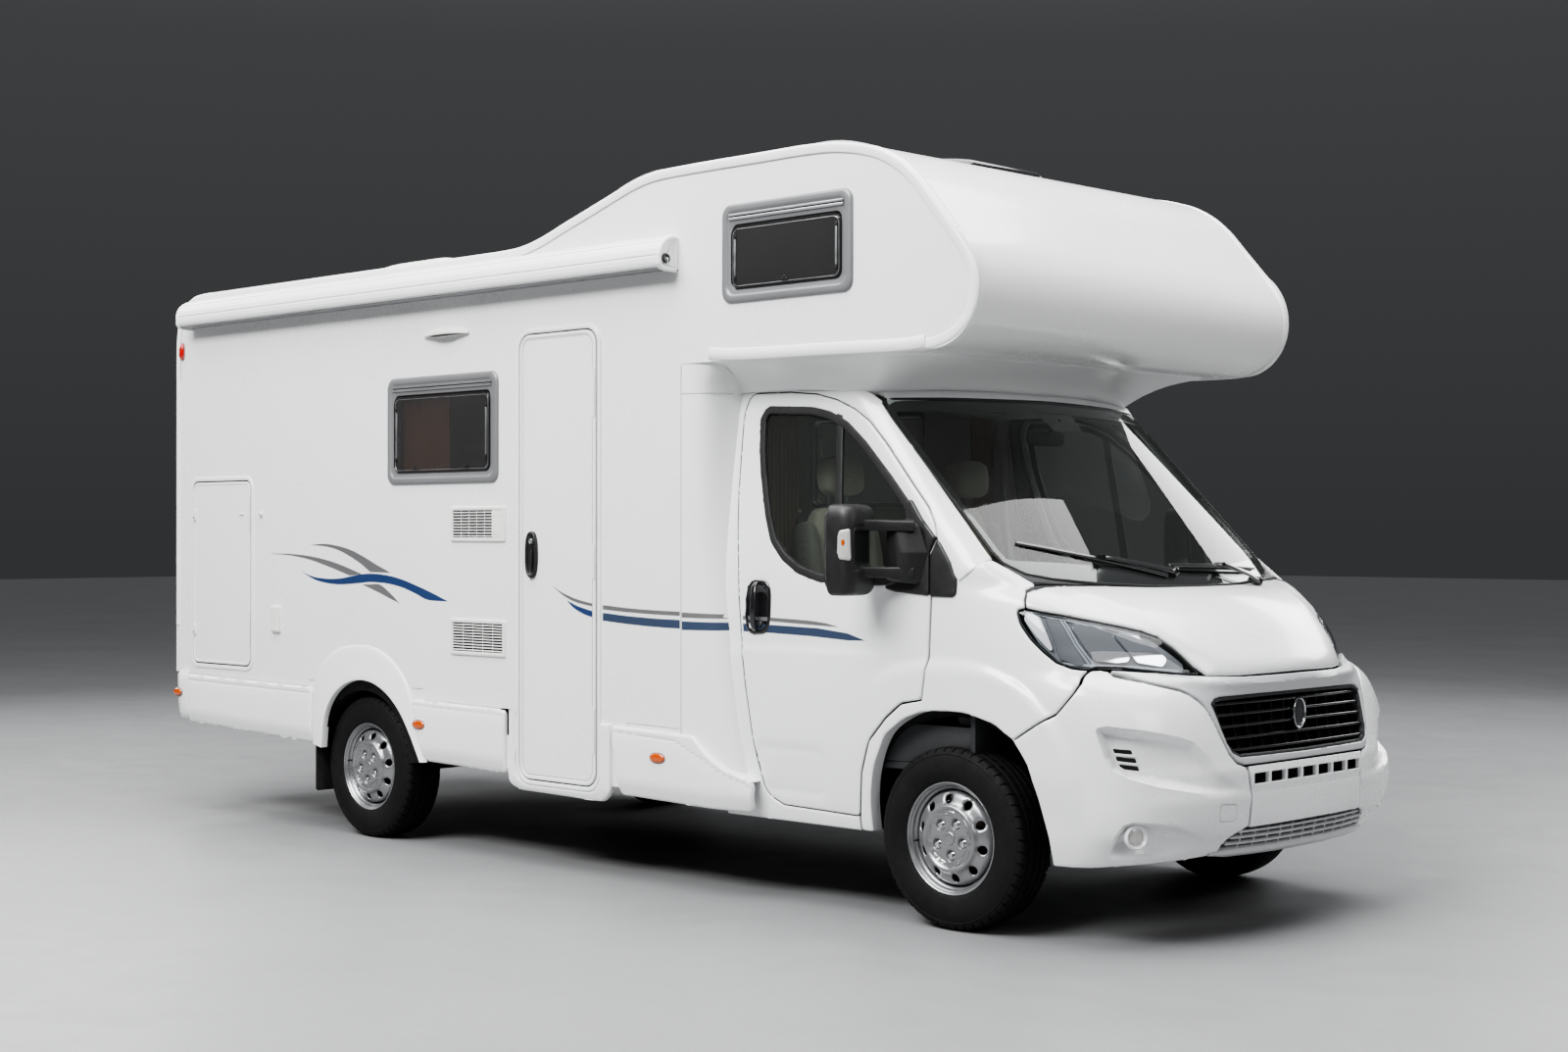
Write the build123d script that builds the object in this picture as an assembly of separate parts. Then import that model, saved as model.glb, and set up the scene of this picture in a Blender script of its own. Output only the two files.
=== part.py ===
from build123d import *
from math import sqrt
import os

os.makedirs("parts", exist_ok=True)

# Over-cab motorhome on a front-wheel-drive light van chassis.  Millimetres.
# +X forward, +Y left, +Z up; origin on the ground under the middle of the
# overall box.  All x values in the tables are from the front axle: fa() shifts
# them.  z is from the ground.

# ---------------------------------------------------------------- dimensions
FRONT_AXLE_X = 2307.5
WHEELBASE = 3800.0
BODY_HALF_W = 1105.0          # living body, outer face of the side walls
WALL_T = 30.0                 # sandwich wall
SKIN_T = 32.0                 # roof, nose, rear wall
FLOOR_TOP_Z, FLOOR_T = 785.0, 48.0
SKIRT_OUT = 16.0              # skirts stand proud of the wall
GAP = 6.0                     # running gap round doors and lids

AXLE_Z = 359.0
TYRE_R, TYRE_W = 359.0, 216.0
RIM_R, RIM_W = 220.5, 176.0
FRONT_WHEEL_Y = 900.0         # middle plane of the tyre
REAR_WHEEL_Y = 952.0
KINGPIN_Y = 820.0
STEER_SWEEP_R = 427.0

CAB_T = 35.0                  # cab panels
DOOR_T = 58.0                 # whole cab door

ARCH_F = (50.0, 400.0, 450.0)        # front wheel opening: x, z, radius
ARCH_R_OPEN = (-3800.0, 405.0, 395.0)  # rear wheel opening in the skirt
ARCH_R_FLARE = (-3760.0, 485.0, 500.0)  # outer edge of the rear flare

SCREEN_BASE = (490.0, 1335.0)
SCREEN_TOP = (-300.0, 2115.0)
SCREEN_BEND_R = 2900.0


def fa(x):
    return FRONT_AXLE_X + x


# ------------------------------------------------------------------- helpers
def outline(items):
    """Closed face from (x, z) points; a 4-tuple (mx, mz, x, z) is an arc."""
    start = items[0][:2]
    here, edges = start, []
    for it in list(items[1:]) + [start]:
        end = it[-2:]
        if sqrt((end[0] - here[0]) ** 2 + (end[1] - here[1]) ** 2) < 1e-6:
            continue
        if len(it) == 4:
            edges.append(ThreePointArc(here, it[:2], end))
        else:
            edges.append(Line(here, end))
        here = end
    return make_face(edges)


def side_prism(face, y0, y1):
    """Face drawn in (x from front axle, z), extruded from y0 to y1."""
    pl = Plane(origin=(FRONT_AXLE_X, y0, 0), x_dir=(1, 0, 0), z_dir=(0, -1, 0))
    return extrude(pl * face, amount=y1 - y0, dir=(0, 1, 0))


def front_prism(face, x0, x1):
    """Face drawn in (y, z), extruded from x0 to x1 (from front axle)."""
    pl = Plane(origin=(fa(x0), 0, 0), x_dir=(0, 1, 0), z_dir=(1, 0, 0))
    return extrude(pl * face, amount=x1 - x0, dir=(1, 0, 0))


def plan_prism(face, z0, z1):
    """Face drawn in (x from front axle, y), extruded from z0 to z1."""
    pl = Plane(origin=(FRONT_AXLE_X, 0, z0), x_dir=(1, 0, 0), z_dir=(0, 0, 1))
    return extrude(pl * face, amount=z1 - z0, dir=(0, 0, 1))


def block(x0, x1, y0, y1, z0, z1):
    return Pos(fa((x0 + x1) / 2), (y0 + y1) / 2, (z0 + z1) / 2) * Box(
        abs(x1 - x0), abs(y1 - y0), abs(z1 - z0)
    )


def rrect(x0, x1, z0, z1, r):
    return Pos((x0 + x1) / 2, (z0 + z1) / 2) * RectangleRounded(x1 - x0, z1 - z0, r)


def disc(x, z, r):
    return Pos(x, z) * Circle(r)


def ycyl(x, y0, y1, z, r):
    """Cylinder along Y."""
    return side_prism(disc(x, z, r), min(y0, y1), max(y0, y1))


def flip(shape):
    return mirror(shape, about=Plane.XZ)


def solids_of(shape):
    return sorted(shape.solids(), key=lambda s: -s.volume)


def biggest(shape, n=1):
    got = solids_of(shape)[:n]
    return got[0] if n == 1 else Compound(got)


PARTS = {}


def keep(name, shape):
    PARTS[name] = shape


# --------------------------------------------------------- living body shape
# Side profile of the living body, clockwise from the lower rear corner.
BODY_PROFILE = [
    (-5577, 770),
    (-5577, 2560),
    (-5488, 2788, -5285, 2872),
    (-2660, 2872),
    (-2420, 2896, -2196, 2961),
    (-1838, 3068),
    (-1710, 3108, -1560, 3130),
    (-580, 3130),
    (-300, 3079, -75, 2940),
    (130, 2706),
    (212, 2597, 233, 2484),
    (172, 2334, 20, 2262),
    (-1222, 2277),
    (-1413, 2277),
    (-1413, 705),
]
NOSE_SEAM_X = -620.0          # roof panel ends, nose moulding starts
body_face = outline(BODY_PROFILE)
inner_face = offset(body_face, amount=-SKIN_T)
ring_face = body_face - inner_face
Y_IN = BODY_HALF_W - WALL_T
ring = side_prism(ring_face, -Y_IN, Y_IN)

# Side windows and overcab windows: x0, x1, z0, z1 (outer frame)
WINDOW_MAIN = (-3551, -2671, 1786, 2315)
WINDOW_OVER = (-1155, -409, 2514, 2931)
WINDOW_LEFT_DINETTE = (-2760, -1860, 1640, 2240)
WINDOW_LEFT_REAR = (-5200, -4500, 1786, 2250)
REAR_WINDOW = (-450, 450, 1640, 2200)     # y0, y1, z0, z1
WINDOWS = [  # side (-1 right, +1 left), frame
    (-1, WINDOW_MAIN),
    (-1, WINDOW_OVER),
    (1, WINDOW_OVER),
    (1, WINDOW_LEFT_DINETTE),
    (1, WINDOW_LEFT_REAR),
]
FRAME_W = 42.0                # visible width of a window frame
WINDOW_R = 60.0

# Fridge vents: x0, x1, z0, z1
VENTS = [(-3038, -2615, 1505, 1676), (-3038, -2615, 961, 1138)]
# Doors in the walls: x0, x1, z0, z1, corner radius
ENTRANCE = (-2506, -1970, 409, 2465, 70)
GARAGE = (-5390, -4810, 830, 1825, 45)
SERVICE = (-3350, -2900, 830, 1250, 40)   # left side service locker

door_tab = rrect(-2575, -1862, 362, 1200, 95)


def wall(side):
    face = body_face
    if side < 0:
        face = face + door_tab
    face = face - disc(ARCH_R_FLARE[0], ARCH_R_FLARE[1], ARCH_R_FLARE[2])
    face = face - Pos(ARCH_R_FLARE[0], 585) * Rectangle(2 * ARCH_R_FLARE[2], 400)
    for s, (x0, x1, z0, z1) in WINDOWS:
        if s == side:
            face = face - rrect(
                x0 + FRAME_W, x1 - FRAME_W, z0 + FRAME_W, z1 - FRAME_W, 40
            )
    openings = [ENTRANCE, GARAGE] if side < 0 else [SERVICE]
    for x0, x1, z0, z1, r in openings:
        face = face - rrect(x0 - GAP, x1 + GAP, z0 - GAP, z1 + GAP, r + GAP)
    y0 = side * (BODY_HALF_W - WALL_T)
    y1 = side * BODY_HALF_W
    return side_prism(face, min(y0, y1), max(y0, y1))


keep("right_side_wall", biggest(wall(-1)))
keep("left_side_wall", biggest(wall(1)))

# Ring split into rear wall, roof and nose moulding.
rear_cut = block(-5700, -5577 + SKIN_T + 0.0, -1200, 1200, 700, 2560)
rear_wall = biggest(ring & rear_cut)
rear_wall = rear_wall - front_prism(
    rrect(REAR_WINDOW[0] + FRAME_W, REAR_WINDOW[1] - FRAME_W,
          REAR_WINDOW[2] + FRAME_W, REAR_WINDOW[3] - FRAME_W, 40), -5700, -5400)
keep("rear_wall", biggest(rear_wall))

roof_zone = block(-5700, NOSE_SEAM_X, -1200, 1200, 2560, 3300)
roof = ring & roof_zone
roof = roof - block(-1420, NOSE_SEAM_X, -1200, 1200, 2200, 2600)
roof = biggest(roof)

# Roof lights: x0, x1, y0, y1, roof z, rim height, lid height, name
ROOFLIGHTS = [
    (-4020, -3420, -860, -360, 2872, 26, 62, "rear_rooflight_lid"),
    (-1180, -700, -420, 60, 3130, 14, 44, "overcab_rooflight_lid"),
]
RIM_T = 24.0
for x0, x1, y0, y1, rz, rim_h, lid_h, name in ROOFLIGHTS:
    rim = block(x0 + 30, x1 - 30, y0 + 30, y1 - 30, rz - SKIN_T, rz + rim_h)
    hole = block(x0 + 30 + RIM_T, x1 - 30 - RIM_T, y0 + 30 + RIM_T, y1 - 30 - RIM_T,
                 rz - 200, rz + 200)
    roof = (roof + rim) - hole
    cx, cy = (x0 + x1) / 2, (y0 + y1) / 2
    top_z = rz + rim_h + lid_h
    dome = loft([
        Plane(origin=(fa(cx), cy, rz + rim_h + 5)) * RectangleRounded(x1 - x0, y1 - y0, 50),
        Plane(origin=(fa(cx), cy, rz + rim_h + 5 + 0.55 * lid_h)) * RectangleRounded(x1 - x0 - 24, y1 - y0 - 24, 45),
        Plane(origin=(fa(cx), cy, top_z)) * RectangleRounded(x1 - x0 - 130, y1 - y0 - 130, 40),
    ], ruled=True)
    hollow = loft([
        Plane(origin=(fa(cx), cy, rz + rim_h + 5)) * RectangleRounded(x1 - x0 - 16, y1 - y0 - 16, 42),
        Plane(origin=(fa(cx), cy, rz + rim_h + 5 + 0.5 * lid_h)) * RectangleRounded(x1 - x0 - 40, y1 - y0 - 40, 37),
        Plane(origin=(fa(cx), cy, top_z - 9)) * RectangleRounded(x1 - x0 - 150, y1 - y0 - 150, 32),
    ], ruled=True)
    keep(name, biggest(dome - hollow))
keep("main_roof", biggest(roof))

nose = ring - block(-5700, NOSE_SEAM_X, -1200, 1200, 2500, 3300)
nose = nose & block(-1413, 400, -1200, 1200, 2200, 3300)
keep("overcab_nose", biggest(nose))

# ------------------------------------------------------------ living floor
floor = block(-5577 + SKIN_T, -1414, -Y_IN, Y_IN, FLOOR_TOP_Z - FLOOR_T, FLOOR_TOP_Z)
floor = floor + block(-1414, -1240, -975, 975, FLOOR_TOP_Z - FLOOR_T, FLOOR_TOP_Z)
step_x0, step_x1, STEP_Y = -2500.0, -1976.0, -700.0
floor = floor - block(step_x0, step_x1, -Y_IN - 1, STEP_Y, 600, 900)
well = block(step_x0 - 12, step_x1 + 12, -Y_IN, STEP_Y + 12, 440, FLOOR_TOP_Z - FLOOR_T)
well = well - block(step_x0, step_x1, -Y_IN - 1, STEP_Y, 458, 900)
for s in (-1, 1):   # low boxes over the rear wheels
    y0, y1 = s * 800, s * Y_IN
    floor = floor - block(-4200, -3400, y0, y1, 700, FLOOR_TOP_Z - 14)
keep("living_floor", biggest(floor + well))

# ------------------------------------------------------------------- skirts
# Skirt panels as side outlines; top edge falls 65 mm from rear to front.
def top_z(x):
    return 770 + (705 - 770) * (x + 5577) / (5577 - 1413)


ax, az, ar = ARCH_R_OPEN
fx, fz, fr = ARCH_R_FLARE
flare = disc(fx, fz, fr) + Pos(fx, 470) * Rectangle(2 * fr, 60)
flare = flare - Pos(fx, 140) * Rectangle(2 * fr + 20, 600)
open_r = disc(ax, az, ar) + Pos(ax, 300) * Rectangle(2 * ar, 210)
flare = flare - open_r

SKIRT_PANELS = {
    "rear": [(-5440, 497), (-5440, top_z(-5440)), (fx - fr, top_z(fx - fr)), (fx - fr, 480)],
    "middle": [(fx + fr, 455), (fx + fr, top_z(fx + fr)), (-2577, top_z(-2577)), (-2577, 430)],
    "front": [(-1860, 412), (-1860, top_z(-1860)), (-1440, 698), (-1330, 672), (-1165, 548),
              (-1047, 505), (-1000, 492), (-1000, 372), (-1100, 378)],
    "left": [(fx + fr, 455), (fx + fr, top_z(fx + fr)), (-1440, 698), (-1330, 672),
             (-1165, 548), (-1047, 505), (-1000, 492), (-1000, 372), (-1100, 378)],
}


def skirt(name, side, y_in=1076.0, y_out=BODY_HALF_W + SKIRT_OUT):
    face = outline(SKIRT_PANELS[name]) if name != "flare" else flare
    if name == "flare":
        y_out = BODY_HALF_W + 24
    y0, y1 = side * y_in, side * y_out
    return side_prism(face, min(y0, y1), max(y0, y1))


right = skirt("flare", -1) + skirt("rear", -1) + skirt("middle", -1)
front_trim = block(-1240, -900, -1200, 1200, 300, 900)
right_front = skirt("front", -1)
left = skirt("flare", 1) + skirt("rear", 1) + skirt("left", 1)
wall_zone_r = PARTS["right_side_wall"]
wall_zone_l = PARTS["left_side_wall"]
keep("right_skirts", Compound([*(right - wall_zone_r).solids(), *(right_front - wall_zone_r).solids()]))
keep("left_skirts", biggest(left - wall_zone_l))

# Rear bumper: corner at x -5615, wraps to the skirts.
bumper_face = outline([(-5615, 530), (-5615, 1010), (-5598, 1024), (-5577, 1024), (-5577, 767),
                       (-5441, 767), (-5441, 497), (-5560, 497)])
rear_bumper = side_prism(bumper_face, -1121, 1121)
rear_bumper = rear_bumper - block(-5577, -5400, -1076, 1076, 400, 770)
LAMP_Y = (800, 1040)
for s in (-1, 1):
    rear_bumper = rear_bumper - block(-5640, -5590, s * LAMP_Y[0], s * LAMP_Y[1], 800, 960)
keep("rear_bumper", biggest(rear_bumper))
lamps = []
for s in (-1, 1):
    lamps.append(block(-5608, -5590, s * (LAMP_Y[0] + 2), s * (LAMP_Y[1] - 2), 802, 958))
keep("rear_lights", Compound(lamps))

# ------------------------------------------------- hatches and entrance door
def wall_door(spec, side, proud=4.0):
    x0, x1, z0, z1, r = spec
    y0, y1 = side * (BODY_HALF_W - WALL_T), side * (BODY_HALF_W + proud)
    return side_prism(rrect(x0, x1, z0, z1, r), min(y0, y1), max(y0, y1))


keep("entrance_door", wall_door(ENTRANCE, -1))
keep("garage_hatch", wall_door(GARAGE, -1))
keep("service_hatch", wall_door(SERVICE, 1))

# ------------------------------------------------------------------ windows
frames = []
for side, (x0, x1, z0, z1) in WINDOWS:
    outer = rrect(x0, x1, z0, z1, WINDOW_R)
    y0, y1 = side * BODY_HALF_W, side * (BODY_HALF_W + 18)
    flange = side_prism(outer, min(y0, y1), max(y0, y1))
    core = rrect(x0 + FRAME_W, x1 - FRAME_W, z0 + FRAME_W, z1 - FRAME_W, 40)
    y2 = side * (BODY_HALF_W - WALL_T)
    frames.append(biggest(flange + side_prism(core, min(y2, y1), max(y2, y1))))
y0, y1, z0, z1 = REAR_WINDOW
rw = front_prism(rrect(y0, y1, z0, z1, WINDOW_R), -5577 - 18, -5577)
rw = rw + front_prism(rrect(y0 + FRAME_W, y1 - FRAME_W, z0 + FRAME_W, z1 - FRAME_W, 40),
                      -5577 - 18, -5577 + SKIN_T)
frames.append(biggest(rw))
keep("living_windows", Compound(frames))

vents = []
for x0, x1, z0, z1 in VENTS:
    vents.append(side_prism(rrect(x0, x1, z0, z1, 12), -BODY_HALF_W - 14, -BODY_HALF_W))
keep("fridge_vents", Compound(vents))

# ------------------------------------------------------------------- awning
AWNING = (-5395, -1430)
awn = front_prism(outline([(-1105, 2690), (-1105, 2815), (-1132, 2822), (-1160, 2818, -1190, 2798),
                           (-1212, 2768, -1217, 2725), (-1205, 2690)]), AWNING[0], AWNING[1])
keep("awning_cassette", awn)

# ---------------------------------------------------------------- cab shape
CAB_REAR_X = -1225.0
SIDE_CAB = [
    (CAB_REAR_X, 338), (-420, 338), (-300, 300), (915, 300), (975, 362), (1000, 450), (1000, 600),
    (962, 668), (945, 985), (905, 1035), (720, 1240, 500, 1338), (-282, 2122),
    (-345, 2165, -430, 2188), (CAB_REAR_X, 2205),
]
PLAN_HALF = [(CAB_REAR_X, 1000), (-600, 1020), (400, 1022), (812, 838, 985, 400), (996, 200, 1000, 0)]
FRONT_HALF = [(965, 300), (1000, 420), (1025, 700), (1025, 1000), (1005, 1320), (905, 2100),
              (880, 2172, 800, 2206)]

nx, nz = 780.0, 790.0
nl = sqrt(nx * nx + nz * nz)
N_SCREEN = (nx / nl, nz / nl)
S_SCREEN = (-nz / nl, nx / nl)


def open_rear(table, d):
    """Inner shapes run on past the rear of the cab, which is open there."""
    if not d:
        return table
    return [(it[0] - 300, it[1]) if it[0] == CAB_REAR_X else
            (it[:2] + (it[2] - 300, it[3]) if len(it) == 4 and it[2] == CAB_REAR_X else it)
            for it in table]


def cab_side_face(d):
    f = outline(open_rear(SIDE_CAB, d))
    return offset(f, amount=-d) if d else f


def half_to_full(half, close):
    pts = [half[0]]
    pts += half[1:]
    back = []
    prev = half[-1][-2:]
    seq = list(half)
    for i in range(len(seq) - 1, 0, -1):
        it, before = seq[i], seq[i - 1]
        end = before[-2:]
        if len(it) == 4:
            m = it[:2]
            back.append((m[0], -m[1], end[0], -end[1]) if close == "y2" else (-m[0], m[1], -end[0], end[1]))
        else:
            back.append((end[0], -end[1]) if close == "y2" else (-end[0], end[1]))
    return pts, back


def plan_face(d):
    fwd, back = half_to_full(open_rear(PLAN_HALF, d), "y2")
    f = outline(fwd + back)
    return offset(f, amount=-d) if d else f


def front_face(d):
    fwd, back = half_to_full(FRONT_HALF, "x2")
    f = outline(fwd + [(-FRONT_HALF[-1][-2], FRONT_HALF[-1][-1])] + back)
    return offset(f, amount=-d) if d else f


def screen_cyl(d):
    c = (fa(SCREEN_BASE[0]) - N_SCREEN[0] * SCREEN_BEND_R, 0,
         SCREEN_BASE[1] - N_SCREEN[1] * SCREEN_BEND_R)
    pl = Plane(origin=c, x_dir=(0, 1, 0), z_dir=(S_SCREEN[0], 0, S_SCREEN[1]))
    return extrude(pl * Circle(SCREEN_BEND_R - d), amount=3500, both=True)


def cab_solid(d):
    o = side_prism(cab_side_face(d), -1100, 1100)
    o = o & plan_prism(plan_face(d), 200, 2400)
    o = o & front_prism(front_face(d), -1600, 1100)
    upper = block(-1600, 1100, -1200, 1200, 1338, 2400) - screen_cyl(d)
    return biggest(o - upper)


CAB0 = cab_solid(0)
CAB_IN = cab_solid(CAB_T)
CAB_DOOR_IN = cab_solid(DOOR_T)
shell = CAB0 - CAB_IN

# Cab door outline and window, side view.
DOOR_OUT = [
    (-1000, 430), (-1090, 645), (-1138, 850), (-1170, 1125), (-1187, 1540), (-1178, 1886),
    (-1165, 2065), (-1150, 2122, -1095, 2136), (-820, 2128), (-600, 2078), (-420, 1962),
    (-262, 1815), (-150, 1665), (-108, 1540), (-106, 1290), (-118, 898),
    (-345, 800, -448, 575), (-462, 408), (-900, 412),
]
DOOR_WIN = [
    (-1062, 1985), (-1052, 2045, -1000, 2062), (-700, 2050), (-520, 1940), (-330, 1775),
    (-212, 1625), (-180, 1540), (-176, 1350), (-640, 1362), (-905, 1440, -1030, 1640),
]
door_face = outline(DOOR_OUT)
door_hole = offset(door_face, amount=GAP)
win_face = outline(DOOR_WIN)

# Windscreen outline seen from the front: y, z
SCREEN_OUT = [(-905, 1400), (-838, 2060), (-815, 2092), (815, 2092), (838, 2060), (905, 1400),
              (0, 1362, -905, 1400)]
screen_prism = front_prism(outline(SCREEN_OUT), -800, 700)
glass_band = cab_solid(4) - cab_solid(10)
windscreen = biggest(glass_band & screen_prism)
keep("windscreen", windscreen)

# Bonnet in plan: rear edge follows the cowl, sides follow the lamps.
BONNET_PLAN = [(310, 885), (352, 930), (600, 800), (760, 655), (838, 525), (905, 300), (928, 0),
               (905, -300), (838, -525), (760, -655), (600, -800), (352, -930), (310, -885),
               (478, 0, 310, 885)]
bonnet_face = outline(BONNET_PLAN)
bonnet_zone = plan_prism(bonnet_face, 1000, 1500)
bonnet_hole = plan_prism(offset(bonnet_face, amount=GAP), 985, 1500)
bonnet = biggest(shell & bonnet_zone)
keep("bonnet", bonnet)

rem = shell - screen_prism - bonnet_hole

# Wheel openings: arch circle on the outside, the steering sweep inside.
sweeps = []
for s in (-1, 1):
    sweeps.append(Pos(fa(0), s * KINGPIN_Y, 385) * Cylinder(STEER_SWEEP_R, 770))
    a = ycyl(ARCH_F[0], s * 560, s * 1150, ARCH_F[1], ARCH_F[2])
    sweeps.append(a)
    sweeps.append(block(ARCH_F[0] - 430, ARCH_F[0] + 430, s * 560, s * 1150, 200, 420))
for c in sweeps:
    rem = rem - c

# Headlamps: the front corners between bonnet edge, wing and bumper.
LAMP_SIDE = [(300, 1275), (322, 1170), (420, 1075), (500, 1030), (860, 1012), (900, 1050), (900, 1300)]
LAMP_PLAN = [(300, 860), (300, 1100), (1050, 1100), (1050, 500), (842, 518), (760, 655 - 60), (600, 740)]
lamp_zone = side_prism(outline(LAMP_SIDE), 500, 1100) & plan_prism(outline(LAMP_PLAN), 1000, 1320)
lamps = []
for s in (-1, 1):
    zone = lamp_zone if s > 0 else flip(lamp_zone)
    body = (cab_solid(1) - cab_solid(33)) & zone
    body = body - bonnet_hole
    lamps.append(biggest(body))
lamp_cut = [lamp_zone, flip(lamp_zone)]
keep("headlamps", Compound(lamps))
for c in lamp_cut:
    rem = rem - c

# Bumper: in front of the seam that runs from lamp to arch.
BUMPER_SIDE = [(338, 771), (500, 1030), (860, 1011), (1050, 1011), (1050, 200), (100, 200), (100, 500)]
bumper_zone = side_prism(outline(BUMPER_SIDE), -1100, 1100)
GRILLE = [(-520, 925), (-400, 690), (400, 690), (520, 925), (515, 1008), (-515, 1008)]
grille_zone = front_prism(outline(GRILLE), 700, 1100)
bumper = (rem & bumper_zone) - grille_zone - block(-500, 250, -1100, 1100, 200, 420)
bumper = bumper - block(100, 930, -560, 560, 200, 345)
LOWER_GRILLE = (-420, 420, 352, 430)
UPPER_SLOTS = (-395, 395, 618, 662)
bumper = bumper - front_prism(rrect(*LOWER_GRILLE, 12), 850, 1100)
keep("front_bumper", biggest(bumper))

grille_plate = ((cab_solid(6) - cab_solid(30)) & grille_zone & bumper_zone) - bonnet_hole
slots = []
for z0, z1 in ((712, 748), (758, 794), (804, 840), (850, 886), (896, 932)):
    half = 400 + (z0 - 690) * 0.45 - 25
    slots.append(front_prism(rrect(-half, half, z0, z1, 8), 700, 1100))
for c in slots:
    grille_plate = grille_plate - c
keep("front_grille", biggest(grille_plate))

# Wings.
WING_SIDE = [(-98, 560), (-98, 1352), (308, 1352), (560, 1352), (560, 1030), (500, 1030), (338, 771), (100, 700)]
wing_zone = side_prism(outline(WING_SIDE), 600, 1100)
door_gap_cut = side_prism(door_hole, 600, 1150)
wing = (rem - bumper_zone) & wing_zone
wing = biggest(wing - door_gap_cut)
keep("front_wings", Compound([wing, flip(wing)]))

# Welded cab: pillars, roof, sills, floor, firewall and wheel boxes.
front_zone = block(-98, 1100, -1200, 1200, 200, 1352)
cab = rem - front_zone
for s in (-1, 1):
    cut = door_gap_cut if s > 0 else flip(door_gap_cut)
    cab = cab - cut
cab = cab - block(-1300, -400, -880, 880, 200, 600)
cab = cab - block(-1230, -1180, -890, 890, 640, 2160)   # open to the living area
cab = cab - block(-460, 200, -880, 880, 200, 600)
parts = [block(-1225, 40, -955, 955, 600, 636)]
fire = block(84, 112, -985, 985, 600, 1346)
cowl = block(84, 470, -905, 905, 1328, 1346)
parts += [fire, cowl]
for s in (-1, 1):
    parts.append(block(-460, 112, s * 545, s * 955, 600, 792))
    parts.append(block(-1000, -470, s * 860, s * 955, 345, 636))
extra = parts[0]
for p in parts[1:]:
    extra = extra + p
extra = extra & cab_solid(CAB_T - 1)
extra = extra - screen_prism - bonnet_hole
for c in sweeps:
    extra = extra - c
cab = cab + extra
for s in (-1, 1):
    d_in = (CAB0 - CAB_DOOR_IN) & side_prism(door_hole, 600, 1150)
    cab = cab - (d_in if s > 0 else flip(d_in))
cab = cab - windscreen
for s in (-1, 1):
    cab = cab - (wing if s > 0 else flip(wing))
keep("cab_shell", biggest(cab))

# Cab doors with cut windows, and their glass.
door = (CAB0 - CAB_DOOR_IN) & side_prism(door_face, 600, 1150)
door = door - side_prism(win_face, 600, 1150)
door = biggest(door)
glass = biggest((cab_solid(14) - cab_solid(19)) & side_prism(win_face, 600, 1150))
keep("left_cab_door", door)
keep("right_cab_door", flip(door))
keep("left_door_glass", glass)
keep("right_door_glass", flip(glass))

# Mirrors: base on the door corner, two arms, upright head.  x, y, z in mm.
MIRROR_HEAD = (-425, -300, 1075, 1270, 1330, 1665)
hx0, hx1, hy0, hy1, hz0, hz1 = MIRROR_HEAD
head = plan_prism(Pos((hx0 + hx1) / 2, (hy0 + hy1) / 2) * RectangleRounded(hx1 - hx0, hy1 - hy0, 45), hz0, hz1)
arm_face = outline([(-120, 1022), (-120, 1050), (-300, 1150), (-330, 1150), (-330, 1120), (-165, 1024)])
arms = plan_prism(arm_face, 1380, 1412) + plan_prism(arm_face, 1560, 1592)
base = side_prism(outline([(-112, 1330), (-112, 1540), (-150, 1640), (-200, 1600), (-240, 1345)]), 960, 1062)
base = base - CAB0 
base = biggest(base)
mir = biggest(head + arms + base)
keep("left_mirror", mir)
keep("right_mirror", flip(mir))

# ------------------------------------------------------ fairing behind cab
# Corner mouldings between the living body walls and the narrower cab.
fair_plan = outline([(-1412.5, 1105), (-1390, 1105), (-1300, 1086), (-1226, 1030), (-1226, 985),
                     (-1300, 985), (-1330, 1060), (-1412.5, 1075)])
fair = plan_prism(fair_plan, 360, 2276)
fair = fair - skirt("front", 1) - skirt("left", 1)
fair = fair - block(-1440, -1200, 900, 1200, 200, 500)
fair = biggest(fair - CAB0)
keep("cab_fairings", Compound([fair, flip(fair)]))

# -------------------------------------------------------------- cab fittings
dash = side_prism(outline([(80, 700), (80, 1322), (-120, 1316), (-205, 1262), (-215, 1080), (-110, 900), (-60, 720)]),
                  -900, 900)
dash = dash & cab_solid(DOOR_T + 8)
dash = dash - block(-300, 200, -905, -540, 600, 800) - block(-300, 200, 540, 905, 600, 800)
keep("dashboard", biggest(dash))

# Steering wheel, left-hand drive.
SW_C = (-395.0, 425.0, 1215.0)
SW_TILT = 58.0
sw_pl = Plane(origin=(fa(SW_C[0]), SW_C[1], SW_C[2]), x_dir=(0, 1, 0), z_dir=(-0.53, 0, 0.848))
rimw = sw_pl * Torus(190, 15)
hub = sw_pl * (Pos(0, 0, -12) * Cylinder(62, 44))
sp = [sw_pl * (Rot(0, 0, a) * Pos(95, 0, -4) * Box(180, 34, 14)) for a in (0, 180, 270)]
sw = rimw + hub
for p in sp:
    sw = sw + p
keep("steering_wheel", biggest(sw))
SW_COLUMN = 175.0
col = sw_pl * (Pos(0, 0, -42 - SW_COLUMN / 2) * Cylinder(48, SW_COLUMN))
col = col - PARTS["dashboard"]
PARTS["dashboard"] = biggest(PARTS["dashboard"] + biggest(sw_pl * (Pos(0, 0, -42 - SW_COLUMN / 2) * Cylinder(48, SW_COLUMN))))

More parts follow.
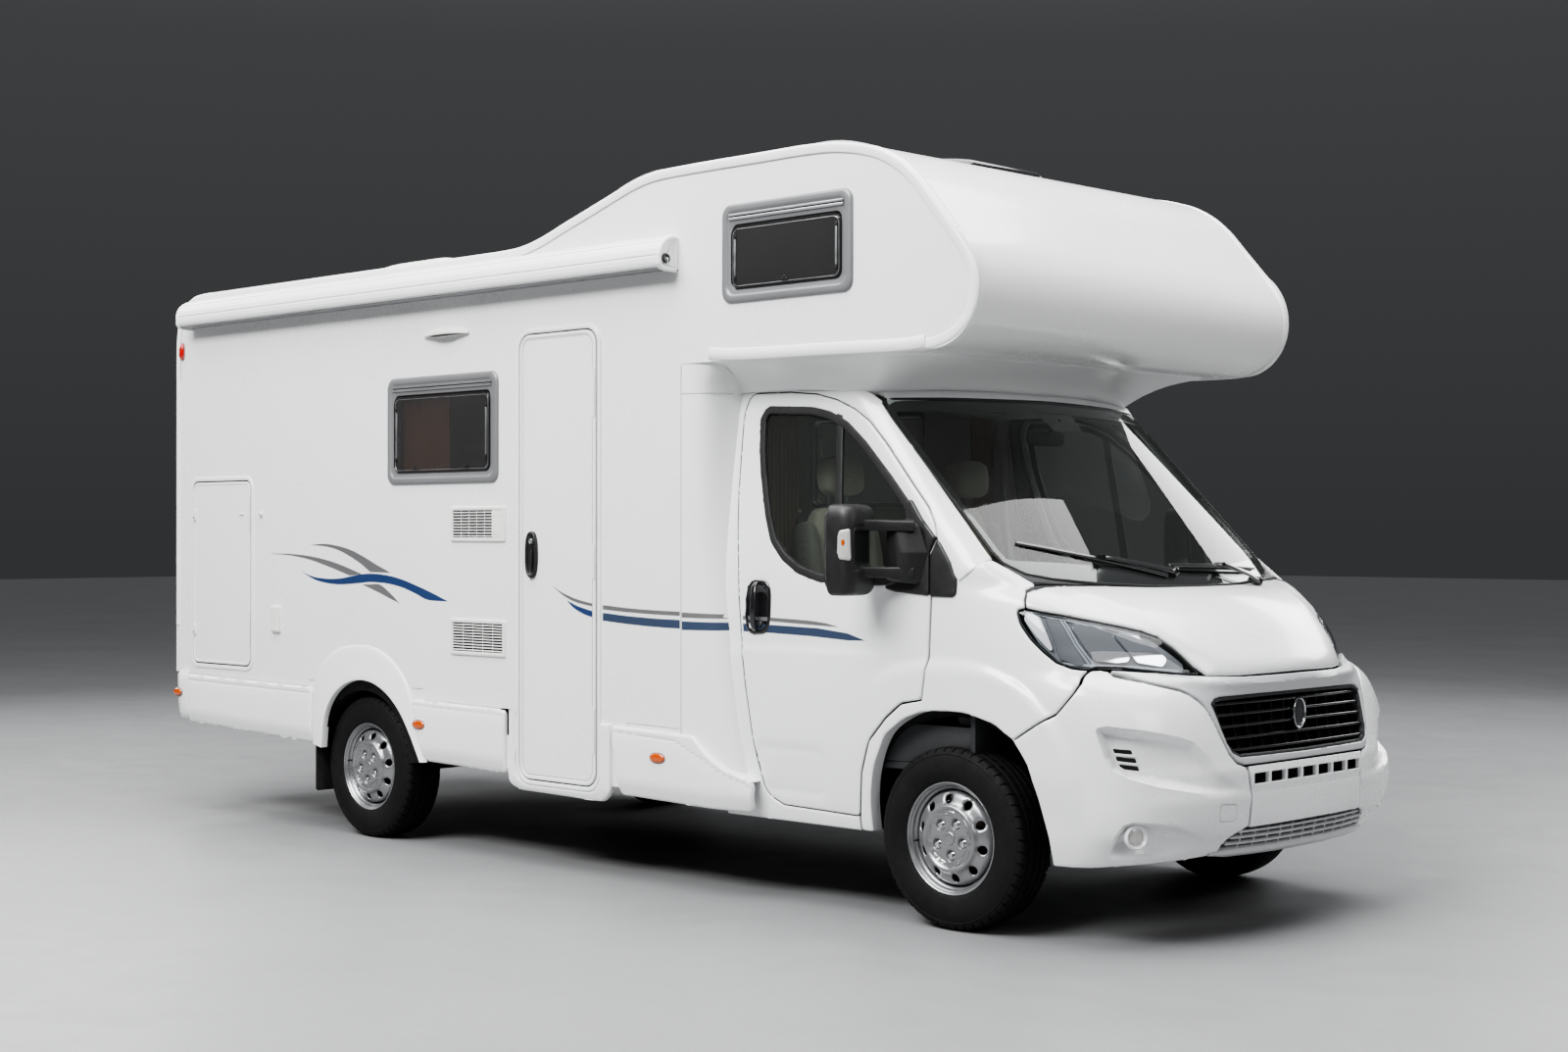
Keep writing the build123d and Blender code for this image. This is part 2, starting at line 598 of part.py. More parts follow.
# Seats: pedestal, cushion, back and head rest as one solid each.
SEAT_Y = 440.0
seat_prof = [(-520, 985), (-500, 1030, -535, 1072), (-945, 1050), (-1065, 1650), (-1085, 1860),
             (-1115, 1885), (-1165, 1870), (-1165, 1690), (-1150, 1630), (-1085, 1010), (-1050, 960), (-560, 950)]
seat = side_prism(outline(seat_prof), SEAT_Y - 245, SEAT_Y + 245)
seat = seat - block(-1200, -1000, SEAT_Y - 300, SEAT_Y - 130, 1670, 1950) - block(-1200, -1000, SEAT_Y + 130, SEAT_Y + 300, 1670, 1950)
ped = block(-1040, -620, SEAT_Y - 190, SEAT_Y + 190, 636, 951)
seat = biggest(seat + ped)
keep("cab_seats", Compound([seat, flip(seat)]))

# Curtains drawn back behind the cab.
cur = [block(-1222, -1182, s * 600, s * 780, 900, 2130) for s in (-1, 1)]
keep("cab_curtains", Compound(cur))

# Living-area furniture that shows through windows and doors.
kitchen = block(-3640, -2640, -1068, -520, FLOOR_TOP_Z, 1640)
bench = block(-2900, -1800, 470, 1068, FLOOR_TOP_Z, 1210) + block(-2900, -2780, 470, 1068, 1210, 1700)
bed = block(-5530, -4300, -1068, 1068, 1860, 1900) + block(-4330, -4300, -1068, 1068, FLOOR_TOP_Z, 1870)
keep("living_furniture", Compound([kitchen, biggest(bench), biggest(bed)]))
keep("overcab_mattress", block(-1100, 60, -1060, 1060, 2310, 2400))

# ------------------------------------------------------------------ running gear
RAIL_Y = (440, 505)
TOWBAR_X = (-5250, -5100)      # bolt holes under the rear of the rails
TOWBAR_Y, TOWBAR_HOLE_R = 472.5, 6.5
rails = None
for s in (-1, 1):
    r = block(-5400, -1250, s * RAIL_Y[0], s * RAIL_Y[1], 590, FLOOR_TOP_Z - FLOOR_T)
    f = block(-1340, 800, s * 430, s * 495, 470, 596)
    k = block(-1340, -1250, s * 430, s * 505, 470, 640)
    for x in TOWBAR_X:
        r = r - Pos(fa(x), s * TOWBAR_Y, 620) * Cylinder(TOWBAR_HOLE_R, 60)
    rails = r + f + k if rails is None else rails + r + f + k
for x in (-5330, -4500, -3100, -2000):
    rails = rails + block(x - 40, x + 40, -505, 505, 600, 700)
rails = rails + block(-1040, -960, -495, 495, 480, 590)
for s in (-1, 1):   # jacking pads
    rails = rails + block(-810, -690, s * 435, s * 490, 458, 472)
rails = rails + block(740, 800, -560, 560, 470, 640)
keep("chassis_frame", biggest(rails))

keep("engine_block", block(170, 680, -400, 400, 480, 1040))

sub = block(-120, 120, -480, 480, 300, 380) + block(-60, 60, -560, -400, 290, 345) + block(-60, 60, 400, 560, 290, 345)
sub = sub + block(-60, 60, -480, 480, 375, 470)
sub = biggest(sub - block(150, 900, -1000, 1000, 200, 1000))
keep("front_subframe", sub)

# Rear beam axle, springs and stub shafts.
HUB_R = 32.0
beam = ycyl(-3800, -835, 835, AXLE_Z, 46)
for s in (-1, 1):
    beam = beam + ycyl(-3800, s * 800, s * 985, AXLE_Z, HUB_R)
    beam = beam + block(-4560, -3040, s * 640, s * 705, 425, 449)
    beam = beam + block(-3860, -3740, s * 630, s * 715, 330, 450)
    for x in (-4540, -3060):
        beam = beam + block(x - 30, x + 30, s * 640, s * 705, 440, FLOOR_TOP_Z - FLOOR_T)
keep("rear_axle", biggest(beam))

# Tanks and exhaust under the floor.
fuel = block(-2450, -1500, 80, 420, 380, 585)
waste = block(-3000, -2560, -420, 420, 380, 585)
keep("underfloor_tanks", Compound([fuel, waste]))
pipe = Plane(origin=(fa(-1400), -250, 420), x_dir=(0, 1, 0), z_dir=(1, 0, 0))
exh = extrude(pipe * Circle(30), amount=1250)
muff = Plane(origin=(fa(-2300), -250, 430), x_dir=(0, 1, 0), z_dir=(1, 0, 0))
exh = exh + extrude(muff * Ellipse(150, 85), amount=900)
keep("exhaust", biggest(exh - block(-200, 300, -600, 600, 200, 1000)))

# Knuckles: kingpin post, stub shaft.
def knuckle(s):
    k = block(-45, 45, s * 735, s * 780, 235, 600)
    k = k + ycyl(0, s * 780, s * 970, AXLE_Z, HUB_R)
    k = k + ycyl(0, s * 735, s * 900, AXLE_Z, 72)
    return biggest(k)


keep("right_knuckle", knuckle(-1))
keep("left_knuckle", knuckle(1))
strut = PARTS["front_subframe"]
for s in (-1, 1):
    strut = strut + block(-50, 50, s * 440, s * 800, 192, 226) + block(-50, 50, s * 420, s * 480, 192, 310)
PARTS["front_subframe"] = biggest(strut)

# Wheels: axis along Y through the hub; x0 table: name, x, y middle plane, side
WHEELS = [
    ("front_right", 0.0, -FRONT_WHEEL_Y, -1),
    ("front_left", 0.0, FRONT_WHEEL_Y, 1),
    ("rear_right", -WHEELBASE, -REAR_WHEEL_Y, -1),
    ("rear_left", -WHEELBASE, REAR_WHEEL_Y, 1),
]
# Profiles as (radius, offset outward from the middle plane)
TYRE_PROFILE = [(206.5, -78), (221.5, -82.5), (221.5, -93), (236, -101), (266, -108), (300, -107), (336, -97),
                (352, -84), (359, -62), (359, 62), (352, 84), (336, 97), (300, 107), (266, 108), (236, 101),
                (221.5, 93), (221.5, 82.5), (206.5, 78)]
RIM_PROFILE = [(204, -89), (220.5, -91), (220.5, -84), (205.5, -79.5), (205.5, -40), (180, -30), (180, 25), (205.5, 45),
               (205.5, 79.5), (220.5, 84), (220.5, 91), (200, 88), (196, 50), (172, 34), (168, 62), (150, 76), (100, 66),
               (84, 66), (80, 80), (36, 84), (36, 40), (84, 38), (110, 46), (150, 58), (158, 30), (170, -35), (196, -50),
               (198, -88)]


def revolve_y(profile, r_min=0.0):
    """Ring about the Y axis from (radius, offset) points."""
    f = make_face(Polyline(*[(r, o) for r, o in profile], close=True))
    return revolve(f, axis=Axis.Y, revolution_arc=360)


tyre0 = revolve_y(TYRE_PROFILE)
rim0 = revolve_y(RIM_PROFILE)
vent = None
for i in range(10):
    c = Rot(0, 36 * i + 18, 0) * (Pos(128, 60, 0) * (Rot(90, 0, 0) * Cylinder(15, 90)))
    rim0 = rim0 - c
rim0 = biggest(rim0)
tyre0 = biggest(tyre0)
for name, x, y, s in WHEELS:
    for kind, base0 in (("tyre", tyre0), ("wheel", rim0)):
        p = base0 if s > 0 else flip(base0)
        keep(name + "_" + kind, Pos(fa(x), y, AXLE_Z) * p)

for name, shape in PARTS.items():
    export_step(shape, f"parts/{name}.step")
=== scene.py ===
import math

import bpy
import numpy as np
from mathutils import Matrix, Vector
from mathutils.geometry import delaunay_2d_cdt


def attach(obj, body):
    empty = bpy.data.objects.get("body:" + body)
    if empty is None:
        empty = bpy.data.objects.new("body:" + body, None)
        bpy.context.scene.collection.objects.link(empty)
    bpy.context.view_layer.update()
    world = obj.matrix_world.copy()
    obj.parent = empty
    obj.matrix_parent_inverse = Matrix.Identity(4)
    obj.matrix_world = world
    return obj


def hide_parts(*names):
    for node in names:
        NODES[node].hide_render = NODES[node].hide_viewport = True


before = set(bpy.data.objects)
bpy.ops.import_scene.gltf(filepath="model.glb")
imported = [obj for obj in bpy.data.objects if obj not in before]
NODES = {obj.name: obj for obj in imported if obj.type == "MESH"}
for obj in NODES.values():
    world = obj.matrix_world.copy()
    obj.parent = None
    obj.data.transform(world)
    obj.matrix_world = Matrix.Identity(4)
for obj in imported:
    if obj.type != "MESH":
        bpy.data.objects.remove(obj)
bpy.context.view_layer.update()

# Lengths are metres. Tables give x from the front axle, FA moves them to the row frame.
FA = 2.3075
HALF_W = 1.105


# ------------------------------------------------------------------ numbers
def A(*rows):
    return np.array(rows, float)


def smoothstep(a, b, t):
    t = np.clip((np.asarray(t, float) - a) / (b - a), 0, 1)
    return t * t * (3 - 2 * t)


def resample(pts, step, closed=False):
    """Points every step metres along a polyline, corners kept."""
    p = np.asarray(pts, float)
    if closed:
        p = np.vstack([p, p[:1]])
    out = []
    for a, b in zip(p[:-1], p[1:]):
        n = max(1, int(math.ceil(np.linalg.norm(b - a) / step)))
        for i in range(n):
            out.append(a + (b - a) * i / n)
    if not closed:
        out.append(p[-1])
    return np.array(out)


def spline(pts, n=8, closed=False):
    """Centripetal Catmull-Rom through the points, n steps a span."""
    p = np.asarray(pts, float)
    if closed:
        q = np.vstack([p[-1:], p, p[:2]])
    else:
        q = np.vstack([2 * p[:1] - p[1:2], p, 2 * p[-1:] - p[-2:-1]])
    out = []
    for i in range(len(q) - 3):
        p0, p1, p2, p3 = q[i : i + 4]
        t0 = 0.0
        t1 = t0 + max(1e-9, np.linalg.norm(p1 - p0)) ** 0.5
        t2 = t1 + max(1e-9, np.linalg.norm(p2 - p1)) ** 0.5
        t3 = t2 + max(1e-9, np.linalg.norm(p3 - p2)) ** 0.5
        for k in range(n):
            t = t1 + (t2 - t1) * k / n
            a1 = (t1 - t) / (t1 - t0) * p0 + (t - t0) / (t1 - t0) * p1
            a2 = (t2 - t) / (t2 - t1) * p1 + (t - t1) / (t2 - t1) * p2
            a3 = (t3 - t) / (t3 - t2) * p2 + (t - t2) / (t3 - t2) * p3
            b1 = (t2 - t) / (t2 - t0) * a1 + (t - t0) / (t2 - t0) * a2
            b2 = (t3 - t) / (t3 - t1) * a2 + (t - t1) / (t3 - t1) * a3
            out.append((t2 - t) / (t2 - t1) * b1 + (t - t1) / (t2 - t1) * b2)
    if not closed:
        out.append(p[-1])
    return np.array(out)


def rounded(poly, r, n=6):
    """Closed polygon with its corners rounded; r is one radius or one a corner."""
    p = np.asarray(poly, float)
    m = len(p)
    rs = [r] * m if np.isscalar(r) else list(r)
    out = []
    for i in range(m):
        a, b, c = p[i - 1], p[i], p[(i + 1) % m]
        u, v = a - b, c - b
        lu, lv = np.linalg.norm(u), np.linalg.norm(v)
        u, v = u / lu, v / lv
        cosang = np.clip(u @ v, -1, 1)
        ang = math.acos(cosang)
        if rs[i] <= 0 or ang > math.pi - 0.02:
            out.append(b)
            continue
        d = min(rs[i] / math.tan(ang / 2), lu * 0.49, lv * 0.49)
        rr_ = d * math.tan(ang / 2)
        s, e = b + u * d, b + v * d
        bis = (u + v) / np.linalg.norm(u + v)
        cen = b + bis * (rr_ / math.sin(ang / 2))
        a0, a1 = s - cen, e - cen
        tot = math.pi - ang
        for k in range(n + 1):
            t = k / n
            q = (math.sin((1 - t) * tot) * a0 + math.sin(t * tot) * a1) / math.sin(tot)
            out.append(cen + q)
    return np.array(out)


def rrect(x0, x1, z0, z1, r, n=6):
    return rounded([(x0, z0), (x1, z0), (x1, z1), (x0, z1)], r, n)


def ellipse(cx, cz, rx, rz, n=32, turn=0.0, power=2.0):
    t = np.arange(n) * 2 * math.pi / n
    c, s = np.cos(t), np.sin(t)
    x = rx * np.sign(c) * np.abs(c) ** (2 / power)
    z = rz * np.sign(s) * np.abs(s) ** (2 / power)
    ct, st = math.cos(turn), math.sin(turn)
    return np.stack([cx + x * ct - z * st, cz + x * st + z * ct], -1)


def area2(p):
    x, y = p[:, 0], p[:, 1]
    return 0.5 * float(np.sum(x * np.roll(y, -1) - y * np.roll(x, -1)))


def ccw(p):
    p = np.asarray(p, float)
    return p if area2(p) > 0 else p[::-1]


def offset_loop(p, d, closed=True):
    """Counter-clockwise loop moved outward by d (mitred, limited)."""
    p = np.asarray(p, float)
    if closed:
        a, c = np.roll(p, 1, 0), np.roll(p, -1, 0)
    else:
        a = np.vstack([2 * p[:1] - p[1:2], p[:-1]])
        c = np.vstack([p[1:], 2 * p[-1:] - p[-2:-1]])
    e1, e2 = p - a, c - p
    e1 /= np.maximum(np.linalg.norm(e1, axis=1, keepdims=True), 1e-12)
    e2 /= np.maximum(np.linalg.norm(e2, axis=1, keepdims=True), 1e-12)
    n1 = np.stack([e1[:, 1], -e1[:, 0]], -1)
    n2 = np.stack([e2[:, 1], -e2[:, 0]], -1)
    m = n1 + n2
    m /= np.maximum(np.linalg.norm(m, axis=1, keepdims=True), 1e-9)
    k = 1 / np.maximum(np.sum(m * n1, axis=1, keepdims=True), 0.6)
    return p + m * k * d


def inside(pts, loops):
    """Even-odd test of many points against closed loops."""
    x, y = pts[:, 0], pts[:, 1]
    hit = np.zeros(len(pts), bool)
    for L in loops:
        a, b = L, np.roll(L, -1, 0)
        for (x0, y0), (x1, y1) in zip(a, b):
            if y0 == y1:
                continue
            c = (y0 > y) != (y1 > y)
            if c.any():
                xi = x0 + (y - y0) * (x1 - x0) / (y1 - y0)
                hit ^= c & (x < xi)
    return hit


def seg_dist(pts, loops, closed=True):
    """Least distance of each point to any segment of the loops."""
    best = np.full(len(pts), 1e9)
    for L in loops:
        a = np.asarray(L, float)
        b = np.roll(a, -1, 0)
        if not closed:
            a, b = a[:-1], b[:-1]
        d = b - a
        dd = np.maximum((d * d).sum(1), 1e-18)
        for i in range(0, len(pts), 4000):
            q = pts[i : i + 4000]
            t = np.clip(((q[:, None] - a) * d).sum(2) / dd, 0, 1)
            w = q[:, None] - (a + t[..., None] * d)
            best[i : i + 4000] = np.minimum(best[i : i + 4000], np.sqrt((w * w).sum(2)).min(1))
    return best


# ------------------------------------------------------------------- meshes
class Geo:
    """Vertices and faces gathered for one object; x from the front axle."""

    def __init__(self):
        self.v, self.f, self.m = [], [], []
        self.n = 0

    def add(self, verts, faces, mat=0, flip=False):
        v = np.asarray(verts, float).reshape(-1, 3)
        self.v.append(v)
        for q in faces:
            q = [int(i) + self.n for i in q]
            self.f.append(q[::-1] if flip else q)
            self.m.append(mat)
        self.n += len(v)
        return self

    def join(self, other):
        off = self.n
        for v in other.v:
            self.v.append(v)
        self.n += other.n
        self.f += [[i + off for i in q] for q in other.f]
        self.m += list(other.m)
        return self

    def verts(self):
        return np.vstack(self.v) if self.v else np.zeros((0, 3))

    def mirrored(self):
        g = Geo()
        v = self.verts().copy()
        v[:, 1] *= -1
        g.v, g.n = [v], len(v)
        g.f = [q[::-1] for q in self.f]
        g.m = list(self.m)
        return g

    def moved(self, d=(0, 0, 0), m=None):
        g = Geo()
        v = self.verts().copy()
        if m is not None:
            v = v @ np.asarray(m, float).T
        v = v + np.asarray(d, float)
        g.v, g.n = [v], len(v)
        g.f, g.m = [list(q) for q in self.f], list(self.m)
        return g


def make(name, geo, mats, body="motorhome", slot=None, replaces=(), smooth=38.0,
         bevel=0.0, bevel_seg=2, subsurf=0, bevel_angle=35.0, weld=1e-6):
    """One object from a Geo, riding on its body."""
    me = bpy.data.meshes.new(name)
    v = geo.verts().copy()
    v[:, 0] += FA
    me.from_pydata(v.tolist(), [], geo.f)
    mats = mats if isinstance(mats, (list, tuple)) else [mats]
    for m in mats:
        me.materials.append(m)
    if len(mats) > 1:
        me.polygons.foreach_set("material_index", np.array(geo.m, np.int32))
    ob = bpy.data.objects.new(name, me)
    bpy.context.scene.collection.objects.link(ob)
    mods = False
    if weld:
        w = ob.modifiers.new("weld", "WELD")
        w.merge_threshold = weld
        mods = True
    if bevel:
        b = ob.modifiers.new("bevel", "BEVEL")
        b.width, b.segments = bevel, bevel_seg
        b.limit_method, b.angle_limit = "ANGLE", math.radians(bevel_angle)
        b.use_clamp_overlap = True
        mods = True
    if subsurf:
        s = ob.modifiers.new("sub", "SUBSURF")
        s.levels = s.render_levels = subsurf
        mods = True
    if mods:
        dg = bpy.context.evaluated_depsgraph_get()
        new = bpy.data.meshes.new_from_object(ob.evaluated_get(dg), depsgraph=dg)
        ob.modifiers.clear()
        ob.data = new
        new.name = name
        me = new
    me.shade_smooth()
    if smooth < 180:
        me.set_sharp_from_angle(angle=math.radians(smooth))
    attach(ob, body)
    if replaces:
        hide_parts(*([replaces] if isinstance(replaces, str) else replaces))
    return ob


def grid_geo(P, closed_u=False, closed_v=False, cap_u=False, mat=0, flip=False):
    """Quads over a (nu, nv, 3) array. cap_u closes the two ends as n-gons."""
    nu, nv = P.shape[:2]
    faces = []
    for i in range(nu if closed_u else nu - 1):
        for j in range(nv if closed_v else nv - 1):
            a, b = i * nv + j, i * nv + (j + 1) % nv
            c, d = ((i + 1) % nu) * nv + (j + 1) % nv, ((i + 1) % nu) * nv + j
            faces.append((a, b, c, d))
    if cap_u:
        faces.append([j for j in range(nv)][::-1])
        faces.append([(nu - 1) * nv + j for j in range(nv)])
    return Geo().add(P.reshape(-1, 3), faces, mat, flip)


def sweep(path, profile, normal=None, closed=False, cap=True, mat=0, scale=None):
    """Closed profile (a, b) carried along a 3-D path. b is along normal (one vector
    or one a point), a along tangent x normal."""
    p = np.asarray(path, float)
    pr = np.asarray(profile, float)
    if closed:
        t = np.roll(p, -1, 0) - np.roll(p, 1, 0)
    else:
        t = np.gradient(p, axis=0)
    t /= np.maximum(np.linalg.norm(t, axis=1, keepdims=True), 1e-12)
    if normal is None:
        ref = np.array([0, 0, 1.0])
        if abs(t[0] @ ref) > 0.9:
            ref = np.array([1.0, 0, 0])
        n = ref - t[0] * (t[0] @ ref)
        n /= np.linalg.norm(n)
        N = [n]
        for k in range(1, len(p)):
            n = N[-1] - t[k] * (N[-1] @ t[k])
            n /= max(np.linalg.norm(n), 1e-9)
            N.append(n)
        N = np.array(N)
    else:
        N = np.broadcast_to(np.asarray(normal, float), p.shape).copy()
        N -= t * (N * t).sum(1, keepdims=True)
        N /= np.maximum(np.linalg.norm(N, axis=1, keepdims=True), 1e-12)
    B = np.cross(t, N)
    # mitre: widen the profile across sharp turns
    k = np.ones(len(p))
    if closed or len(p) > 2:
        a = p - np.roll(p, 1, 0)
        b = np.roll(p, -1, 0) - p
        if not closed:
            a[0], b[-1] = b[0], a[-1]
        a /= np.maximum(np.linalg.norm(a, axis=1, keepdims=True), 1e-12)
        b /= np.maximum(np.linalg.norm(b, axis=1, keepdims=True), 1e-12)
        k = 1 / np.maximum(np.sqrt(np.clip((1 + (a * b).sum(1)) / 2, 0, 1)), 0.6)
    s = np.ones(len(p)) if scale is None else np.asarray(scale, float)
    P = (p[:, None] + B[:, None] * (pr[None, :, 0:1] * (k * s)[:, None, None])
         + N[:, None] * (pr[None, :, 1:2] * s[:, None, None]))
    g = grid_geo(P, closed_u=closed, closed_v=True, cap_u=cap and not closed, mat=mat)
    if area2(pr) < 0:
        g.f = [q[::-1] for q in g.f]
    return g


def tube(path, r, n=12, closed=False, mat=0, scale=None):
    t = np.arange(n) * 2 * math.pi / n
    return sweep(path, np.stack([np.cos(t) * r, np.sin(t) * r], -1), closed=closed, mat=mat, scale=scale)


def lathe(profile, centre, axis="y", n=64, mat=0, side=1, closed=True):
    """Profile (radius, offset) turned about an axis through centre. offset runs along +axis * side."""
    pr = np.asarray(profile, float)
    t = np.arange(n) * 2 * math.pi / n
    r, o = pr[:, 0], pr[:, 1] * side
    c, s = np.cos(t)[:, None], np.sin(t)[:, None]
    z = np.broadcast_to(o, (n, len(o)))
    if axis == "y":
        P = np.stack([r * c, z, r * s], -1)
    elif axis == "x":
        P = np.stack([z, r * c, r * s], -1)
    else:
        P = np.stack([r * c, r * s, z], -1)
    P = P + np.asarray(centre, float)
    g = grid_geo(P, closed_u=True, closed_v=closed, mat=mat)
    # face outward: test the first ring by signed volume
    if signed_volume(g) < 0:
        g.f = [q[::-1] for q in g.f]
    return g


def signed_volume(g):
    v = g.verts()
    tot = 0.0
    for q in g.f:
        a = v[q[0]]
        for i in range(1, len(q) - 1):
            tot += a @ np.cross(v[q[i]], v[q[i + 1]])
    return tot / 6


def outward(g):
    if signed_volume(g) < 0:
        g.f = [q[::-1] for q in g.f]
    return g


def fill2d(loops, extra_loops=(), pts=None):
    """Triangulates between loops (even-odd). Returns points, triangles."""
    V, E = [], []
    for L in list(loops) + list(extra_loops):
        n0 = len(V)
        V += [Vector((float(a), float(b))) for a, b in L]
        E += [(n0 + i, n0 + (i + 1) % len(L)) for i in range(len(L))]
    if pts is not None and len(pts):
        V += [Vector((float(a), float(b))) for a, b in pts]
    ov, oe, of, iv, ie, if_ = delaunay_2d_cdt(V, E, [], 0, 1e-7, True)
    P = np.array([(p.x, p.y) for p in ov])
    T = np.array([list(f) for f in of if len(f) == 3])
    c = P[T].mean(1)
    T = T[inside(c, loops)]
    e1, e2 = P[T[:, 1]] - P[T[:, 0]], P[T[:, 2]] - P[T[:, 0]]
    neg = e1[:, 0] * e2[:, 1] - e1[:, 1] * e2[:, 0] < 0
    T[neg] = T[neg][:, ::-1]
    return P, T


def panel(loops, surf, thick=0.012, edge=0.003, grid=0.03, height=None, mat=0, rings=None,
          hole_edge=None, step=None, keep_pts=None):
    """A closed skin over loops in a surface's own 2-D coordinates. surf(p2) gives
    positions and outward normals; the rim is rounded by edge. height(p2) adds relief."""
    loops = [ccw(L) for L in loops]
    if step:
        loops = [ccw(resample(L, step, True)) for L in loops]
    outs = [loops[0]] + [L[::-1] for L in loops[1:]]
    if rings is None:
        rings = [(0.35 * edge, -0.55 * edge), (edge, -0.12 * edge), (1.8 * edge, 0.0)] if edge else []
    drop = {}
    extra, hts = [], []
    for L in outs:
        for d, h in rings:
            R = offset_loop(L, -d)
            extra.append(R)
            hts.append(np.full(len(R), h))
    lo, hi = loops[0].min(0), loops[0].max(0)
    gx = np.arange(lo[0] + grid * 0.37, hi[0], grid)
    gz = np.arange(lo[1] + grid * 0.41, hi[1], grid)
    G = np.stack(np.meshgrid(gx, gz), -1).reshape(-1, 2)
    G[::2] += 0.0
    if len(G):
        G = G[inside(G, loops)]
    if len(G):
        G = G[seg_dist(G, loops) > (rings[-1][0] if rings else 0) + grid * 0.35]
    if keep_pts is not None and len(keep_pts):
        K = np.asarray(keep_pts, float)
        K = K[inside(K, loops)]
        K = K[seg_dist(K, loops) > (rings[-1][0] if rings else 0) + 0.001]
        if len(G) and len(K):
            from_k = np.full(len(G), 1e9)
            for i in range(0, len(G), 2000):
                dd = G[i : i + 2000, None] - K[None]
                from_k[i : i + 2000] = np.sqrt((dd * dd).sum(2)).min(1)
            G = G[from_k > grid * 0.4]
        G = np.vstack([G, K]) if len(G) else K
    P, T = fill2d(loops, extra, G)
    # heights by nearest source ring
    src = np.vstack([np.hstack([L, np.full((len(L), 1), -edge)]) for L in loops]
                    + [np.hstack([R, h[:, None]]) for R, h in zip(extra, hts)])
    H = np.zeros(len(P))
    key = {}
    for x, y, h in src:
        key[(round(x, 6), round(y, 6))] = h
    for i, (x, y) in enumerate(P):
        H[i] = key.get((round(x, 6), round(y, 6)), 0.0)
    pos, nor = surf(P)
    hh = height(P) if height is not None else np.zeros(len(P))
    H = H + hh
    top = pos + nor * H[:, None]
    # a plain thickness is measured below the sunk parts of the relief, a function from the surface
    bot = pos + nor * (np.minimum(hh, 0) - thick)[:, None] if np.isscalar(thick) else pos - nor * thick(P)[:, None]
    n = len(P)
    F = [tuple(t) for t in T] + [tuple(t[::-1] + n) for t in T]
    # rim: edges used once
    cnt = {}
    for t in T:
        for a, b in ((t[0], t[1]), (t[1], t[2]), (t[2], t[0])):
            cnt[(a, b)] = cnt.get((a, b), 0) + 1
    for (a, b) in cnt:
        if (b, a) not in cnt:
            F.append((b, a, a + n, b + n))
    # the map may be left-handed: then the triangles face inward
    g = Geo()
    a, b, c = top[T[:, 0]], top[T[:, 1]], top[T[:, 2]]
    fn = np.cross(b - a, c - a)
    flip = float((fn * nor[T[:, 0]]).sum()) < 0
    g.add(np.vstack([top, bot]), F, mat, flip)
    return g


def wall_surf(side, y0=HALF_W, x=None):
    """Flat side wall: (x, z) to 3-D, side -1 right, +1 left."""
    def f(p):
        n = len(p)
        return (np.stack([p[:, 0], np.full(n, side * y0), p[:, 1]], -1),
                np.tile([0.0, side, 0.0], (n, 1)))
    return f


def flat(origin, u, v):
    """Surface function of a plane with axes u, v."""
    o, u, v = (np.asarray(t, float) for t in (origin, u, v))
    nn = np.cross(u, v)
    nn = nn / np.linalg.norm(nn)

    def f(p):
        return o + p[:, :1] * u + p[:, 1:2] * v, np.tile(nn, (len(p), 1))
    return f


def moulding(loop, prof, side, y0=HALF_W, closed=True, mat=0):
    """Strip on a side wall along an (x, z) line. prof is (across, out) closed."""
    L = np.asarray(loop, float)
    path = np.stack([L[:, 0], np.full(len(L), side * y0), L[:, 1]], -1)
    g = sweep(path, prof, normal=(0, side, 0), closed=closed, mat=mat)
    return outward(g)


def box(x0, x1, y0, y1, z0, z1, mat=0):
    v = [(x, y, z) for x in (x0, x1) for y in (y0, y1) for z in (z0, z1)]
    f = [(0, 1, 3, 2), (4, 6, 7, 5), (0, 4, 5, 1), (2, 3, 7, 6), (0, 2, 6, 4), (1, 5, 7, 3)]
    return outward(Geo().add(v, f, mat))


def prism(loop, to3, a, b, mat=0):
    """Straight prism of a 2-D loop; to3(p2, t) gives 3-D at t=a and t=b."""
    L = ccw(loop)
    n = len(L)
    P, T = fill2d([L])
    keyed = {(round(x, 6), round(y, 6)): i for i, (x, y) in enumerate(P)}
    order = [keyed.get((round(x, 6), round(y, 6))) for x, y in L]
    va, vb = to3(P, a), to3(P, b)
    m = len(P)
    F = [tuple(t) for t in T] + [tuple(t[::-1] + m) for t in T]
    for i in range(n):
        p, q = order[i], order[(i + 1) % n]
        if p is None or q is None:
            continue
        F.append((q, p, p + m, q + m))
    return outward(Geo().add(np.vstack([va, vb]), F, mat))


def xz_prism(loop, y0, y1, mat=0):
    return prism(loop, lambda p, t: np.stack([p[:, 0], np.full(len(p), t), p[:, 1]], -1), y0, y1, mat)


def yz_prism(loop, x0, x1, mat=0):
    return prism(loop, lambda p, t: np.stack([np.full(len(p), t), p[:, 0], p[:, 1]], -1), x0, x1, mat)


def xy_prism(loop, z0, z1, mat=0):
    return prism(loop, lambda p, t: np.stack([p[:, 0], p[:, 1], np.full(len(p), t)], -1), z0, z1, mat)


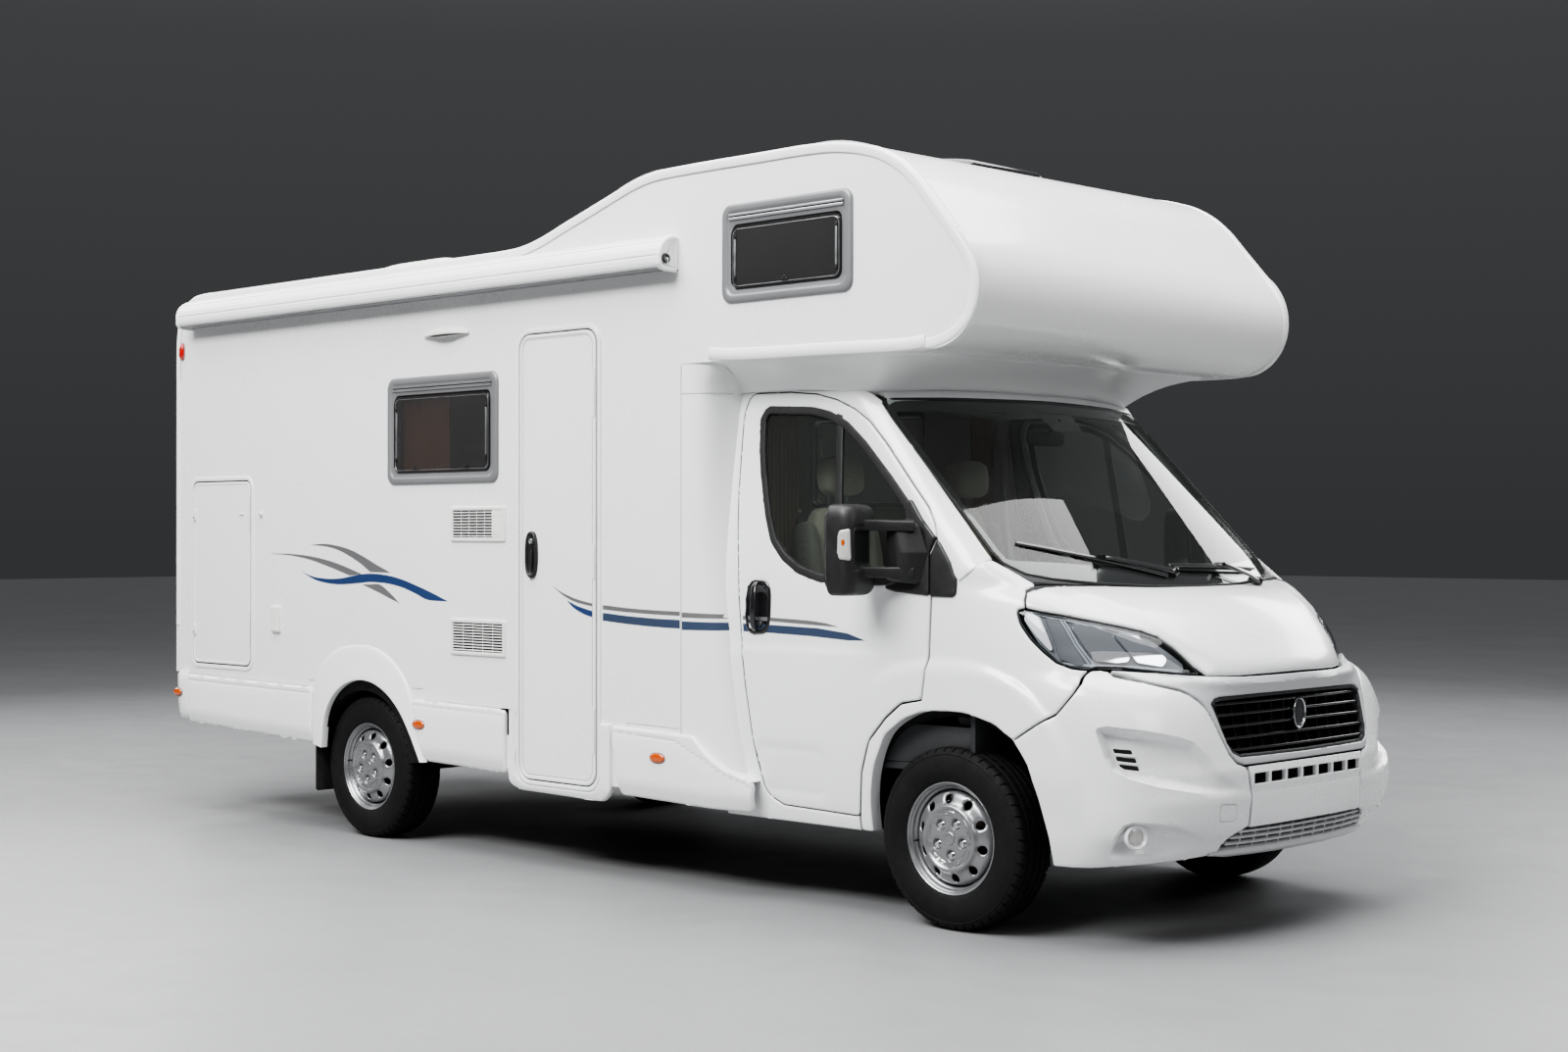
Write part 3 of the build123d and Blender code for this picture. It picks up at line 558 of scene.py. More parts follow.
# ---------------------------------------------------------------- materials
class Mat:
    """Small builder for a node material."""

    def __init__(self, name):
        self.m = bpy.data.materials.new(name)
        self.m.use_nodes = True
        self.t = self.m.node_tree
        self.t.nodes.clear()
        self.out = self.n("ShaderNodeOutputMaterial")
        self._c = None

    def n(self, kind, **kw):
        node = self.t.nodes.new(kind)
        for k, v in kw.items():
            setattr(node, k, v)
        return node

    def link(self, a, b):
        self.t.links.new(a, b)

    def coord(self):
        if self._c is None:
            self._c = self.n("ShaderNodeTexCoord").outputs["Object"]
        return self._c

    def scaled(self, s):
        mp = self.n("ShaderNodeMapping")
        self.link(self.coord(), mp.inputs["Vector"])
        mp.inputs["Scale"].default_value = s if hasattr(s, "__len__") else (s, s, s)
        return mp.outputs["Vector"]

    def noise(self, scale, detail=4.0, rough=0.55, dist=0.0, vec=None):
        x = self.n("ShaderNodeTexNoise")
        x.inputs["Scale"].default_value = scale
        x.inputs["Detail"].default_value = detail
        x.inputs["Roughness"].default_value = rough
        x.inputs["Distortion"].default_value = dist
        self.link(vec or self.coord(), x.inputs["Vector"])
        return x.outputs["Fac"]

    def voronoi(self, scale, vec=None, feature="F1"):
        x = self.n("ShaderNodeTexVoronoi", feature=feature)
        x.inputs["Scale"].default_value = scale
        self.link(vec or self.coord(), x.inputs["Vector"])
        return x.outputs["Distance"]

    def wave(self, scale, direction="X", dist=0.0, detail=0.0, vec=None, profile="SIN"):
        x = self.n("ShaderNodeTexWave", bands_direction=direction, wave_profile=profile)
        x.inputs["Scale"].default_value = scale
        x.inputs["Distortion"].default_value = dist
        x.inputs["Detail"].default_value = detail
        self.link(vec or self.coord(), x.inputs["Vector"])
        return x.outputs["Fac"]

    def ramp(self, fac, stops):
        r = self.n("ShaderNodeValToRGB")
        while len(r.color_ramp.elements) < len(stops):
            r.color_ramp.elements.new(0.5)
        for e, (p, c) in zip(r.color_ramp.elements, stops):
            e.position = p
            e.color = (*c, 1) if hasattr(c, "__len__") else (c, c, c, 1)
        self.link(fac, r.inputs["Fac"])
        return r.outputs["Color"]

    def span(self, fac, lo, hi, a=0.3, b=0.7):
        r = self.n("ShaderNodeMapRange")
        r.inputs["From Min"].default_value, r.inputs["From Max"].default_value = a, b
        r.inputs["To Min"].default_value, r.inputs["To Max"].default_value = lo, hi
        self.link(fac, r.inputs["Value"])
        return r.outputs["Result"]

    def math(self, op, a, b=None, c=None):
        x = self.n("ShaderNodeMath", operation=op)
        for i, s in enumerate((a, b, c)):
            if s is None:
                continue
            if isinstance(s, (int, float)):
                x.inputs[i].default_value = s
            else:
                self.link(s, x.inputs[i])
        return x.outputs[0]

    def mix(self, fac, a, b, kind="MIX"):
        x = self.n("ShaderNodeMix", data_type="RGBA", blend_type=kind)
        for s, v in ((x.inputs[0], fac), (x.inputs[6], a), (x.inputs[7], b)):
            if isinstance(v, (int, float)):
                s.default_value = v
            elif hasattr(v, "__len__"):
                s.default_value = (*v, 1)
            else:
                self.link(v, s)
        return x.outputs[2]

    def xyz(self):
        s = self.n("ShaderNodeSeparateXYZ")
        self.link(self.coord(), s.inputs[0])
        return s.outputs

    def bump(self, height, strength, dist=0.001, after=None):
        b = self.n("ShaderNodeBump")
        b.inputs["Strength"].default_value = strength
        b.inputs["Distance"].default_value = dist
        self.link(height, b.inputs["Height"])
        if after is not None:
            self.link(after, b.inputs["Normal"])
        return b.outputs["Normal"]

    def shader(self, color=None, rough=None, normal=None, metal=0.0, coat=0.0, coat_rough=0.04,
               spec=0.5, sheen=0.0, sheen_rough=0.4, ior=1.5, **kw):
        p = self.n("ShaderNodeBsdfPrincipled")
        i = p.inputs
        for s, v in (("Base Color", color), ("Roughness", rough), ("Normal", normal), ("Metallic", metal)):
            if v is None:
                continue
            if isinstance(v, (int, float)):
                i[s].default_value = v
            elif hasattr(v, "__len__"):
                i[s].default_value = (*v, 1) if len(v) == 3 else v
            else:
                self.link(v, i[s])
        i["Coat Weight"].default_value = coat
        i["Coat Roughness"].default_value = coat_rough
        i["Specular IOR Level"].default_value = spec
        i["Sheen Weight"].default_value = sheen
        i["Sheen Roughness"].default_value = sheen_rough
        i["IOR"].default_value = ior
        for k, v in kw.items():
            i[k].default_value = v
        self.link(p.outputs[0], self.out.inputs["Surface"])
        return self.m


def painted(name, c, rough=(0.2, 0.3), coat=0.5, vary=0.02, peel=0.035, peel_scale=420, wave=0.0,
            metal=0.0, grime=0.0, coat_rough=0.05, spec=0.5):
    m = Mat(name)
    big = m.noise(1.7, 3)
    fine = m.noise(60, 3)
    lo = [max(0, x * (1 - vary)) for x in c]
    hi = [min(1, x * (1 + vary)) for x in c]
    col = m.mix(m.span(big, 0, 1), lo, hi)
    if grime:
        z = m.xyz()[2]
        d = m.math("MULTIPLY", m.span(z, 1, 0, 0.30, 1.0), m.span(m.noise(5, 6), 0, 1, 0.42, 0.75))
        col = m.mix(m.math("MULTIPLY", d, grime), col, [x * 0.72 for x in c])
    r = m.span(m.mix(0.5, big, fine), rough[0], rough[1], 0.3, 0.7)
    nrm = m.bump(m.noise(peel_scale, 2, 0.5), peel, 0.0006)
    if wave:
        nrm = m.bump(m.noise(2.3, 2, 0.4), wave, 0.02, after=nrm)
    return m.shader(col, r, nrm, metal, coat, coat_rough, spec)


def plastic(name, c, rough=(0.42, 0.58), grain=0.25, grain_scale=1500, vary=0.12, spec=0.5, coat=0.0):
    m = Mat(name)
    big = m.noise(9, 4)
    col = m.mix(m.span(big, 0, 1), [x * (1 - vary) for x in c], [min(1, x * (1 + vary)) for x in c])
    cell = m.voronoi(grain_scale)
    r = m.span(m.noise(35, 4), rough[0], rough[1])
    return m.shader(col, r, m.bump(cell, grain, 0.0003), coat=coat, spec=spec)


def metal(name, c, rough=(0.25, 0.4), scale=220, brushed=None, vary=0.06, bump=0.05):
    m = Mat(name)
    vec = m.scaled(brushed) if brushed else None
    n = m.noise(scale if not brushed else 1.0, 5, 0.6, vec=vec)
    col = m.mix(m.span(n, 0, 1), [x * (1 - vary) for x in c], [min(1, x * (1 + vary)) for x in c])
    r = m.span(m.noise(30, 5), rough[0], rough[1])
    return m.shader(col, r, m.bump(n, bump, 0.0004), metal=1.0)


def coated_iron(name, c, rust=0.25):
    """Painted underside steel with dust and a little rust."""
    m = Mat(name)
    n = m.noise(14, 7, 0.62)
    dust = m.noise(3.2, 4)
    rusty = m.span(m.noise(26, 8, 0.7, 0.4), 0, rust, 0.56, 0.72)
    col = m.mix(m.span(n, 0, 1), [x * 0.75 for x in c], [x * 1.35 for x in c])
    col = m.mix(m.math("MULTIPLY", m.span(dust, 0, 0.45), 1.0), col, (0.12, 0.105, 0.09))
    col = m.mix(rusty, col, (0.16, 0.062, 0.025))
    return m.shader(col, m.span(n, 0.55, 0.85), m.bump(m.noise(160, 6, 0.7), 0.25, 0.001), spec=0.35)


def glass(name, tint, rough=0.02, edge=1.45, floor=0.0, painted_reflection=0.0, painted_reflection_colour=(0.5, 0.52, 0.5)):
    """Thin pane: lets the view through with a tint and mirrors by Fresnel; painted_reflection lays a grey diffuse veil
    over the front face, a painted reflection.
    """
    m = Mat(name)
    tr = m.n("ShaderNodeBsdfTransparent")
    n = m.noise(1.3, 2)
    col = m.mix(m.span(n, 0, 1), [x * 0.94 for x in tint], tint)
    m.link(col, tr.inputs["Color"])
    gl = m.n("ShaderNodeBsdfGlossy")
    gl.inputs["Roughness"].default_value = rough
    m.link(m.bump(m.noise(1.1, 1), 0.02, 0.02), gl.inputs["Normal"])
    fr = m.n("ShaderNodeFresnel")
    fr.inputs["IOR"].default_value = edge
    geo = m.n("ShaderNodeNewGeometry")
    front = m.math("SUBTRACT", 1.0, geo.outputs["Backfacing"])
    fac = m.math("MULTIPLY", fr.outputs[0], front)
    if floor:
        fac = m.math("MAXIMUM", fac, floor)
    mx = m.n("ShaderNodeMixShader")
    m.link(fac, mx.inputs[0])
    m.link(tr.outputs[0], mx.inputs[1])
    m.link(gl.outputs[0], mx.inputs[2])
    top = mx
    # painted reflection: grey diffuse veil over the front face that brightens the pane
    if painted_reflection:
        df = m.n("ShaderNodeBsdfDiffuse")
        m.link(m.mix(m.span(m.noise(3.1, 4), 0, 1), [x * 0.85 for x in painted_reflection_colour], painted_reflection_colour), df.inputs["Color"])
        top = m.n("ShaderNodeMixShader")
        m.link(m.math("MULTIPLY", front, painted_reflection), top.inputs[0])
        m.link(mx.outputs[0], top.inputs[1])
        m.link(df.outputs[0], top.inputs[2])
    m.link(top.outputs[0], m.out.inputs["Surface"])
    return m.m


def lens(name, c, scale=420, rough=(0.08, 0.16), glow=0.0):
    """Moulded coloured lens with prismatic ribs inside."""
    m = Mat(name)
    w = m.wave(scale / 6.28, "X")
    v = m.wave(scale / 6.28, "Z")
    k = m.math("MULTIPLY", w, v)
    col = m.mix(m.span(k, 0, 1, 0.1, 0.9), [x * 0.62 for x in c], [min(1, x * 1.25) for x in c])
    return m.shader(col, m.span(m.noise(50, 2), *rough), m.bump(k, 0.35, 0.0008), coat=1.0, spec=0.6)


def cloth(name, c, c2=None, thread=900, weave=0.5, sheen=0.35, mottle=0.1, rough=(0.82, 0.95)):
    m = Mat(name)
    c2 = c2 or [x * 0.8 for x in c]
    a = m.wave(thread / 6.28, "X", 0.6, 1)
    b = m.wave(thread / 6.28, "Z", 0.6, 1)
    d = m.wave(thread / 6.28, "Y", 0.6, 1)
    k = m.math("ADD", m.math("MULTIPLY", a, b), m.math("MULTIPLY", d, 0.5))
    col = m.mix(m.span(k, 0, 1, 0.2, 1.0), c2, c)
    col = m.mix(m.span(m.noise(7, 5), 0, mottle * 2), col, [x * 0.7 for x in c])
    nrm = m.bump(k, weave, 0.0006)
    nrm = m.bump(m.noise(45, 4), 0.15, 0.002, after=nrm)
    return m.shader(col, m.span(m.noise(80, 3), *rough), nrm, sheen=sheen, spec=0.25)


def wood(name, c, c2, scale=(2.0, 9.0, 1.2)):
    m = Mat(name)
    vec = m.scaled(scale)
    rings = m.noise(3.2, 6, 0.6, 1.2, vec=vec)
    fine = m.noise(1.0, 3, 0.7, vec=m.scaled([s * 40 for s in scale]))
    col = m.ramp(rings, [(0.25, c2), (0.5, c), (0.62, c2), (0.8, c)])
    col = m.mix(m.span(fine, 0, 0.35), col, c2)
    return m.shader(col, m.span(fine, 0.32, 0.5), m.bump(fine, 0.06, 0.0005), coat=0.15)


def rubber(name, c=(0.018, 0.018, 0.019), rough=(0.62, 0.82), dust=0.16, grain=0.3, spec=0.35):
    m = Mat(name)
    n = m.noise(6, 5)
    col = m.mix(m.span(n, 0, 1), [x * 0.8 for x in c], [x * 1.3 for x in c])
    col = m.mix(m.span(m.noise(22, 6, 0.65), 0, dust, 0.45, 0.75), col, (0.11, 0.105, 0.1))
    return m.shader(col, m.span(m.noise(40, 4), *rough), m.bump(m.noise(700, 3), grain, 0.0004), spec=spec)


M = {}
M["grp"] = painted("grp_white", (0.79, 0.795, 0.79), rough=(0.24, 0.34), coat=0.25, coat_rough=0.12,
                   vary=0.010, peel=0.018, wave=0.012)
M["roof"] = painted("grp_white_roof", (0.80, 0.80, 0.795), rough=(0.2, 0.3), coat=0.4, coat_rough=0.08,
                    vary=0.012, peel=0.02, wave=0.01)
M["abs"] = painted("moulded_white", (0.80, 0.805, 0.80), rough=(0.28, 0.4), coat=0.15, coat_rough=0.2,
                   vary=0.012, peel=0.022)
M["cab"] = painted("cab_white", (0.81, 0.815, 0.82), rough=(0.26, 0.32), coat=0.6, coat_rough=0.11,
                   vary=0.008, peel=0.012, peel_scale=600)
M["bumper"] = painted("bumper_white", (0.79, 0.795, 0.80), rough=(0.24, 0.32), coat=0.45, coat_rough=0.08,
                      vary=0.012, peel=0.02, grime=0.05)
M["alu"] = painted("frame_grey", (0.185, 0.188, 0.194), rough=(0.36, 0.48), coat=0.1, vary=0.04, peel=0.2,
                   peel_scale=900, metal=0.25)
M["alu_bright"] = metal("rail_alu", (0.62, 0.63, 0.64), (0.28, 0.4), brushed=(3, 260, 260))
M["silver"] = painted("wheel_silver", (0.28, 0.284, 0.29), rough=(0.26, 0.36), coat=0.35, metal=0.7,
                      vary=0.05, peel=0.12, peel_scale=1600)
M["silver_trim"] = painted("trim_silver", (0.47, 0.475, 0.485), rough=(0.30, 0.38), coat=0.35, metal=0.15,
                           vary=0.02, peel=0.0, peel_scale=900)
M["chrome"] = metal("reflector_chrome", (0.82, 0.83, 0.85), (0.04, 0.1), vary=0.02, bump=0.01)
M["mirror"] = metal("mirror_glass", (0.86, 0.88, 0.90), (0.01, 0.03), vary=0.01, bump=0.0)
M["chrome_dull"] = metal("reflector_satin", (0.62, 0.63, 0.65), (0.14, 0.24), vary=0.04, bump=0.02)
M["black"] = plastic("black_plastic", (0.0095, 0.0095, 0.010), (0.38, 0.52), 0.35)
M["black_gloss"] = plastic("black_gloss", (0.012, 0.012, 0.013), (0.1, 0.18), 0.04, coat=0.6)
M["black_matt"] = plastic("black_matt", (0.005, 0.005, 0.0055), (0.6, 0.78), 0.4, spec=0.25)
M["dark"] = plastic("dark_trim", (0.026, 0.027, 0.029), (0.5, 0.68), 0.45, 900)
M["dash"] = plastic("dash_grey", (0.060, 0.063, 0.068), (0.55, 0.7), 0.5, 700)
M["wheel_skin"] = plastic("wheel_skin", (0.018, 0.018, 0.019), (0.42, 0.55), 0.3, 1100)
M["grey_trim"] = plastic("grey_trim", (0.20, 0.20, 0.20), (0.5, 0.65), 0.35, 900)
M["pale_trim"] = plastic("pale_trim", (0.42, 0.41, 0.385), (0.55, 0.7), 0.35, 900, vary=0.05)
M["white_plastic"] = plastic("white_plastic", (0.74, 0.735, 0.715), (0.32, 0.42), 0.1, vary=0.03)
M["seal"] = rubber("seal_rubber", (0.012, 0.012, 0.012), (0.55, 0.7), 0.05)
M["tyre"] = rubber("tyre_rubber", (0.0062, 0.0062, 0.0065), (0.62, 0.80), 0.035, 0.25, 0.2)
M["flap"] = rubber("flap_rubber", (0.014, 0.014, 0.014), (0.6, 0.75), 0.14)
M["iron"] = coated_iron("chassis_black", (0.012, 0.012, 0.0125), 0.12)
M["zinc"] = coated_iron("chassis_zinc", (0.20, 0.20, 0.20), 0.2)
M["engine"] = coated_iron("engine_iron", (0.075, 0.076, 0.08), 0.3)
M["exhaust"] = metal("exhaust_steel", (0.42, 0.37, 0.32), (0.3, 0.5), vary=0.18, bump=0.15)
M["tank"] = plastic("tank_black", (0.02, 0.02, 0.021), (0.55, 0.7), 0.3, 400)
# acrylic, cab glass and screen carry a painted reflection: a grey diffuse veil weighted by painted_reflection
M["acrylic"] = glass("tinted_acrylic", (0.60, 0.575, 0.555), 0.03, 1.42, painted_reflection=0.055, painted_reflection_colour=(0.50, 0.50, 0.50))
M["glass"] = glass("cab_glass", (0.845, 0.87, 0.852), 0.01, 1.5, painted_reflection=0.035, painted_reflection_colour=(0.46, 0.51, 0.48))
M["screen"] = glass("screen_glass", (0.80, 0.83, 0.81), 0.01, 1.5, painted_reflection=0.008, painted_reflection_colour=(0.46, 0.50, 0.48))
M["frit"] = plastic("glass_frit", (0.008, 0.008, 0.009), (0.06, 0.1), 0.0, coat=0.5)
M["lens_clear"] = glass("lamp_clear", (0.9, 0.92, 0.94), 0.02, 1.45)
M["amber"] = lens("lens_amber", (0.62, 0.095, 0.003))
M["red"] = lens("lens_red", (0.55, 0.012, 0.01))
M["lens_white"] = lens("lens_white", (0.62, 0.62, 0.6), 500)
M["seat"] = cloth("seat_cloth", (0.62, 0.58, 0.50), (0.50, 0.465, 0.40), 1100, 0.5, 0.3)
M["seat_side"] = cloth("seat_side_cloth", (0.30, 0.285, 0.26), (0.22, 0.21, 0.19), 1100, 0.5, 0.3)
M["curtain_brown"] = cloth("curtain_brown", (0.26, 0.135, 0.085), (0.17, 0.090, 0.058), 1400, 0.4, 0.25)
M["curtain_cream"] = cloth("curtain_cream", (0.55, 0.50, 0.42), (0.42, 0.38, 0.31), 1400, 0.4, 0.25)
M["mattress"] = cloth("mattress_cloth", (0.60, 0.58, 0.53), (0.50, 0.48, 0.43), 800, 0.5, 0.3)
M["headliner"] = cloth("headliner_felt", (0.36, 0.35, 0.33), (0.30, 0.29, 0.275), 2200, 0.3, 0.2)
M["wood"] = wood("furniture_wood", (0.30, 0.155, 0.075), (0.19, 0.09, 0.042))
M["lino"] = wood("floor_board", (0.24, 0.19, 0.14), (0.17, 0.13, 0.095), (6.0, 0.8, 1.0))
M["grey_decal"] = painted("decal_grey", (0.17, 0.17, 0.175), rough=(0.3, 0.4), coat=0.2, metal=0.35,
                          vary=0.05, peel=0.1, peel_scale=1800)
M["blue_decal"] = painted("decal_blue", (0.018, 0.042, 0.125), rough=(0.28, 0.38), coat=0.25, metal=0.1,
                          vary=0.06, peel=0.08, peel_scale=1800)
M["slate_decal"] = painted("decal_slate", (0.040, 0.060, 0.108), rough=(0.28, 0.38), coat=0.25, metal=0.2,
                           vary=0.05, peel=0.08, peel_scale=1800)


# ------------------------------------------------------ CAD nodes as they are
def dress(node, mat):
    me = NODES[node].data
    me.materials.clear()
    me.materials.append(mat)


for node, key in (
    ("chassis_frame", "iron"), ("front_subframe", "iron"), ("rear_axle", "iron"),
    ("right_knuckle", "engine"), ("left_knuckle", "engine"), ("engine_block", "engine"),
    ("exhaust", "exhaust"), ("underfloor_tanks", "tank"), ("living_floor", "lino"),
    ("right_side_wall", "grp"), ("left_side_wall", "grp"), ("rear_wall", "grp"),
    ("main_roof", "roof"), ("overcab_nose", "roof"), ("cab_fairings", "abs"),
    ("right_skirts", "abs"), ("left_skirts", "abs"), ("rear_bumper", "abs"), ("rear_lights", "red"),
    ("awning_cassette", "abs"), ("living_windows", "acrylic"), ("fridge_vents", "white_plastic"),
    ("cab_shell", "cab"), ("windscreen", "screen"), ("front_wings", "cab"), ("front_bumper", "bumper"),
    ("front_grille", "black_gloss"), ("headlamps", "chrome_dull"), ("dashboard", "dark"),
    ("cab_seats", "seat"), ("cab_curtains", "curtain_brown"), ("living_furniture", "wood"),
    ("overcab_mattress", "mattress"), ("right_cab_door", "cab"), ("left_cab_door", "cab"),
    ("right_door_glass", "glass"), ("left_door_glass", "glass"), ("right_mirror", "black"),
    ("left_mirror", "black"), ("entrance_door", "grp"), ("garage_hatch", "grp"), ("service_hatch", "grp"),
    ("bonnet", "cab"), ("rear_rooflight_lid", "abs"), ("overcab_rooflight_lid", "acrylic"),
    ("steering_wheel", "dark"), ("front_right_tyre", "tyre"), ("front_left_tyre", "tyre"),
    ("rear_right_tyre", "tyre"), ("rear_left_tyre", "tyre"), ("front_right_wheel", "silver"),
    ("front_left_wheel", "silver"), ("rear_right_wheel", "silver"), ("rear_left_wheel", "silver"),
):
    dress(node, M[key])


# ---------------------------------------------------------------- living body
R_, L_ = -1, 1
SIDE_NAME = {R_: "right", L_: "left"}

# Side outline of the living body: rear wall up, over the roof, round the nose.
REAR_CURVE = spline(A((-5.577, 2.400), (-5.577, 2.541), (-5.571, 2.645), (-5.539, 2.754), (-5.476, 2.821),
                      (-5.393, 2.861), (-5.285, 2.872), (-5.150, 2.872)), 6)
ROOF_CURVE = spline(A((-5.150, 2.872), (-4.0, 2.872), (-2.80, 2.872), (-2.640, 2.873), (-2.513, 2.880),
                      (-2.367, 2.909), (-2.196, 2.961), (-2.001, 3.018), (-1.838, 3.068), (-1.705, 3.105),
                      (-1.574, 3.125), (-1.40, 3.130), (-0.90, 3.130), (-0.700, 3.130), (-0.554, 3.125),
                      (-0.450, 3.113), (-0.371, 3.098)), 7)
NOSE_CURVE = spline(A((-0.371, 3.098), (-0.298, 3.077), (-0.239, 3.054), (-0.157, 3.007), (-0.075, 2.938),
                      (0.016, 2.834), (0.105, 2.730), (0.176, 2.640), (0.214, 2.568), (0.229, 2.496),
                      (0.223, 2.428), (0.194, 2.362), (0.150, 2.320), (0.095, 2.288), (0.020, 2.266),
                      (-0.076, 2.259)), 10)
UNDER_CURVE = A((-0.076, 2.259), (-0.25, 2.262), (-0.60, 2.267), (-0.95, 2.272), (-1.222, 2.277))
PROFILE = np.vstack([A((-5.577, 1.030), (-5.577, 1.5), (-5.577, 2.0)), REAR_CURVE, ROOF_CURVE[1:], NOSE_CURVE[1:],
                     UNDER_CURVE[1:]])


def prof_xyz(P2, y):
    return np.stack([P2[:, 0], np.full(len(P2), y), P2[:, 1]], -1)


def skin(P2, y0, y1, t, ny=9, mat=0):
    """Closed sheet of a profile carried straight across; inner face t inside."""
    nrm = offset_loop(P2[::-1], 1.0, closed=False)[::-1] - P2   # left of travel = outward
    ys = np.linspace(y0, y1, ny)
    outer = np.stack([prof_xyz(P2, y) for y in ys])
    inner = np.stack([prof_xyz(P2 - nrm * t, y) for y in ys])
    P = np.concatenate([outer, inner[:, ::-1]], 1)
    return outward(grid_geo(P, closed_v=True, cap_u=True, mat=mat))


def roof_and_nose():
    # roof panel in one piece, raised rims round the two roof lights
    i = np.argmin(np.abs(PROFILE[:, 0] + 0.620) + (PROFILE[:, 1] < 3.0) * 9)
    j0 = np.argmax(PROFILE[:, 1] >= 2.541)
    roof = skin(PROFILE[j0 : i + 1], -1.075, 1.075, 0.03)
    for (x0, x1, y0, y1, z, h) in ((-3.99, -3.45, -0.83, -0.39, 2.872, 0.026), (-1.15, -0.73, -0.39, 0.03, 3.130, 0.014)):
        # white flange and curb of the roof light
        L = rrect(x0 - 0.045, x1 + 0.045, y0 - 0.045, y1 + 0.045, 0.04)
        ring = sweep(np.c_[offset_loop(ccw(L), -0.02), np.full(len(L), z)], A((-0.024, -0.002), (-0.022, 0.003), (0.02, 0.004), (0.024, -0.002)),
                     normal=(0, 0, 1), closed=True)
        roof.join(outward(ring))
        L = ccw(rrect(x0, x1, y0, y1, 0.03))
        curb = sweep(np.c_[offset_loop(L, -0.012), np.full(len(L), z)], A((-0.012, 0.0), (-0.012, h), (0.012, h), (0.012, 0.0)),
                     normal=(0, 0, 1), closed=True)
        roof.join(outward(curb))
    # two long stiffening beads and screw caps on the flat part
    make("main_roof_panel", roof, M["roof"], slot="body_white", replaces="main_roof", smooth=40)
    # nose moulding, and a strip over the joint between roof panel and nose
    nose = skin(PROFILE[i:], -1.075, 1.075, 0.03, ny=5)
    make("overcab_nose_moulding", nose, M["roof"], slot="body_white", replaces="overcab_nose", smooth=60)
    seam = sweep(prof_xyz(A((PROFILE[i][0], 0), (PROFILE[i][0], 0)), 0) * 0 + A((PROFILE[i][0], -1.07, 3.130), (PROFILE[i][0], 1.07, 3.130)),
                 A((-0.011, 0.0), (-0.009, 0.0022), (0.009, 0.0022), (0.011, 0.0)), normal=(0, 0, 1))
    make("roof_joint_strip", outward(seam), M["abs"], slot="body_white")


roof_and_nose()


def edge_trims():
    """Rounded bead that joins each side wall to the roof, the nose and the rear."""
    P2 = PROFILE
    n = offset_loop(P2[::-1], 1.0, closed=False)[::-1] - P2
    lens = np.r_[0, np.cumsum(np.linalg.norm(np.diff(P2, axis=0), axis=1))]
    prof = [(-0.041, 0.0005), (-0.040, 0.0030), (-0.036, 0.0044), (-0.014, 0.0052), (-0.006, 0.0044), (-0.001, 0.0016),
            (0.0022, -0.003), (0.0034, -0.010), (0.0036, -0.030), (0.0024, -0.034), (0.0002, -0.035), (-0.0004, -0.006), (-0.004, -0.0010)]
    pr = np.array(prof)
    for s in (R_, L_):
        P = np.stack([np.stack([P2[:, 0] + n[:, 0] * d, np.full(len(P2), s * (HALF_W + h)), P2[:, 1] + n[:, 1] * d], -1)
                      for d, h in pr], 1)
        g = outward(grid_geo(P, closed_v=True, cap_u=True))
        make(SIDE_NAME[s] + "_roof_edge_trim", g, M["abs"], slot="body_white", smooth=50)
        # dark joint beside the bead, fading out over the nose
        a = (P2[:, 0] < -0.12) & (P2[:, 1] > 2.3) & (np.arange(len(P2)) > 2)
        Q = P2[a] - n[a] * 0.0435
        w = np.clip((-0.12 - Q[:, 0]) / 0.5, 0.25, 1.0)
        m = A((-0.0017, 0.0003), (-0.0014, 0.0012), (0.0014, 0.0012), (0.0017, 0.0003))
        g = sweep(prof_xyz(Q, s * HALF_W), m, normal=(0, s, 0), scale=w)
        make(SIDE_NAME[s] + "_trim_joint", outward(g), M["grey_trim"], slot="dark_trim", smooth=60)
        # lip under the pod, with the step at its front end
        U = spline(A((-1.235, 2.312), (-1.10, 2.300), (-0.60, 2.291), (-0.12, 2.284), (-0.03, 2.290)), 6)
        prof_l = A((-0.024, 0.0), (-0.026, 0.004), (-0.022, 0.0085), (0.020, 0.0085), (0.024, 0.004), (0.024, 0.0))
        g = sweep(prof_xyz(U, s * HALF_W), prof_l, normal=(0, s, 0))
        make(SIDE_NAME[s] + "_pod_lip", outward(g), M["abs"], slot="body_white", smooth=50)


edge_trims()


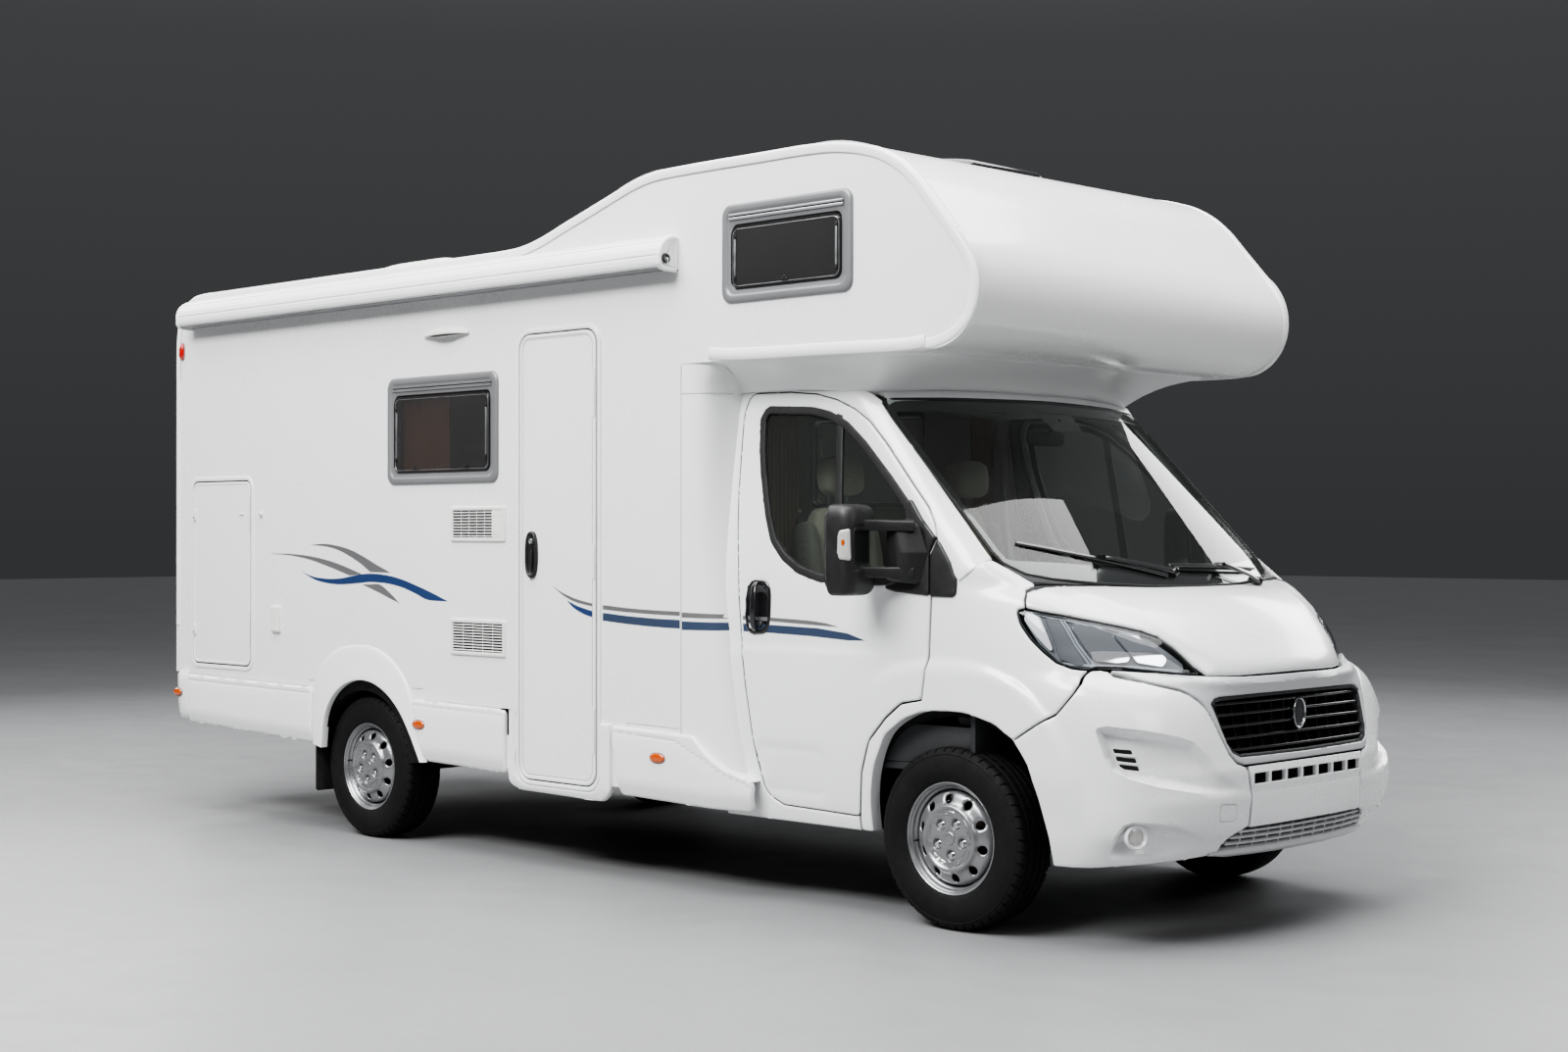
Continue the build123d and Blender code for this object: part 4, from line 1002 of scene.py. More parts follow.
# ----------------------------------------------------------------- windows
def window(name, x0, x1, z0, z1, plane, rail=True, curtain=None, body="motorhome", brown=None, small=False):
    """Top-hung caravan window. plane(a, z, out) gives 3-D; a runs along the wall."""
    w, h = x1 - x0, z1 - z0

    def ring(d, zt=0.0, r=0.05):
        return ccw(rrect(x0 + d, x1 - d, z0 + d, z1 - d - zt, max(r - d * 0.3, 0.012), 7))

    def on(p, o):
        return plane(p[:, 0], p[:, 1], np.full(len(p), o) if np.isscalar(o) else o)

    # frame: nested rings, from the wall out and back in to the base plate
    rings = [(0.0, 0.0), (0.0, 0.004), (0.003, 0.009), (0.008, 0.0125), (0.013, 0.0138), (0.026, 0.0140),
             (0.030, 0.0132), (0.0345, 0.0085), (0.037, 0.0070), (0.0385, 0.0065)]
    base = [ring(d) for d, _ in rings]
    P = np.stack([on(b, o) for b, (d, o) in zip(base, rings)])
    inner = ring(0.052, 0.020 if rail else 0.0)
    P2 = [on(inner, 0.0060), on(ring(0.0585, 0.028 if rail else 0.0), 0.0035), on(ring(0.0585, 0.028 if rail else 0), -0.028), on(base[0] * 0 + ring(0.045, 0.01), -0.028)]
    P = np.concatenate([P, np.stack(P2), np.stack([on(ring(0.02), -0.0005)])], 0)
    g = outward(grid_geo(P, closed_u=True, closed_v=True))
    obs = [make(name + "_frame", g, M["alu"], body, "dark_trim", replaces="living_windows", smooth=42)]
    if rail:
        gr = Geo()
        for k, (zz, t) in enumerate(((z1 - 0.0465, 0.0052), (z1 - 0.0625, 0.0062))):
            line = A((x0 + 0.046, zz), (x1 - 0.046, zz))
            line = resample(line, 0.2)
            c = np.arange(10) * 2 * math.pi / 10
            pr = np.stack([t * np.cos(c), 0.0055 + 0.0045 * np.sin(c)], -1)
            gr.join(sweep(on(line, 0.004), pr, normal=plane(A(0), A(0), A(1))[0] - plane(A(0), A(0), A(0))[0]))
        make(name + "_top_rail", outward(gr), M["alu_bright"], body, "dark_trim", smooth=60)
        line = resample(A((x0 + 0.047, z1 - 0.0545), (x1 - 0.047, z1 - 0.0545)), 0.2)
        gs = sweep(on(line, 0.0055), A((-0.012, 0.0), (-0.012, 0.0015), (0.012, 0.0015), (0.012, 0.0)),
                   normal=plane(A(0), A(0), A(1))[0] - plane(A(0), A(0), A(0))[0])
        make(name + "_rail_gap", outward(gs), M["seal"], body, "dark_trim")
    # pane: domed acrylic with a thick bevelled rim
    zt = 0.036 if rail else 0.006
    def surf(p):
        e = np.minimum.reduce([p[:, 0] - (x0 + 0.06), (x1 - 0.06) - p[:, 0], p[:, 1] - (z0 + 0.06), (z1 - 0.06 - zt) - p[:, 1]])
        o = 0.0085 + 0.0035 * smoothstep(0, 0.10, e)
        a = on(p, o)
        b = on(p, o + 0.001)
        return a, (b - a) * 1000
    loop = ring(0.0625, zt, 0.055)
    gp = panel([loop], surf, thick=0.0045, edge=0.003, grid=0.05)
    make(name + "_pane", gp, M["acrylic"], body, "tinted_acrylic", smooth=50, replaces="living_windows")
    nv = plane(A(0), A(0), A(1))[0] - plane(A(0), A(0), A(0))[0]
    sl = ring(0.0605, zt, 0.055)
    gq = sweep(on(sl, 0.0015), A((-0.0035, 0.0), (-0.0035, 0.0065), (-0.001, 0.0088), (0.0025, 0.0082), (0.0035, 0.005), (0.0035, 0.0)), normal=nv, closed=True)
    make(name + "_seal", outward(gq), M["black_gloss"], body, "black_plastic", smooth=50)
    # bright edge, stays and catches
    gh = Geo()
    ed = ring(0.070, zt + 0.002, 0.05)
    gh.join(sweep(on(ed, 0.0095), np.stack([0.0011 * np.cos(np.arange(6) * math.pi / 3), 0.0011 * np.sin(np.arange(6) * math.pi / 3)], -1), normal=nv, closed=True))
    zc, hh = (z0 + z1 - zt) / 2, (h - zt - 0.12)
    for xx in (x0 + 0.083, x1 - 0.083):
        L = rrect(xx - 0.0045, xx + 0.0045, zc - hh * 0.30, zc + hh * 0.30, 0.004, 3)
        P_, T_ = None, None
        gh.join(panel([L], lambda p: (on(p, 0.0148), np.tile(nv, (len(p), 1))), thick=0.004, edge=0.0012, grid=0.2))
    make(name + "_stays", gh, M["alu_bright"], body, "silver_wheel", smooth=60)
    gk = Geo()
    n_c = 1 if small else 2
    for k in range(n_c):
        xx = (x0 + x1) / 2 if n_c == 1 else (x0 + w * (0.27 if k == 0 else 0.73))
        for (dx, dz, ww, hh2, o) in ((0, 0.0, 0.034, 0.012, 0.0155), (0.0, 0.010, 0.016, 0.010, 0.0175)):
            L = rrect(xx + dx - ww / 2, xx + dx + ww / 2, z0 + 0.078 + dz - hh2 / 2, z0 + 0.078 + dz + hh2 / 2, 0.004, 3)
            gk.join(panel([L], lambda p, o=o: (on(p, o), np.tile(nv, (len(p), 1))), thick=0.006, edge=0.0015, grid=0.2))
    for xx in (x0 + 0.083, x1 - 0.083):
        for zz in (zc - hh * 0.33, zc + hh * 0.33):
            L = ellipse(xx, zz, 0.008, 0.011, 14)
            gk.join(panel([L], lambda p: (on(p, 0.0158), np.tile(nv, (len(p), 1))), thick=0.005, edge=0.0015, grid=0.2))
    make(name + "_catches", gk, M["black"], body, "black_plastic", smooth=50)
    return obs


def side_plane(s):
    def f(a, z, o):
        return np.stack([np.asarray(a, float), s * (HALF_W + np.asarray(o, float)), np.asarray(z, float)], -1)
    return f


def rear_plane(a, z, o):
    return np.stack([-5.577 - np.asarray(o, float), np.asarray(a, float), np.asarray(z, float)], -1)


window("window_right_main", -3.551, -2.671, 1.786, 2.315, side_plane(R_))
window("window_right_overcab", -1.155, -0.409, 2.514, 2.931, side_plane(R_), small=True)
window("window_left_overcab", -1.155, -0.409, 2.514, 2.931, side_plane(L_), small=True)
window("window_left_dinette", -2.760, -1.860, 1.640, 2.240, side_plane(L_))
window("window_left_rear", -5.200, -4.500, 1.786, 2.250, side_plane(L_), small=True)
window("window_rear", -0.450, 0.450, 1.640, 2.200, rear_plane)


# ------------------------------------------------------------------- vents
def vent(name, x0, x1, z0, z1, slats, blank):
    s = R_
    pl = side_plane(s)

    def on(p, o):
        return pl(p[:, 0], p[:, 1], np.full(len(p), o))
    rings = [(0.0, 0.0), (0.0006, 0.005), (0.004, 0.0085), (0.010, 0.0095), (0.017, 0.0092), (0.0195, 0.0078), (0.0205, 0.002), (0.010, 0.0)]
    P = np.stack([on(ccw(rrect(x0 + d, x1 - d, z0 + d, z1 - d, 0.012 - d * 0.3, 5)), o) for d, o in rings])
    g = outward(grid_geo(P, closed_u=True, closed_v=True))
    xi0, xi1, zi0, zi1 = x0 + 0.022, x1 - 0.022, z0 + 0.022, z1 - 0.022
    xb = xi1 - 0.078 if blank else xi1
    pitch = (zi1 - zi0) / slats
    for k in range(slats):
        zz = zi0 + pitch * (k + 0.5)
        # slat: leans outward at its lower edge
        pr = A((-0.0052, 0.0062), (-0.0048, 0.0080), (0.0030, 0.0052), (0.0036, 0.0030), (0.0030, 0.0024), (-0.004, 0.0054))
        line = A((xi0 - 0.002, zz), (xb, zz))
        sl = sweep(on(line, 0.0), np.stack([pr[:, 0] * 0.60 * pitch / 0.0155, pr[:, 1]], -1), normal=(0, s, 0))
        # keep the lower edge outermost whichever way the frame turned
        v = sl.verts()
        lo = v[:, 2] < zz
        if np.abs(v[lo, 1]).mean() < np.abs(v[~lo, 1]).mean():
            v[:, 2] = 2 * zz - v[:, 2]
            sl.v = [v]
            sl.f = [q[::-1] for q in sl.f]
        g.join(outward(sl))
    for k in range(1, 5):
        xx = xi0 + (xb - xi0) * k / 5
        g.join(xz_prism(rrect(xx - 0.0008, xx + 0.0008, zi0, zi1, 0.0003, 1), s * (HALF_W + 0.001), s * (HALF_W + 0.0036)))
    if blank:
        L = ccw(rrect(xb, xi1 + 0.001, zi0 - 0.001, zi1 + 0.001, 0.003, 3))
        g.join(panel([L], wall_surf(s, HALF_W + 0.0078), thick=0.006, edge=0.001, grid=0.2))
        for zz in (zi0 + 0.018, zi0 + 0.030, zi1 - 0.018):
            L = rrect(xb + 0.010, xi1 - 0.012, zz - 0.0022, zz + 0.0022, 0.002, 3)
            g.join(panel([ccw(L)], wall_surf(s, HALF_W + 0.0092), thick=0.003, edge=0.0008, grid=0.2))
    for (xx, zz) in ((x0 + 0.0115, z0 + 0.0115), (x0 + 0.0115, z1 - 0.0115), (x1 - 0.0115, z0 + 0.0115), (x1 - 0.0115, z1 - 0.0115)):
        g.join(lathe(A((0.0, 0.0), (0.0036, 0.0), (0.0036, 0.0006), (0.0024, 0.0014), (0.0, 0.0016)), (xx, s * (HALF_W + 0.0090), zz), "y", 12, side=s, closed=False))
    make(name, g, M["white_plastic"], slot="body_white", replaces="fridge_vents", smooth=40)
    # the black sheet just behind the louvres is painted shade: it stands in for the dark space behind the vent
    back = panel([ccw(rrect(x0 + 0.018, x1 - 0.018, z0 + 0.018, z1 - 0.018, 0.004, 3))], wall_surf(s, HALF_W + 0.0016), thick=0.0012, edge=0, grid=0.2)
    make(name + "_mesh", back, M["black_matt"], slot="black_plastic")


vent("fridge_vent_upper", -3.038, -2.615, 1.505, 1.676, 9, True)
vent("fridge_vent_lower", -3.038, -2.615, 0.961, 1.138, 10, False)


# --------------------------------------------------- doors in the side walls
def bead(w, h, r=0.35):
    """Rounded strip section, w wide and h high, closed."""
    a = w / 2
    return A((-a, 0.0), (-a, h * (1 - r) * 0.8), (-a + w * 0.07, h * 0.9), (-a + w * 0.2, h), (a - w * 0.2, h),
             (a - w * 0.07, h * 0.9), (a, h * (1 - r) * 0.8), (a, 0.0))


def hinge_leaf(g, x, z0, z1, s, w=0.016, h=0.0105):
    L = ccw(rrect(x - w / 2, x + w / 2, z0, z1, 0.003, 3))
    g.join(panel([L], wall_surf(s, HALF_W + h), thick=h - 0.0045, edge=0.002, grid=0.2))


def entrance():
    s = R_
    x0, x1, z0, z1, r = -2.506, -1.970, 0.409, 2.465, 0.070
    # white frame moulding on the body, wider at the foot where the door drops below the skirt
    L = ccw(rrect(x0 - 0.0165, x1 + 0.0240, z0 - 0.0165, z1 + 0.0165, r + 0.016, 10))
    g = moulding(resample(L, 0.25, True), bead(0.020, 0.010), s)
    tab = spline(A((-2.532, 0.700), (-2.533, 0.560), (-2.545, 0.470), (-2.575, 0.410), (-2.560, 0.372), (-2.500, 0.353), (-2.400, 0.350),
                   (-2.20, 0.349), (-2.00, 0.348), (-1.930, 0.352), (-1.886, 0.378), (-1.872, 0.430), (-1.870, 0.520), (-1.871, 0.692)), 6)
    make("entrance_frame", g, M["abs"], slot="body_white", smooth=50)
    # skirt surround at the foot of the door
    outer = A((-2.532, 0.716), (-2.532, 0.520), (-2.590, 0.435), (-2.575, 0.372), (-2.500, 0.352), (-1.93, 0.346), (-1.868, 0.385), (-1.866, 0.695))
    outer = rounded(outer, [0.004, 0.05, 0.03, 0.05, 0.09, 0.06, 0.05, 0.004], 6)
    hole = rrect(x0 - 0.027, x1 + 0.0345, z0 - 0.027, 0.90, 0.085, 8)
    # open the top: cut with the door opening running past the upper edge
    zt = 0.705
    poly = [p for p in outer]
    inner_pts = [p for p in ccw(hole) if p[1] < zt]
    inner_pts = sorted(inner_pts, key=lambda p: 0)
    hl = ccw(hole)
    k0 = int(np.argmax(hl[:, 1] > zt))
    hl = np.roll(hl, -k0, 0)
    hl = np.array([p for p in hl if p[1] <= zt])          # left side down, foot, right side up
    order = hl if hl[0][0] < hl[-1][0] else hl[::-1]
    ring_pts = np.vstack([outer, [[x1 + 0.0345, zt - 0.008]], order[::-1], [[x0 - 0.027, zt + 0.008]]])
    ring_pts = ccw(ring_pts)

    def sf(p):
        n = len(p)
        low = smoothstep(0.40, 0.345, p[:, 1]) * 0.012
        return (np.stack([p[:, 0], s * (HALF_W + 0.014 - low), p[:, 1]], -1), np.tile([0.0, s, 0.0], (n, 1)))
    g2 = panel([resample(ring_pts, 0.03, True)], sf, thick=0.022, edge=0.006, grid=0.05)
    make("entrance_foot_moulding", g2, M["abs"], slot="body_white", smooth=50)
    # rubber in the running gap
    L = ccw(rrect(x0 - 0.0042, x1 + 0.0042, z0 - 0.0042, z1 + 0.0042, r + 0.004, 10))
    g = moulding(resample(L, 0.25, True), A((-0.0036, -0.020), (-0.0036, -0.001), (0.0036, -0.001), (0.0036, -0.020)), s)
    make("entrance_gap_rubber", g, M["seal"], slot="black_plastic", smooth=50)
    # door leaf mouldings
    L = ccw(rrect(x0 + 0.0085, x1 - 0.0085, z0 + 0.0085, z1 - 0.0085, r - 0.008, 10))
    g = moulding(resample(L, 0.25, True), bead(0.014, 0.004), s, HALF_W + 0.0038)
    make("entrance_door_edge", g, M["abs"], "living_door", "body_white", smooth=50)
    L = ccw(rrect(x0 + 0.0225, x1 - 0.0225, z0 + 0.0225, z1 - 0.0225, r - 0.02, 10))
    g = moulding(resample(L, 0.25, True), A((-0.0011, 0), (-0.0011, 0.0006), (0.0011, 0.0006), (0.0011, 0)), s, HALF_W + 0.004)
    make("entrance_door_line", g, M["grey_trim"], "living_door", "dark_trim", smooth=50)
    # hinge covers along the front edge
    g = Geo()
    for a, b in ((2.070, 2.290), (1.340, 1.500), (0.560, 0.760)):
        hinge_leaf(g, x1 - 0.0095, a, b, s, 0.0155, 0.0125)
        for t in (0.34, 0.66):
            zz = a + (b - a) * t
            g.join(box(x1 - 0.0172, x1 - 0.0018, s * (HALF_W + 0.0118), s * (HALF_W + 0.0130), zz - 0.0012, zz + 0.0012))
    make("entrance_hinges", g, M["white_plastic"], "living_door", "body_white", smooth=40)
    # black handle: oval bezel, dished grip, pull and lock
    hx, hz, rx, rz = -2.4165, 1.447, 0.0415, 0.108
    t = np.arange(48) * 2 * math.pi / 48
    def ov(k, o, e=2.6):
        p = ellipse(hx, hz, rx * k, rz * (1 - (1 - k) * rx / rz), 48, power=e)
        return np.stack([p[:, 0], np.full(48, s * (HALF_W + 0.004 + o)), p[:, 1]], -1)
    P = np.stack([ov(1.0, 0.0), ov(1.0, 0.006), ov(0.97, 0.012), ov(0.9, 0.0155), ov(0.80, 0.0160), ov(0.70, 0.0150), ov(0.64, 0.0110), ov(0.58, 0.0035), ov(0.50, 0.0018)])
    g = grid_geo(P, closed_v=True)
    n = P.shape[0]
    g.add(P[-1], [list(range(48))])
    g.add(P[0], [list(range(48))[::-1]])
    outward(g)
    pull = A((hx + 0.004, hz - 0.072), (hx + 0.004, hz - 0.05), (hx + 0.004, hz), (hx + 0.004, hz + 0.02))
    pr = ellipse(0, 0.013, 0.0085, 0.0045, 12)
    g.join(outward(sweep(np.stack([pull[:, 0], np.full(4, s * (HALF_W + 0.004)), pull[:, 1]], -1), pr, normal=(0, s, 0), scale=A(0.7, 1, 1, 0.8))))
    make("entrance_handle", g, M["black"], "living_door", "black_plastic", smooth=50)
    g = lathe(A((0.0, 0.0), (0.0135, 0.0), (0.0135, 0.013), (0.0118, 0.0155), (0.0050, 0.0160), (0.0046, 0.0135), (0, 0.0135)), (hx, s * (HALF_W + 0.0045), hz + 0.062), "y", 28, side=s, closed=False)
    make("entrance_lock", outward(g), M["alu_bright"], "living_door", "silver_wheel", smooth=50)


entrance()


def hatch(prefix, spec, side, body, hinge_front=True, knob=False):
    x0, x1, z0, z1, r = spec
    s = side
    L = ccw(rrect(x0 - 0.0185, x1 + 0.0185, z0 - 0.0185, z1 + 0.0185, r + 0.016, 8))
    g = moulding(resample(L, 0.25, True), bead(0.022, 0.0055), s)
    make(prefix + "_frame", g, M["abs"], slot="body_white", smooth=50)
    L = ccw(rrect(x0 - 0.0047, x1 + 0.0047, z0 - 0.0047, z1 + 0.0047, r + 0.004, 8))
    g = moulding(resample(L, 0.25, True), A((-0.0042, -0.018), (-0.0042, 0.0006), (0.0042, 0.0006), (0.0042, -0.018)), s)
    make(prefix + "_gap_rubber", g, M["dark"], slot="dark_trim", smooth=50)
    L = ccw(rrect(x0 + 0.0075, x1 - 0.0075, z0 + 0.0075, z1 - 0.0075, r - 0.006, 8))
    g = moulding(resample(L, 0.25, True), bead(0.012, 0.0026), s, HALF_W + 0.0038)
    make(prefix + "_edge", g, M["abs"], body, "body_white", smooth=50)
    # two compression latches on the rear edge, hinge leaves on the front edge
    g = Geo()
    gb = Geo()
    h = z1 - z0
    for zz in (z0 + h * 0.18, z0 + h * 0.82) if h > 0.6 else (z0 + h * 0.5,):
        L = ccw(rounded([(x0 + 0.004, zz - 0.036), (x0 + 0.030, zz - 0.030), (x0 + 0.030, zz + 0.030), (x0 + 0.004, zz + 0.036)], 0.010, 5))
        g.join(panel([L], wall_surf(s, HALF_W + 0.0115), thick=0.008, edge=0.003, grid=0.2))
        gb.join(lathe(A((0.0, 0.0), (0.0075, 0.0), (0.0075, 0.002), (0.0058, 0.0034), (0.002, 0.0034), (0.002, 0.0024), (0, 0.0024)), (x0 + 0.0175, s * (HALF_W + 0.0112), zz - 0.012), "y", 20, side=s, closed=False))
    for a, b in ((0.10, 0.30), (0.72, 0.92)):
        hinge_leaf(g, x1 - 0.006, z0 + h * a, z0 + h * b, s, 0.011, 0.0095)
    make(prefix + "_latches", g, M["white_plastic"], body, "body_white", smooth=40)
    make(prefix + "_latch_cores", gb, M["alu_bright"], body, "silver_wheel", smooth=50)
    if knob:
        zz = z0 + h * 0.823
        g = lathe(A((0.0, 0.0), (0.016, 0.0), (0.016, 0.003), (0.009, 0.006), (0.0065, 0.012), (0.0095, 0.019), (0.0085, 0.023), (0.0, 0.0245)), (x1 + 0.105, s * HALF_W, zz), "y", 28, side=s, closed=False)
        make(prefix + "_door_catch", outward(g), M["white_plastic"], slot="body_white", smooth=50)
        g = Geo()
        L = ccw(rrect(x1 - 0.105, x1 - 0.062, zz - 0.005, zz + 0.005, 0.004, 4))
        g.join(panel([L], wall_surf(s, HALF_W + 0.0115), thick=0.008, edge=0.002, grid=0.2))
        make(prefix + "_catch_plate", g, M["white_plastic"], body, "body_white", smooth=50)


hatch("garage_hatch", (-5.390, -4.810, 0.830, 1.825, 0.045), R_, "garage_door", knob=True)
hatch("service_hatch", (-3.350, -2.900, 0.830, 1.250, 0.040), L_, "service_door")


# ------------------------------------------------------------ wall fittings
def pad(name, L, s, out, thick, edge, mat, slot, body="motorhome", y0=HALF_W, grid=0.06, height=None):
    g = panel([ccw(np.asarray(L, float))], wall_surf(s, y0 + out), thick=thick, edge=edge, grid=grid, height=height)
    return make(name, g, mat, body, slot, smooth=50)


def socket_cover(name, cx, cz, w, h, s):
    L = rrect(cx - w / 2, cx + w / 2, cz - h / 2, cz + h / 2, 0.010, 6)
    pad(name + "_base", offset_loop(ccw(L), 0.006), s, 0.005, 0.005, 0.002, M["white_plastic"], "body_white")
    pad(name, L, s, 0.019, 0.015, 0.005, M["white_plastic"], "body_white")
    L = rrect(cx - w * 0.34, cx + w * 0.34, cz - h / 2 + 0.010, cz - h / 2 + 0.017, 0.003, 3)
    pad(name + "_tab", L, s, 0.0215, 0.004, 0.0015, M["white_plastic"], "body_white")


socket_cover("mains_inlet_cover", -4.556, 1.090, 0.074, 0.138, R_)
socket_cover("water_filler_cover", -2.450, 0.980, 0.135, 0.135, L_)


def awning_lamp():
    s = R_
    # hooded lamp: white canopy with a grey diffuser beneath
    cx, cz, w = -3.070, 2.513, 0.350
    n = 25
    t = np.linspace(-1, 1, n)
    xs = cx + t * w / 2
    rows = []
    for k, (fz, fo) in enumerate(((0.030, 0.0), (0.034, 0.012), (0.030, 0.026), (0.018, 0.040), (0.004, 0.046), (-0.004, 0.045), (-0.006, 0.038), (-0.006, 0.0))):
        arch = 1 - np.abs(t) ** 2.6
        rows.append(np.stack([xs, s * (HALF_W + fo * (0.25 + 0.75 * arch)), cz + fz * (0.35 + 0.65 * arch) - 0.008 * (1 - arch)], -1))
    P = np.stack(rows, 1)
    make("awning_lamp_hood", outward(grid_geo(P, closed_v=True, cap_u=True)), M["white_plastic"], slot="body_white", smooth=60)
    L = np.vstack([np.stack([cx + t * w * 0.40, cz - 0.007 - 0.014 * (1 - np.abs(t) ** 2.2)], -1), [[cx + w * 0.40, cz - 0.004], [cx - w * 0.40, cz - 0.004]]])
    def sf(p):
        o = 0.034 * (1 - np.abs((p[:, 0] - cx) / (w * 0.42)) ** 2.4)
        return np.stack([p[:, 0], s * (HALF_W + 0.003 + np.maximum(o, 0)), p[:, 1]], -1), np.tile([0.0, s, 0.0], (len(p), 1))
    g = panel([ccw(L)], sf, thick=0.003, edge=0.001, grid=0.02)
    make("awning_lamp_diffuser", g, M["lens_white"], slot="lamp_clear", smooth=60)


awning_lamp()


def marker(name, cx, cz, rx, rz, s, mat, out=0.012, y0=HALF_W, turn=0.0, base=True, slot="lamp_red"):
    """Oval marker lamp with a pale bezel and a domed lens."""
    def row(k, o, extra=0.0):
        p = ellipse(cx, cz, rx * k + extra, rz * k + extra, 36, turn, 2.2)
        return np.stack([p[:, 0], np.full(36, s * (y0 + o)), p[:, 1]], -1)
    P = np.stack([row(1, 0.0), row(1, out * 0.35), row(0.93, out * 0.72), row(0.75, out * 0.93), row(0.45, out), row(0.1, out * 1.02)])
    g = grid_geo(P, closed_v=True)
    g.add(P[-1], [list(range(36))])
    g.add(P[0], [list(range(36))[::-1]])
    outward(g)
    make(name, g, mat, slot=slot, smooth=60)
    if base:
        p = ellipse(cx, cz, rx + 0.001, rz + 0.001, 36, turn, 2.2)
        g = moulding(ccw(p), A((-0.002, 0), (-0.002, 0.0035), (0.002, 0.0042), (0.0035, 0.002), (0.0035, 0)), s, y0)
        make(name + "_bezel", g, M["grey_trim"], slot="dark_trim", smooth=60)


for s_ in (R_, L_):
    n_ = SIDE_NAME[s_]
    marker("marker_red_" + n_, -5.510, 2.565, 0.020, 0.047, s_, M["red"], 0.018)
    marker("marker_amber_middle_" + n_, -3.277, 0.608, 0.0475, 0.021, s_, M["amber"], 0.012, HALF_W + 0.0165, slot="lamp_clear")
    marker("marker_amber_front_" + n_, -1.545, 0.570, 0.0475, 0.021, s_, M["amber"], 0.012, HALF_W + 0.0165, slot="lamp_clear")
    marker("marker_amber_rear_" + n_, -5.530, 0.655, 0.040, 0.020, s_, M["amber"], 0.012, HALF_W + 0.0165, slot="lamp_clear")


